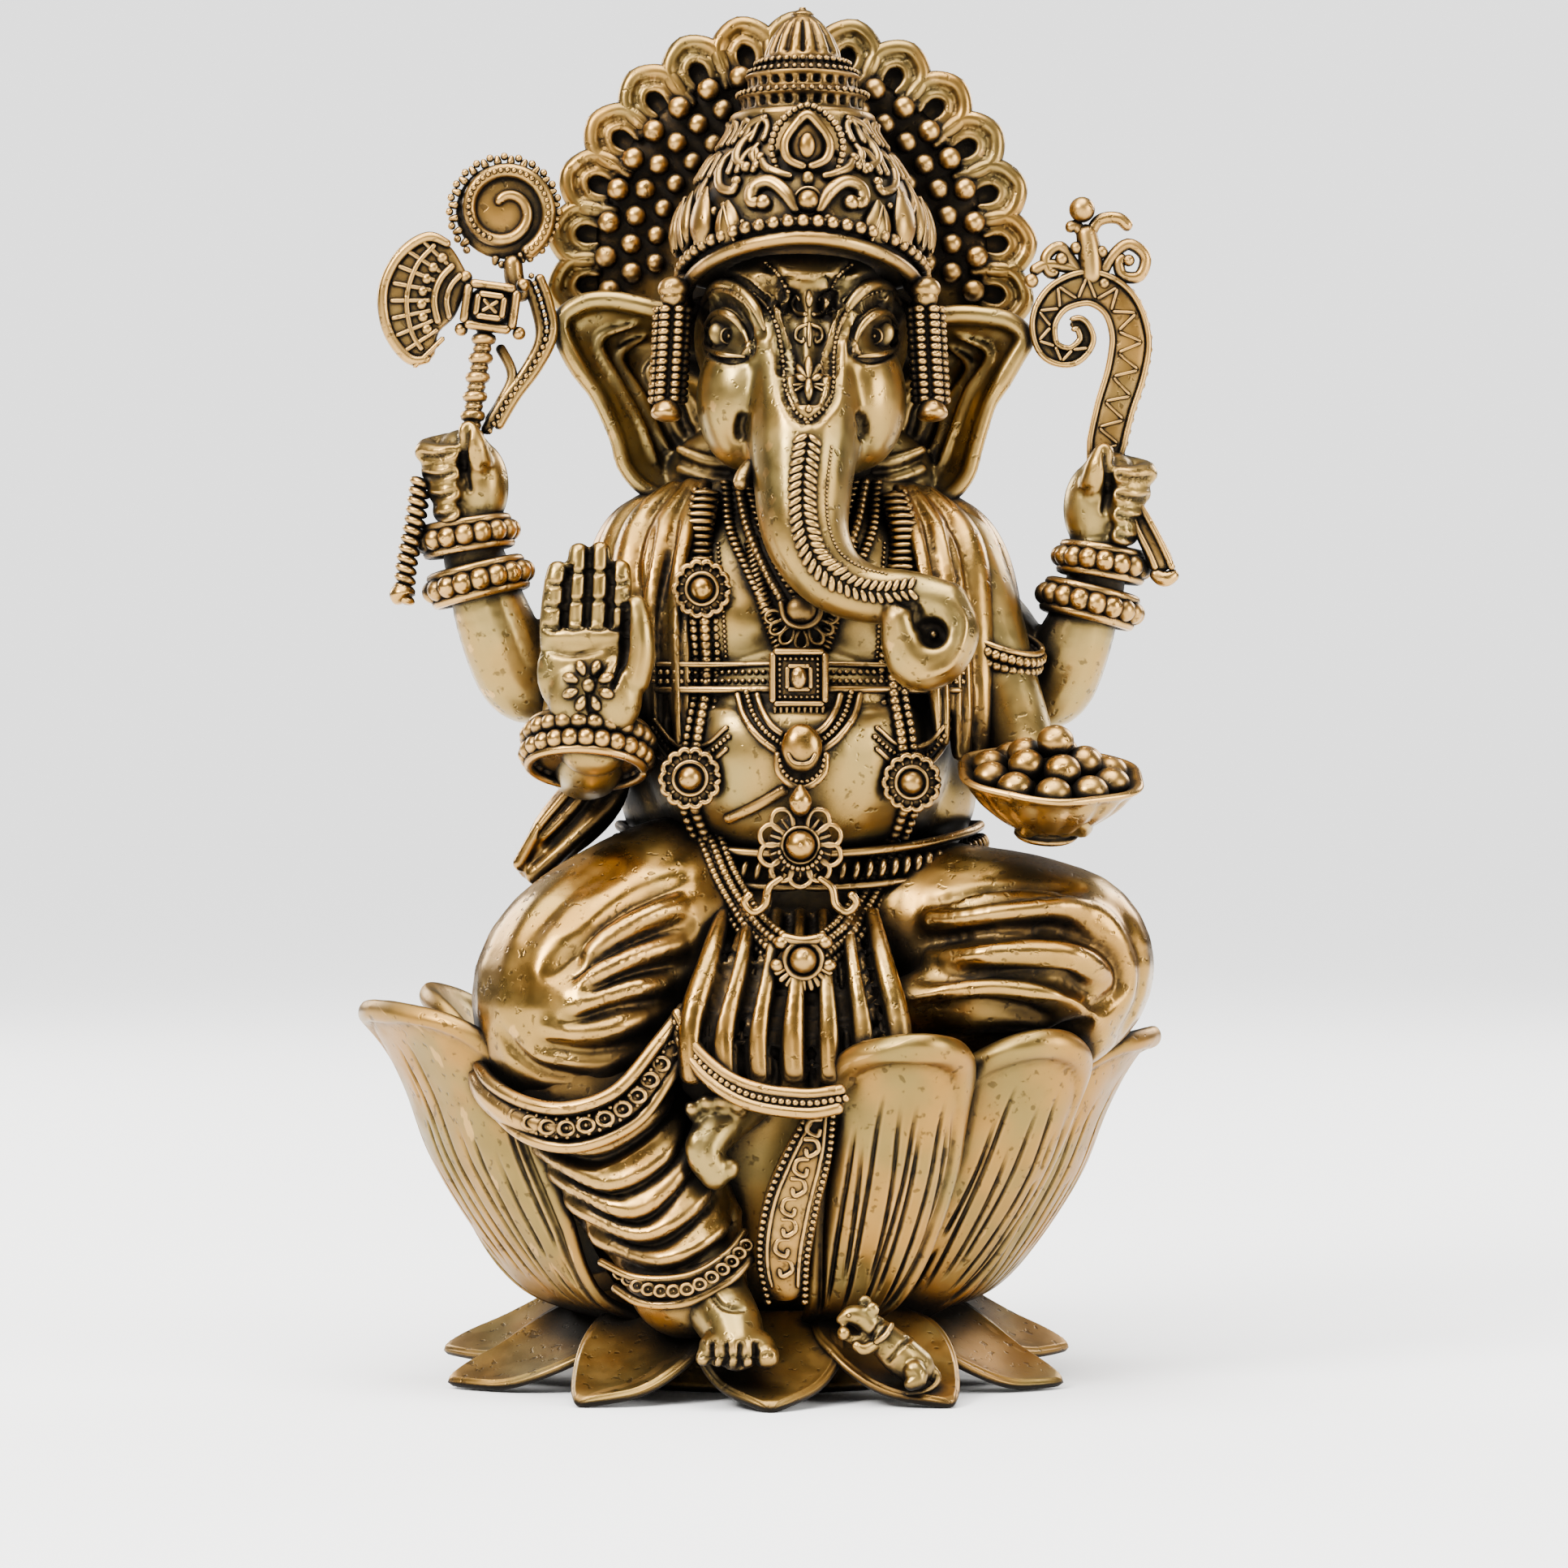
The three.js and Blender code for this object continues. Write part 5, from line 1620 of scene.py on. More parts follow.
def addBracelet(centre, axis, across, deep, bead, rows=1, count=22):
    # rows of large beads between thin rails round an arm; across and deep are its half widths
    axis = unit(axis)
    first = unit(np.cross([0, 1, 0], axis))
    second = np.cross(axis, first)
    centre = np.asarray(centre, float)
    parts, spots = [], []
    for row in range(rows):
        shift = (row - (rows - 1) / 2) * bead * 1.8
        for k in range(count):
            a = 2 * math.pi * (k + 0.5 * (row % 2)) / count
            spots.append(centre + axis * shift + first * across * math.cos(a) + second * deep * math.sin(a))
    parts.append(addBeads(spots, bead, detail=3))
    for edge in (-1, 1):
        shift = edge * (rows * bead * 0.9 + 0.16)
        ring = [
            centre + axis * shift + first * (
                across - 0.1
            ) * math.cos(a) + second * (deep - 0.1) * math.sin(a)
            for a in np.linspace(0, 2 * math.pi, 49)
        ]
        parts.append(addBar(ring, bead * 0.36 + 0.08, sides=8, steps=120))
    cuff = [centre + axis * t for t in (-rows * bead * 0.9, 0, rows * bead * 0.9)]
    core = addBar(cuff, 1, sides=36, steps=12, taper=0.6)
    points = getPoints(core) - centre
    local = np.column_stack([points @ first, points @ second, points @ axis])
    local[:, 0] *= across - 0.35
    local[:, 1] *= deep - 0.35
    setPoints(core, centre + local[:, :1] * first + local[:, 1:2] * second + local[:, 2:] * axis)
    parts.append(core)
    return parts


def makeBracelets():
    right = addBracelet((-21.9, 0.2, 61.6), (-0.16, 0, 1), 3.15, 2.9, 0.82, count=16)
    right += addBracelet((-21.1, 0.5, 58.3), (-0.24, 0, 1), 3.4, 3.1, 0.86, count=17)
    finishPiece(right, "bracelets_rear_right", "ornament_brass")
    left = addBracelet((24.5, 0.2, 59.7), (0.16, 0, 1), 3, 2.8, 0.82, count=16)
    left += addBracelet((23.6, 0.5, 56.7), (0.24, 0, 1), 3.3, 3, 0.86, count=17)
    finishPiece(left, "bracelets_rear_left", "ornament_brass")
    front = addBracelet((-12.7, -9.8, 46), (0.05, 0.42, 1), 4.2, 3.5, 0.72, rows=2, count=24)
    finishPiece(front, "bracelet_front_right", "ornament_brass")
    band = addBracelet((16.9, -3, 53.2), (0.32, -0.35, 1), 3, 2.9, 0.42, rows=2, count=32)
    finishPiece(band, "armband", "ornament_brass")


makeBracelets()


# the things held up by the rear hands


def addPlate(outline, y, thick, detail):
    # a flat plate with a rounded edge, its outline given as (x, z)
    edge = evenFlat(list(outline) + [outline[0]], detail + 1)[:-1]
    middle = edge.mean(axis=0)
    rows = [(1, 0), (0.985, 0.6), (0.94, 0.9), (0.85, 1), (0.45, 1)]
    points, faces = [], []
    for side in (-1, 1):
        for scale, lift in rows:
            ring = middle + (edge - middle) * scale
            ring[:, 1] = y + side * thick * lift
            points.append(ring)
    count = len(rows)
    stacked = np.vstack(points + [[middle + [0, y - thick, 0]], [middle + [0, y + thick, 0]]])
    for block in range(2):
        base = block * count * detail
        for j in range(count - 1):
            for i in range(detail):
                a, b = base + j * detail + i, base + j * detail + (i + 1) % detail
                faces.append((a, b, b + detail, a + detail))
        last = base + (count - 1) * detail
        for i in range(detail):
            faces.append((last + i, last + (i + 1) % detail, 2 * count * detail + block))
    return buildMesh("plate", stacked, faces)


def wire(line, y, radius, steps=36, sides=8):
    return addBar([(x, y, z) for x, z in line], radius, sides=sides, steps=steps)


def makeAxe():
    y = -1
    hub = np.array([-20.6, 78.4])

    def polar(radius, degrees):
        a = math.radians(degrees)
        return (hub[0] + radius * math.cos(a), hub[1] + radius * math.sin(a))

    outline = [
        polar(2.2, 118), polar(4.9, 120), polar(6.3, 130), polar(7, 150), polar(7.35, 172), polar(7.2, 195),
        polar(6.7, 215), polar(5.4, 226), polar(3.9, 212), polar(2.2, 200)
    ]
    parts = [addPlate(outline, y, 0.5, detail=56)]
    rim = [
        polar(r, d)
        for r, d in ((4.9, 119), (6.35, 130), (7.05, 150), (7.35, 172), (7.2, 195), (6.7, 216), (5.5, 226))
    ]
    parts.append(wire(rim, y - 0.45, [0.3] + [0.42] * 5 + [0.3], steps=60))
    parts.append(wire([polar(5.6, d) for d in (128, 150, 175, 200, 218)], y - 0.55, 0.24, steps=44))
    parts.append(wire([polar(3.6, d) for d in (126, 150, 175, 205)], y - 0.6, 0.3, steps=36))
    parts.append(wire([polar(2.7, d) for d in (125, 150, 175, 205)], y - 0.6, 0.26, steps=36))
    for degrees in range(132, 222, 11):
        parts.append(wire([polar(3.7, degrees), polar(6.9, degrees + 2)], y - 0.55, 0.2, steps=12))
    for degrees in range(132, 206, 12):
        parts.append(
            addBall(
                (polar(4.5, degrees)[0], y - 0.5, polar(4.5, degrees)[1]), (0.45, 0.35, 0.45), around=12,
                rings=8
            )
        )
    # square boss with a stepped middle
    turn = math.radians(-8)
    boss = (-20.1, 78.2)

    def corner(a, b):
        return (
            boss[0] + a * math.cos(turn) - b * math.sin(turn),
            boss[1] + a * math.sin(turn) + b * math.cos(turn)
        )

    for size, lift, bar in ((1.75, 0.7, 0.36), (0.95, 1, 0.26)):
        square = [
            corner(-size, -size * 0.85), corner(size, -size * 0.85), corner(size, size * 0.85),
            corner(-size, size * 0.85), corner(-size, -size * 0.85)
        ]
        for first, second in zip(square, square[1:]):
            parts.append(
                wire(
                    [first, ((first[0] + second[0]) / 2, (first[1] + second[1]) / 2), second], y - lift,
                    bar, steps=14
                )
            )
    parts.append(addBall((boss[0], y, boss[1]), (1.9, 1, 1.6)))
    parts.append(wire([corner(-0.6, -0.5), corner(0, 0), corner(0.6, 0.5)], y - 1, 0.2, steps=12))
    parts.append(wire([corner(-0.6, 0.5), corner(0, 0), corner(0.6, -0.5)], y - 1, 0.2, steps=12))
    for a, b in ((-2.1, 1.9), (2.1, 1.9), (2.3, -1.6), (-1.9, -1.9)):
        spot = corner(a, b)
        parts.append(addBall((spot[0], y - 0.3, spot[1]), 0.5, around=14, rings=10))
    # beaded handle down to the hand
    handle = evenPath([(-20.5, y, 76.6), (-21, y, 73.5), (-21.4, y, 70.5), (-21.6, y - 0.4, 67.5)], 14)
    parts.append(addBar(handle, 0.62, steps=30))
    parts.append(addBeads(handle, [0.95 if k % 2 else 0.72 for k in range(14)], squash=(1, 1, 0.6)))
    finishPiece(parts, "axe", "emblem_brass")


def makeNoose():
    y = 0.2
    hub = (-19.2, 85.4)
    turns = np.linspace(0, 1, 60)
    spiral = []
    for t in turns:
        a = math.radians(-70 + 560 * t)
        radius = 3.55 * (1 - t) ** 0.62 * 0.86 + 0.45
        spiral.append((hub[0] + radius * math.cos(a), y, hub[1] + radius * math.sin(a)))
    parts = [addBar(spiral, np.linspace(0.62, 0.42, 60), sides=12, steps=170)]
    parts.append(addBall((hub[0], y + 0.45, hub[1]), (3.6, 0.5, 3.5)))
    parts.append(addBeads([(x, y - 0.5, z) for x, _, z in evenPath(spiral[:34], 34)], 0.24, detail=1))
    # pointed teeth round the rim, each with a ball
    for k in range(22):
        a = math.radians(-100 + 15.2 * k)
        root = (hub[0] + 3.3 * math.cos(a), y, hub[1] + 3.3 * math.sin(a))
        tip = (hub[0] + 4.15 * math.cos(a), y, hub[1] + 4.1 * math.sin(a))
        parts.append(addBar([root, tip], [0.42, 0.16], sides=8, steps=10))
        parts.append(
            addBall(
                (hub[0] + 4 * math.cos(a + 0.13), y, hub[1] + 3.95 * math.sin(a + 0.13)), 0.3,
                around=10, rings=8
            )
        )
    # strap swinging down to the hand
    strap = [
        (-17.2, y, 80.6), (-16.4, y, 78.4), (-16.1, y - 0.2, 76.2), (-17.2, y - 0.4, 73.8),
        (-18.8, y - 0.6, 71.6), (-20.2, y - 0.8, 69.2)
    ]
    parts.append(addBar([(-18.6, y, 82.2), (-18.4, y, 80.2), (-17.6, y, 78.8)], [0.7, 0.75, 0.6]))
    for shift in (-0.45, 0.45):
        parts.append(addBar([(x + shift, py, z + shift * 0.4) for x, py, z in strap], 0.42, steps=60))
    link = evenPath(strap, 22)
    parts.append(addBeads([(x, py - 0.35, z) for x, py, z in link], 0.26, detail=1))
    second = [
        (-19.6, y - 0.2, 75.6), (-18.6, y - 0.4, 73.4), (-19.4, y - 0.5, 71.4), (-20.4, y - 0.6, 69.8)
    ]
    parts.append(addBar(second, 0.4, steps=40))
    finishPiece(parts, "noose", "emblem_brass")

    # knotted rope hanging below the hand
    line = evenPath([(-25.2, -1.3, 65.4), (-25.6, -1.4, 62.5), (-26.2, -1.4, 59.5), (-26.4, -1.4, 57)], 13)
    parts = [addBar(line, 0.42, sides=8, steps=40)]
    for k, spot in enumerate(line):
        parts.append(addBall(tuple(spot), (0.86, 0.8, 0.42), (0, math.radians(24), 0), around=14, rings=10))
    parts.append(
        addBar(
            [(-26.4, -1.4, 58.2), (-26.5, -1.5, 57.2), (-26.3, -1.6, 56.7)], [0.6, 1, 1], sides=14, steps=16
        )
    )
    finishPiece(parts, "rope", "ornament_brass")


def makeGoad():
    y = -0.2
    hook = [
        (24.4, 65.6), (24.8, 68.4), (25.4, 71), (26.2, 73.6), (26.5, 76.2), (25.6, 78.6), (23.6, 79.7),
        (21.3, 79), (20.2, 77.2), (20.6, 75.2), (22.2, 74.7), (23.3, 75.8), (22.9, 77), (22.1, 77)
    ]
    path = evenPath([(x, y, z) for x, z in hook], 90)
    width = np.interp(np.linspace(0, 1, 90), [0, 0.1, 0.35, 0.6, 0.8, 1], [0.9, 1.35, 1.45, 1.2, 0.75, 0.4])
    parts = [addBar(path, width, flat=0.42, sides=16, steps=90)]
    heading = np.gradient(path, axis=0)
    heading /= np.linalg.norm(heading, axis=1)[:, None]
    cross = np.column_stack([heading[:, 2], np.zeros(90), -heading[:, 0]])
    inner, outer = path - cross * (width * 0.92)[:, None], path + cross * (width * 0.92)[:, None]
    for edge in (inner, outer):
        parts.append(addBar(edge - [0, 0.4, 0], 0.24, sides=8, steps=150))
    zigzag = [
        path[i] + cross[i] * width[i] * (0.62 if (i // 3) % 2 else -0.62) - [0, 0.55, 0]
        for i in range(3, 84, 3)
    ]
    for first, second in zip(zigzag, zigzag[1:]):
        parts.append(addBar([first, second], 0.14, sides=6, steps=6))
    parts.append(addBeads(evenPath(outer[4:56], 22), 0.36))
    # curls, crossbar and ball on top
    for line in (
        [
            (24.4, 80.6), (25.2, 82), (26.4, 82.9), (27.6, 82), (27.2, 80.6), (26, 80.6), (25.7, 81.6),
            (26.3, 82)
        ],
        [(23.2, 80.4), (22.3, 81.6), (21.4, 82.7), (20.4, 82), (20.6, 80.9), (21.4, 80.8)],
        [(23.4, 83.2), (24.2, 84.6), (25.6, 84.8), (26.6, 84)],
        [(23.4, 83.2), (22.6, 84.2), (21.8, 84)],
        [(19.2, 80.8), (20.4, 81.4), (22, 81.2), (23.6, 80.6)],
    ):
        parts.append(wire(line, y, 0.46, steps=44, sides=10))
    parts.append(addBar([(23.7, y, 79.8), (23.6, y, 82), (23.2, y, 84.4)], [0.8, 0.9, 0.7], sides=12))
    for x, z, size in (
        (23, 85.4, 0.95), (19.3, 80.2, 0.55), (21.5, 81.8, 0.5), (24.4, 82.3, 0.5), (26.4, 81.7, 0.45),
        (22.6, 82.6, 0.5), (24.6, 80, 0.5)
    ):
        parts.append(addBall((x, y - 0.2, z), size, around=16, rings=12))
    finishPiece(parts, "goad", "emblem_brass")

    # ribbon flying from the wrist
    parts = [
        addBar(
            [(26.6, -1.4, 64), (27.4, -1.5, 62.2), (28.3, -1.6, 60.4), (28.9, -1.6, 58.9)],
            [0.55, 0.8, 0.9, 1], flat=0.5, sides=12, steps=30
        )
    ]
    for shift in (-0.6, 0.6):
        parts.append(
            addBar(
                [
                    (26.6 + shift * 0.6, -1.8, 64), (27.4 + shift, -1.95, 62.2), (28.3 + shift, -2, 60.4),
                    (28.9 + shift, -2, 59)
                ],
                0.28, sides=8, steps=30
            )
        )
    parts.append(addBar([(27.9, -1.7, 59), (28.9, -1.8, 58.4), (29.9, -1.7, 58.9)], [0.4, 0.6, 0.4]))
    finishPiece(parts, "ribbon", "ornament_brass")


makeAxe()
makeNoose()
makeGoad()
say("emblems ready")


# shawl


def makeShawl():
    sides = {
        "shawl_right": [
            (
                [(-6.2, 1, 65.4), (-9.2, -2.4, 61.5), (-9.8, -4.6, 55), (-9.2, -5.8, 49), (-8.8, -5.6, 45)],
                [0.9, 1.5, 1.5, 1.3, 0.9]
            ),
            (
                [(-5.2, 0.2, 65.6), (-7.6, -4.4, 61), (-8, -6.4, 55), (-7.6, -7.4, 49.5), (-7.2, -7.4, 45)],
                [0.8, 1.1, 1.15, 1.1, 0.7]
            ),
            (
                [(-4.4, -0.4, 65.6), (-6, -5.4, 60.6), (-6.2, -7.2, 55), (-6.2, -8.6, 50), (-6, -9.4, 46)],
                [0.7, 0.9, 0.9, 0.8, 0.5]
            ),
            (
                [
                    (-6.6, 2.6, 65.2), (-10.2, 0.2, 61.6), (-11.2, -2.2, 55), (-10.8, -3.4, 49),
                    (-10.4, -3.2, 45)
                ],
                [1, 1.8, 1.7, 1.4, 0.9]
            ),
            (
                [(-6, 5, 65), (-10.2, 3.8, 62), (-11.8, 1.2, 57), (-11.8, -0.6, 51), (-11.4, -1, 45)],
                [1.2, 2, 1.8, 1.5, 0.9]
            ),
        ],
        "shawl_left": [
            (
                [(11.2, 1, 65), (14.2, -2.4, 61), (15, -4.4, 55), (15.2, -5.2, 49), (15.4, -5, 45)],
                [0.9, 1.5, 1.4, 1.2, 0.8]
            ),
            (
                [(10.2, 0.2, 65.2), (12.6, -4.4, 60.6), (13.4, -6.2, 55), (13.8, -7, 49.5), (14, -6.8, 45)],
                [0.8, 1.1, 1.1, 1, 0.7]
            ),
            (
                [(9.4, -0.4, 65.2), (11, -5.4, 60.2), (11.8, -7.2, 55), (12.3, -8.4, 50), (12.6, -8.6, 46)],
                [0.7, 0.9, 0.9, 0.8, 0.5]
            ),
            (
                [(11.6, 2.6, 65), (15, 0.2, 61.4), (16.4, -2, 55), (16.4, -3, 49), (16.6, -2.8, 45)],
                [1, 1.7, 1.6, 1.3, 0.9]
            ),
            (
                [(11, 5, 65), (15, 3.8, 61.8), (16.9, 1.4, 57), (17.2, -0.4, 51), (17, -1, 45)],
                [1.2, 1.9, 1.7, 1.4, 0.9]
            ),
        ],
    }
    for name, bars in sides.items():
        parts = [addBar(line, radii, sides=14, steps=44) for line, radii in bars]
        cloth = fuse(parts, voxel=0.24, smooth=3)
        sign = -1 if name.endswith("right") else 1
        for shift in (0, 1.7, 3.3):
            x = bodyX + sign * (7.2 + shift)
            press(
                cloth, [(x, 62.5), (x + sign * 1.2, 56), (x + sign * 1.2, 50), (x + sign * 1.1, 45.5)], 0.2,
                0.45, taper=0.3
            )
        keepSkin(cloth)
        finishPiece(cloth, name, "drapery_brass")

    leafPoints = [(-10.8, -1.2, 45.6), (-12.6, -1.6, 42.6), (-15.4, -1.6, 39.6), (-17.9, -1.2, 36.7)]
    leaf = [
        addBar(leafPoints, [1.4, 2.3, 2, 0.6], flat=0.35, sides=18, steps=40),
        addBar(
            [(-9.8, -1.8, 44.6), (-11.6, -2.2, 41.8), (-14.6, -2.2, 38.9), (-17.4, -1.7, 36.4)],
            [0.4, 0.6, 0.6, 0.8], sides=12, steps=40
        ),
        addBar(
            [(-11.8, -1.8, 46.2), (-13.8, -2, 43.6), (-16.4, -2, 40.4), (-18.2, -1.6, 37.2)],
            [0.4, 0.5, 0.5, 0.6], sides=12, steps=40
        ),
    ]
    leaf = fuse(leaf, voxel=0.2, smooth=2)
    press(leaf, [(-11.6, 44.2), (-13.6, 41.4), (-16.2, 38.8)], 0.25, 0.6, taper=0.2)
    press(leaf, [(-12.2, 44.8), (-14.2, 42.4), (-16.6, 39.6)], 0.15, 0.3, taper=0.2)
    finishPiece(leaf, "shawl_end", "drapery_brass")


makeShawl()
say("shawl ready")


# pleats of cloth falling over the lap


def makePleats():
    parts = [addBall((2.2, -9, 29), (7.2, 4.2, 5.5)), addBall((2.3, -11.2, 26), (6.4, 4, 5))]
    for top, low, size in (
        (-3, -5.2, 0.95), (-1, -2.9, 1), (0.8, -0.5, 0.95), (2.4, 1.9, 1), (4, 4.4, 0.95), (5.6, 6.8, 0.95),
        (7.4, 9.2, 0.9)
    ):
        parts.append(
            addBar(
                [
                    (top, -9.4, 34.6), (top * 0.6 + low * 0.4, -13.4, 31.4), (low, -15.2, 26.8),
                    (low + 0.1, -15.6, 22.4)
                ],
                [0.55, size * 0.85, size * 1.05, size], sides=14, steps=36
            )
        )
    pleats = fuse(parts, voxel=0.24, smooth=3)
    for top, low in ((-2, -4.1), (-0.1, -1.7), (1.6, 0.6), (3.2, 3.2), (4.8, 5.6), (6.5, 8)):
        press(
            pleats, [(top, 34.8), (top * 0.6 + low * 0.4, 30.5), (low, 26), (low, 22)], 0.3, 0.8, taper=0.1
        )
    keepSkin(pleats)
    finishPiece(pleats, "lap_pleats", "drapery_brass")


makePleats()


# ornaments on the chest and belly


def addRosette(centre, size):
    # a scalloped flower with a ring and a dome, facing forwards
    x, y, z = centre
    parts = [addBall((x, y + 0.25, z), (size * 0.98, 0.45, size * 0.98), around=28, rings=12)]
    wave = []
    for a in np.linspace(0, 2 * math.pi, 141):
        r = size * (0.86 + 0.13 * abs(math.cos(7 * a)) ** 0.7)
        wave.append((x + r * math.cos(a), y - 0.1, z + r * math.sin(a)))
    parts.append(addBar(wave, size * 0.1, sides=8, steps=280))
    for k in range(14):
        a = 2 * math.pi * (k + 0.5) / 14
        parts.append(
            addBar(
                [
                    (x + size * 0.62 * math.cos(a), y - 0.1, z + size * 0.62 * math.sin(a)),
                    (x + size * 0.86 * math.cos(a), y - 0.05, z + size * 0.86 * math.sin(a))
                ],
                size * 0.055, sides=6, steps=8
            )
        )
    parts.append(addRing((x, y - 0.25, z), size * 0.55, size * 0.09, around=36))
    parts.append(addBall((x, y - 0.25, z), size * 0.42))
    return parts


def addLoop(place, angle, length, width, bar):
    # an open petal drawn as a bent wire, its root at place
    x, y, z = place
    a = math.radians(angle)
    along, cross = np.array([math.cos(a), math.sin(a)]), np.array([-math.sin(a), math.cos(a)])
    root = np.array([x, z])
    shape = [(0, 0.12), (0.45, 0.5), (0.8, 0.5), (1, 0), (0.8, -0.5), (0.45, -0.5), (0, -0.12)]
    line = [root + along * t * length + cross * s * width for t, s in shape]
    return addBar([(px, y, pz) for px, pz in line], bar, sides=8, steps=36)


def beadColumns(line, count, offsets, sizes, lift, missing=-6):
    # several columns of beads side by side along one line on the skin
    rows = evenFlat(line, count)
    heading = np.gradient(rows, axis=0)
    heading /= np.linalg.norm(heading, axis=1)[:, None]
    depth = laidOn(line, count, lift, missing, ease=3)[:, 1]
    parts = []
    for offset, size in zip(offsets, sizes):
        spots = [
            (x + way[2] * offset, y + abs(offset) * 0.25, z - way[0] * offset)
            for (x, _, z), y, way in zip(rows, depth, heading)
        ]
        parts.append(addBeads(spots, size))
    under = [(x, y + 0.45, z) for (x, _, z), y in zip(rows[::2], depth[::2])]
    parts.append(addBar(under, max(abs(o) for o in offsets) * 0.8, flat=0.45, steps=50))
    return parts


def makeGarlands():
    lines = {
        "garland_right": [
            (-4.4, 64.6), (-4.9, 61.5), (-4.7, 58.5), (-4.4, 55), (-4.3, 50.5), (-4.9, 46.5), (-5.2, 42.5),
            (-4.3, 39.6), (-2.9, 36.4), (-0.9, 33.4), (1.2, 31.7)
        ],
        "garland_left": [
            (9.2, 64.4), (9.9, 61.5), (9.6, 58.5), (9.2, 55), (9, 50.5), (9.6, 46.5), (9.9, 42.5),
            (9, 39.4), (7.7, 36.2), (5.9, 33.3), (3.9, 31.7)
        ],
    }
    for name, line in lines.items():
        upper, lower = line[:8], line[7:]
        parts = beadColumns(upper, 46, (-0.78, 0, 0.78), (0.34, 0.44, 0.34), lift=0.35)
        rows = laidOn(line[:3], 12, 0.75, ease=2)
        parts.append(addBeads(rows, 0.5, squash=(2.1, 0.8, 0.55)))
        parts += beadColumns(
            lower, 26, (-0.95, -0.3, 0.4, 1), (0.32, 0.36, 0.36, 0.28), lift=0.45, missing=-12.6
        )
        finishPiece(parts, name, "ornament_brass")

    spots = {
        "rosette_chest": (-4.6, 57.4, 2), "rosette_belly_right": (-5.4, 43.9, 2.1),
        "rosette_belly_left": (10.3, 43.6, 2)
    }
    for name, (x, z, size) in spots.items():
        y = min(frontOf(x, z)[1], frontOf(x + (1 if x < 0 else -1), z)[1]) - 1
        finishPiece(addRosette((x, y, z), size), name, "ornament_brass")

    # medal where the garland ends meet over the pleats
    x, y, z = 2.6, -15, 31.2
    parts = [
        addBall((x, y - 0.3, z), 0.95), addRing((x, y, z), 1.25, 0.28, around=36, sides=10)
    ]
    for dx, dz in ((-1.5, 1.2), (1.5, 1.2), (-1.8, -0.4), (1.8, -0.4)):
        parts.append(addBall((x + dx, y + 0.1, z + dz), (0.55, 0.5, 0.5), around=14, rings=10))
    for k in range(11):
        degrees = -170 + 16 * k
        parts.append(
            addBar(
                [onCircle((x, y, z), 1.1, degrees), onCircle((x, y + 0.1, z), 2.3, degrees)], [0.18, 0.28],
                sides=8, steps=12
            )
        )
    parts.append(addBall((x, y + 0.5, z - 0.4), (1.9, 0.5, 1.7)))
    parts.append(
        addBar([(x - 1.7, y + 0.2, z + 1.6), (x, y, z + 1.3), (x + 1.7, y + 0.2, z + 1.6)], 0.42, steps=24)
    )
    finishPiece(parts, "garland_medal", "ornament_brass")


makeGarlands()
say("garlands ready")


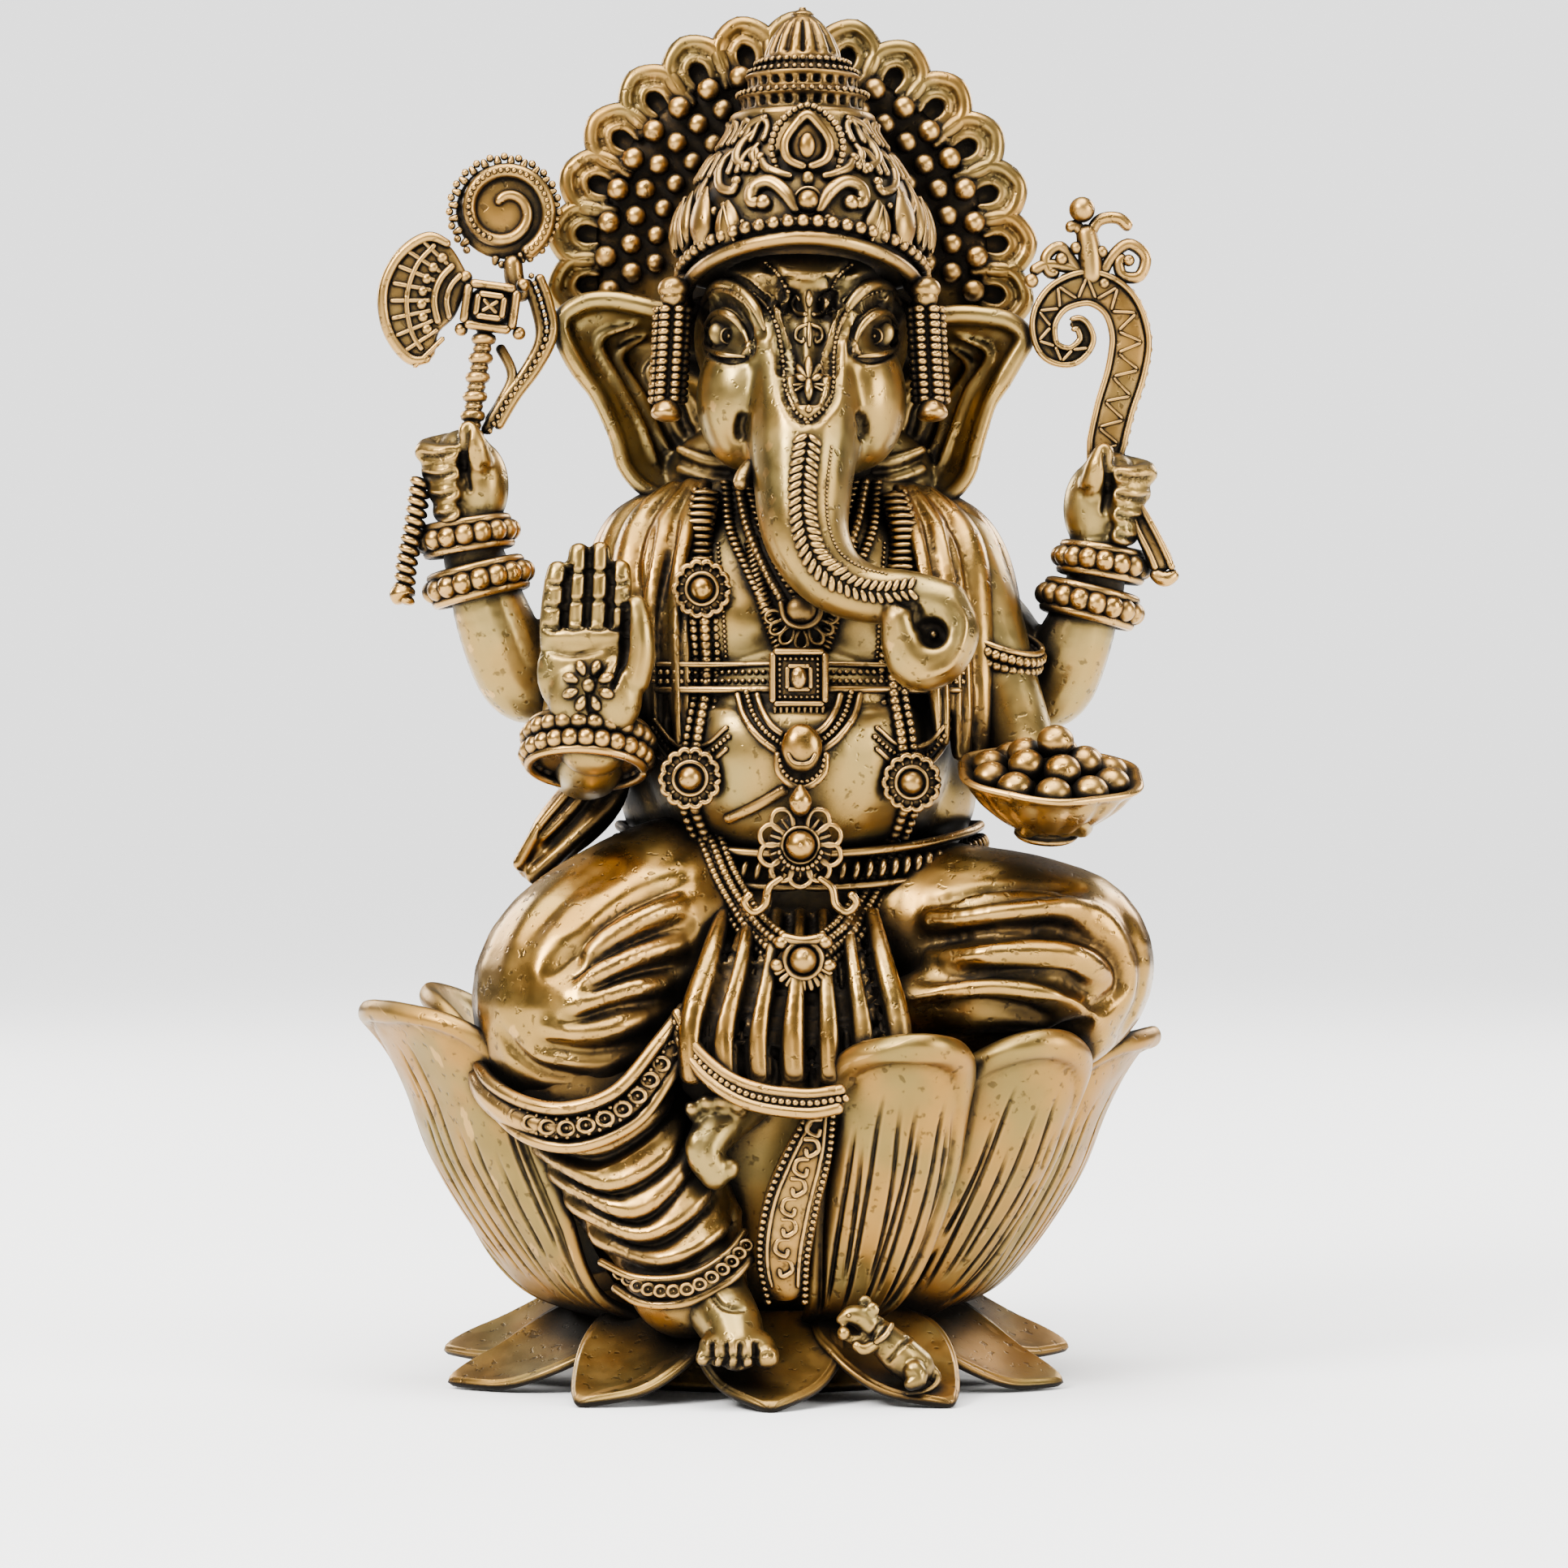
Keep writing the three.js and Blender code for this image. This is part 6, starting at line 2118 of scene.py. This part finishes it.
def makeChest():
    # pendant under the trunk: a dome in a crescent with open petals and a drop
    x, z = 2.5, 55.4
    y = frontOf(x, z)[1] - 0.7
    parts = [
        addBall((x, y, z + 0.5), (1.15, 0.7, 1)),
        addBar(
            moved(
                (x, y, z),
                [(-1.5, 0, 1.2), (-1.1, -0.1, -0.2), (0, -0.15, -0.75), (1.1, -0.1, -0.2), (1.5, 0, 1.2)]
            ),
            0.26, steps=44
        )
    ]
    for angle in (-172, -148, -122, -90, -58, -32, -8):
        parts.append(addLoop(onCircle((x, y + 0.15, z + 0.3), 1.1, angle), angle, 1.5, 0.8, 0.15))
    parts.append(addBall((x, y, z - 2.6), (0.3, 0.3, 0.45), around=12, rings=8))
    # three strands of necklace on each side, running down to the pendant
    for sign in (-1, 1):
        for shift, count, size in ((0, 22, 0.42), (1.25, 24, 0.36), (-1, 20, 0.3)):
            line = [
                (bodyX + sign * (4.6 + shift * 0.7), 65.4), (bodyX + sign * (3.9 + shift), 62),
                (bodyX + sign * (2.6 + shift), 58.8),
                (bodyX + sign * (1.3 + shift * 0.9), 56.4 - 0.4 * shift)
            ]
            rows = laidOn(line, count, 0.35, ease=4)
            parts.append(addBeads(rows, size, squash=(1.25, 0.9, 0.7) if shift else (1, 1, 1)))
        # rope strand reaching down to the chest band
        rope = laidOn(
            [(bodyX + sign * 3.6, 61), (bodyX + sign * 3, 57.5), (bodyX + sign * 1.6, 53.4)], 22, 0.2,
            ease=3
        )
        for spot in rope:
            parts.append(
                addBall(
                    tuple(spot), (0.62, 0.42, 0.22), (0, sign * math.radians(28), 0), around=12, rings=8
                )
            )
        line = [(bodyX + sign * 6, 60.8), (bodyX + sign * 5.6, 56), (bodyX + sign * 5.4, 52.6)]
        parts.append(addBeads(laidOn(line, 24, 0.05, ease=2), 0.17, detail=1))
    finishPiece(parts, "chest_pendant", "ornament_brass")

    # chest band, square buckle, looped straps and oval pendant
    parts = []
    for z, size in ((52, 0.24), (50.2, 0.28)):
        rail = laidOn([(-9, z), (-4.5, z), (bodyX, z), (9.5, z), (14, z)], 28, 0.1, ease=4)
        parts.append(addBar(rail, size, sides=8, steps=90))
    for z in (51.45, 50.8):
        parts.append(addBeads(laidOn([(-9, z), (bodyX, z), (14, z)], 48, 0.12, ease=4), 0.24, detail=1))
    x, z = 2.3, 51
    y = frontOf(x, z)[1] - 0.8
    half = 1.85

    def squareOf(size, lift, bar):
        corners = [(-1, -1), (1, -1), (1, 1), (-1, 1), (-1, -1)]
        bars = []
        for (a, b), (c, d) in zip(corners, corners[1:]):
            line = [
                (x + u * size, y - lift, z + v * size)
                for u, v in ((a, b), ((a + c) / 2, (b + d) / 2), (c, d))
            ]
            bars.append(addBar(line, bar, sides=8))
        return bars

    parts += squareOf(half, 0.25, 0.26) + squareOf(0.82, 0.35, 0.2)
    bedding = addBall((x, y + 0.4, z), (2, 0.6, 2))
    points = getPoints(bedding)
    points[:, 0] = x + np.clip((points[:, 0] - x) * 1.25, -half, half)
    points[:, 2] = z + np.clip((points[:, 2] - z) * 1.25, -half, half)
    setPoints(bedding, points)
    parts.append(bedding)
    parts.append(addBall((x, y - 0.3, z), (0.95, 0.55, 0.95), around=4, rings=8))  # four-sided cushion
    row = []
    for t in np.linspace(-1, 1, 8):
        row += [
            (x + t * 1.35, y - 0.2, z + 1.35), (x + t * 1.35, y - 0.2, z - 1.35),
            (x - 1.35, y - 0.2, z + t * 1.35), (x + 1.35, y - 0.2, z + t * 1.35)
        ]
    parts.append(addBeads(row, 0.16, detail=1))
    for k in range(9):
        px = x - 1.7 + 0.425 * k
        parts.append(
            addBar([(px, y - 0.2, z - 1.9), (px, y - 0.25, z - 2.6)], [0.22, 0.1], sides=6, steps=8)
        )
    parts.append(
        addBar(
            [(x - 1.8, y - 0.05, z - 2.8), (x, y - 0.15, z - 2.9), (x + 1.8, y - 0.05, z - 2.8)], 0.24,
            sides=8, steps=24
        )
    )
    for sign in (-1, 1):
        strap = [
            (x + sign * 4.4, 50), (x + sign * 3.9, 48.3), (x + sign * 2.8, 46.8), (x + sign * 1.4, 45.7)
        ]
        innerStrap = [
            (x + sign * 3, 50), (x + sign * 2.6, 48.7), (x + sign * 1.9, 47.6), (x + sign * 1, 46.9)
        ]
        for line in (strap, innerStrap):
            parts.append(addBar(laidOn(line, 14, 0.3, ease=2), 0.26, sides=8, steps=40))
        middle = [((a + c) / 2, (b + d) / 2) for (a, b), (c, d) in zip(strap, innerStrap)]
        parts.append(addBeads(laidOn(middle, 14, 0.2, ease=2), 0.24))
    x, z = 2.5, 45.6
    y = frontOf(x, z)[1] - 0.7
    parts.append(addBall((x, y - 0.1, z + 0.4), (1.45, 0.95, 1.75), around=32, rings=20))
    parts.append(
        addBar(
            moved(
                (x, y, z),
                [(-1.7, 0, 0.2), (-1.5, -0.1, -1.4), (0, -0.2, -2.4), (1.5, -0.1, -1.4), (1.7, 0, 0.2)]
            ),
            0.3, steps=44
        )
    )
    for k in range(13):
        a = math.radians(-175 + 14.2 * k)
        parts.append(
            addBall(
                (x + 1.55 * math.cos(a), y - 0.2, z - 0.3 + 1.65 * math.sin(a)), (0.2, 0.3, 0.2), around=10,
                rings=6
            )
        )
    parts.append(
        addBar(
            moved((x, y, z), [(-1, -0.8, 0.1), (-0.5, -0.95, -0.6), (0.5, -0.95, -0.6), (1, -0.8, 0.1)]),
            0.14, sides=8, steps=24
        )
    )
    # flat cord slanting over the belly, bead swags at the sides
    parts.append(
        addBar(laidOn([(-3, 40.9), (-0.8, 41.9), (1.5, 43.2)], 10, 0.15, ease=2), 0.42, flat=0.55, steps=40)
    )
    for sign in (-1, 1):
        for drop in (0, 0.75, 1.5):
            line = [
                (x + sign * 5.2, 47.6 - drop), (x + sign * 7, 46.2 - drop), (x + sign * 9, 46.4 - drop),
                (x + sign * 10.6, 48.2 - drop)
            ]
            if drop == 0.75:
                parts.append(addBeads(laidOn(line, 20, 0.15, ease=2), 0.22, detail=1))
            else:
                parts.append(addBar(laidOn(line, 14, 0.1, ease=2), 0.2, sides=8, steps=40))
    finishPiece(parts, "chest_buckle", "ornament_brass")

    # flower brooch on the belt
    x, z = 2.4, 39.2
    y = -13.4
    parts = []
    for k in range(10):
        angle = -90 + 36 * k
        if k == 5:
            continue
        parts.append(addLoop(onCircle((x, y, z), 1, angle), angle, 1.95, 1.35, 0.2))
        parts.append(
            addBar(
                [onCircle((x, y, z), 1.1, angle), onCircle((x, y + 0.05, z), 2.3, angle)], [0.2, 0.1],
                sides=6, steps=10
            )
        )
    parts.append(
        addBar(
            [(x, y - 0.2, z + 4.3), (x, y - 0.3, z + 3.2), (x, y - 0.2, z + 2)], [0.12, 0.8, 0.5], sides=14,
            steps=24
        )
    )
    parts.append(addBall((x, y - 0.4, z), (1.05, 1, 1.05)))
    parts.append(addBar([(x, y - 0.9, z - 0.1), (x, y - 1.5, z + 0.1)], [0.5, 0.1], steps=12))
    parts.append(addRing((x, y - 0.2, z), 1.25, 0.16, around=36))
    for k in range(12):
        a = math.radians(-165 + 13.6 * k)
        parts.append(
            addBall(
                (x + 1.5 * math.cos(a), y - 0.3, z - 0.1 + 1.55 * math.sin(a)), (0.2, 0.24, 0.2), around=10,
                rings=6
            )
        )
    parts.append(addBall((x, y + 0.6, z), (2.3, 0.6, 2.3)))
    for sign in (-1, 1):
        curl = [
            (x + sign * 1.2, 37), (x + sign * 2.2, 36.2), (x + sign * 2.5, 35), (x + sign * 3.3, 34.5),
            (x + sign * 3.9, 35.2), (x + sign * 3.4, 35.9)
        ]
        parts.append(
            addBar([(px, y - 0.1, pz) for px, pz in curl], [0.22, 0.3, 0.32, 0.3, 0.3, 0.36], steps=44)
        )
    finishPiece(parts, "belly_brooch", "ornament_brass")

    # rope belt of short ribs round the waist, with a smooth cord above it
    def waist(a, wide, deep, lift=0):
        level = 39.2 - 2 * max(math.cos(a), 0) ** 1.5  # lower at the front
        return (bodyX - 0.1 + wide * math.sin(a), 0.8 - deep * math.cos(a), level + lift)

    ribShape = Matrix.Rotation(math.radians(14), 4, "Y") @ Matrix.Diagonal((0.27, 0.5, 0.75, 1))
    angles = [2 * math.pi * k / 84 for k in range(84)]
    ribs = [
        Matrix.Translation(waist(a, 13.4, 10.3)) @ Matrix.Rotation(a, 4, "Z") @ ribShape for a in angles
    ]
    ring = np.linspace(0, 2 * math.pi, 61)
    cord = [waist(a, 13.2, 10, 1.3) for a in ring]
    second = [waist(a, 13.3, 10.1, -1.1) for a in ring]
    bead = smallBead(2)
    rope = copies(bead, ribs)
    discard(bead)
    belt = joinAll([rope, addBar(cord, 0.36, steps=160), addBar(second, 0.3, steps=160)])
    finishPiece(belt, "waist_rope", "ornament_brass")


makeChest()
say("chest ready")


# hems, sash and feet


def addRingChain(line, count, size, bar):
    # a chain of small rings lying on a line in space, facing forwards
    parts = []
    path = evenPath(line, count)
    for spot in path:
        parts.append(addRing(tuple(spot), size, bar, stretch=(1, 0.85), around=18, sides=6))
        parts.append(addBall(tuple(spot + [0, 0.05, 0]), size * 0.3, around=8, rings=6))
    return parts


def makeCloth():
    upper = [
        (-6.4, -15, 27.8), (-4.6, -16.2, 24.8), (-1.6, -17.2, 22.7), (2.4, -17.6, 22), (5.6, -17.4, 22.3)
    ]
    lower = [
        (-6.3, -15.2, 25.9), (-4.2, -16.6, 23.1), (-1.2, -17.5, 21.3), (2.8, -17.8, 20.7),
        (5.4, -17.5, 21.1)
    ]
    middle = [tuple(np.add(a, b) / 2 + [0, -0.1, 0]) for a, b in zip(upper, lower)]
    parts = [
        addBar(upper, 0.42, steps=60),
        addBar(lower, 0.46, steps=60),
        addBar([(x, y + 0.35, z) for x, y, z in middle], 0.85, flat=0.5, sides=12, steps=60),
        addBeads(evenPath(middle, 30), 0.3),
    ]
    finishPiece(parts, "lap_hem", "ornament_brass")

    upper = [
        (-20.9, -8.4, 24.4), (-19.4, -12.8, 22.5), (-16.6, -15.6, 21.2), (-13.6, -17, 21),
        (-10.4, -17, 22.2), (-7.6, -15.8, 25.4), (-5.6, -13.8, 28)
    ]
    lower = [
        (-20.2, -8.2, 22.4), (-18.8, -12.6, 20.2), (-16.2, -15.4, 18.6), (-12.8, -16.6, 18.3),
        (-9, -16.4, 20), (-6.6, -15.4, 23.2), (-5, -13.6, 26)
    ]
    middle = [tuple(np.add(a, b) / 2 + [0, -0.25, 0]) for a, b in zip(upper, lower)]
    parts = [
        addBar(upper, 0.5, steps=80),
        addBar(lower, 0.46, steps=80),
        # reaches back to the leg
        addBar([(x, y + 2, z) for x, y, z in middle], 1.3, flat=1.5, sides=12, steps=60),
    ]
    parts += addRingChain(middle[1:], 15, 0.56, 0.19)
    for rise in (-0.62, 0.62):
        parts.append(addBeads(evenPath([(x, y, z + rise) for x, y, z in middle[1:]], 26), 0.18, detail=1))
    finishPiece(parts, "knee_hem", "ornament_brass")

    # sash hanging to the ground with beaded edges and a chain of scrolls
    spine = [
        (3.9, -15.4, 20.8), (2.9, -15.6, 17.6), (1.8, -15.2, 14.2), (1.2, -14.6, 10.4), (1.4, -13.8, 7.2)
    ]
    widths = [0.9, 1.7, 2, 1.9, 1.5]
    parts = [addBar(spine, widths, flat=0.3, sides=16, steps=50)]
    fine = evenPath(np.column_stack([np.array(spine), widths]), 30)
    for sign in (-1, 1):
        edge = [(x + sign * w * 0.86, y - 0.35, z) for x, y, z, w in fine]
        parts.append(addBeads(edge, 0.27, squash=(1, 1, 0.8)))
        parts.append(
            addBar([(x - sign * 0.5, y - 0.15, z) for x, y, z in edge[::3]], 0.16, sides=8, steps=50)
        )
    for k in range(3, 27, 3):
        x, y, z, w = fine[k]
        sign = -1 if (k // 3) % 2 else 1
        curl = [
            (x - sign * 0.5, z + 0.7), (x + sign * 0.4, z + 0.6), (x + sign * 0.6, z - 0.1),
            (x - sign * 0.1, z - 0.5), (x - sign * 0.3, z + 0.1)
        ]
        parts.append(addBar([(px, y - 0.55, pz) for px, pz in curl], 0.2, sides=8, steps=28))
    finishPiece(parts, "hanging_sash", "ornament_brass")

    # the foot on the ground, then the rings on the ankle hem
    foot = addLimb(
        [(-4.6, -12.2, 9.4), (-3.6, -13.6, 7.4), (-2.4, -15.6, 5.6), (-2, -17.2, 4.4)], [2.9, 2.5, 2.2, 1.7]
    )
    foot.append(addBall((-2, -16.8, 4.4), (2.7, 1.8, 1.5)))
    for x, y, size in (
        (-4.3, -17.9, 0.55), (-3.3, -18.3, 0.56), (-2.3, -18.5, 0.58), (-1.25, -18.6, 0.62),
        (0.05, -18.4, 0.85)
    ):
        foot.append(
            addBar(
                [(x * 0.9 - 0.1, y + 1.8, 4.3), (x, y + 0.6, 3.7), (x, y, 3.3)], [size, size * 1.08, size],
                sides=12, steps=18
            )
        )
    foot = fuse(foot, voxel=0.17, smooth=2)
    for x in (-3.8, -2.8, -1.78, -0.7):
        press(foot, [(x, 4.9), (x, 4), (x, 2.9)], 0.15, 0.55, taper=0.1)
    for x, z in ((-4.3, 3.7), (-3.3, 3.7), (-2.3, 3.75), (-1.25, 3.75), (0.1, 3.9)):
        press(foot, [(x - 0.35, z), (x, z + 0.22), (x + 0.35, z)], 0.12, 0.2, taper=0.1)
    press(foot, [(-4, 8.2), (-3, 7.2), (-1.4, 7)], 0.2, 0.3)
    finishPiece(foot, "hanging_foot", "skin_brass")
    rings = addRingChain(
        [
            (-10.2, -14.2, 9.2), (-8.4, -15.9, 8.3), (-5.4, -16.9, 8.4), (-2.9, -16.3, 9.8),
            (-1.4, -14.6, 11.2)
        ],
        13, 0.42, 0.15
    )
    finishPiece(rings, "ankle_rings", "ornament_brass", nodes=[])

    sole = addLimb(
        [(-1.2, -11.6, 21.4), (-3.2, -13.6, 19.6), (-4.3, -14.8, 17.8), (-3.6, -14.8, 16.2)],
        [1.9, 1.7, 1.4, 1.1]
    )
    for x, z, size in ((-5.4, 21.2, 0.55), (-4.4, 21.7, 0.6), (-3.3, 21.8, 0.62), (-2.2, 21.5, 0.6)):
        sole.append(addBar([(x + 0.6, -14.2, z - 1.2), (x, -15.4, z)], size, sides=12, steps=14))
    sole.append(addBall((-4.7, -15.2, 18), (1, 0.9, 1.5)))
    sole.append(addBall((-2.6, -14.8, 16.6), 0.8))
    sole = fuse(sole, voxel=0.2, smooth=2)
    finishPiece(sole, "folded_foot", "skin_brass")


makeCloth()
say("cloth ready")


# bowl of sweets and the mouse


def makeBowl():
    bowl = addTurned(
        [
            [0, 0], [1.8, 0], [2.4, 0.5], [2.1, 0.9], [3.6, 1.8], [5.4, 3.4], [6.5, 5], [6.95, 5.5],
            [6.6, 5.85], [5.9, 5.4], [4.6, 4.6], [0, 4.2]
        ],
        (0, 0, 0), around=144, steps=70,
    )
    points = getPoints(bowl)
    angle = np.arctan2(points[:, 0], -points[:, 1])
    radius = np.hypot(points[:, 0], points[:, 1])
    outside = np.clip((points[:, 2] - 1) / 1, 0, 1) * np.clip(
        (5.3 - points[:, 2]) / 0.5, 0, 1
    ) * (radius > 2 + 0.82 * points[:, 2])
    flute = 1 - 0.07 * outside * (1 - np.abs(np.cos(angle * 8)) ** 0.5)
    wave = 1 + 0.03 * np.clip((points[:, 2] - 4.4) / 1, 0, 1) * np.cos(angle * 6)
    points[:, 0] *= flute * wave
    points[:, 1] *= flute * wave * 0.86
    setPoints(bowl, points)
    parts = [bowl]
    sweets = [(4.6 * math.sin(a), -4 * math.cos(a), 5.5) for a in np.linspace(0, 2 * math.pi, 11)[:-1]]
    sweets += [
        (2.3 * math.sin(a + 0.3), -2.1 * math.cos(a + 0.3), 6.7)
        for a in np.linspace(0, 2 * math.pi, 6)[:-1]
    ]
    sweets += [(0.2, 0.2, 8.3), (0, 0, 5.6)]
    for x, y, z in sweets:
        parts.append(
            addBar(
                [(x, y, z - 1.1), (x, y, z), (x, y, z + 1.35)], [1, 1.3, 0.16], facing=(0, -1, 0.01),
                sides=18
            )
        )
        parts.append(addBall((x, y, z), (1.36, 1.36, 1.3), around=22, rings=14))
    bowl = joinAll(parts)
    bowl.data.transform(
        Matrix.Translation((19.8, -10.2, 39.6)) @ Matrix.Rotation(
            math.radians(20), 4, "X"
        ) @ Matrix.Rotation(math.radians(3), 4, "Y") @ Matrix.Diagonal((0.97, 0.97, 0.88, 1))
    )
    finishPiece(bowl, "bowl_of_sweets", "ornament_brass")


def makeMouse():
    parts = addLimb(
        [(10.4, -15.3, 2.8), (9.2, -15.5, 3.8), (7.8, -15.7, 5.2), (6.9, -15.9, 6.1)],
        [1.35, 1.4, 1.05, 0.85]
    )
    parts += addLimb([(6.9, -15.9, 6.2), (6, -16.2, 6.5), (5.2, -16.4, 6.2)], [0.85, 0.7, 0.34])
    parts += [
        addBall((6.9, -15.2, 7.2), (0.55, 0.3, 0.6)),
        addBall((7.4, -16.4, 6.9), (0.5, 0.3, 0.55)),
        addBar(
            [(9.8, -16.4, 3.2), (10.6, -16.9, 2.2), (9.6, -17.2, 1.6)], [0.9, 0.7, 0.4], sides=12, steps=18
        ),
        addBar([(7.8, -16.4, 4.6), (6.8, -17, 4.2), (6, -17, 4.7)], [0.5, 0.42, 0.3], steps=18),
        addBar([(7, -16.2, 4.8), (5.9, -16.5, 4.9), (5.5, -16.6, 5.4)], [0.45, 0.36, 0.28], steps=18),
        addBall((5.4, -16.8, 5.3), 0.5),
        addBar(
            [(11.2, -15, 3), (12, -15.2, 2), (11.2, -16, 1.2), (9.6, -16.6, 1.1)], [0.4, 0.3, 0.26, 0.2],
            sides=8, steps=24
        ),
    ]
    mouse = fuse(parts, voxel=0.14, smooth=2)
    press(mouse, [(7.2, 4.8), (8, 6), (8.6, 6.2)], 0.14, 0.25, taper=0.1)
    press(mouse, [(8.4, 3.2), (9.4, 4.4), (10.2, 5)], 0.14, 0.25, taper=0.1)
    strap = addBar([(7.5, -16.9, 4.6), (8.3, -17.1, 5.2), (8.8, -16.5, 6)], 0.2, sides=8)
    finishPiece(
        [mouse, strap, addBall((5.75, -16.9, 6.55), 0.14, around=8, rings=6)], "mouse",
        "skin_brass"
    )


makeBowl()
makeMouse()
say("bowl and mouse ready")


# last steps

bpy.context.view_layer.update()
say("all pieces ready")
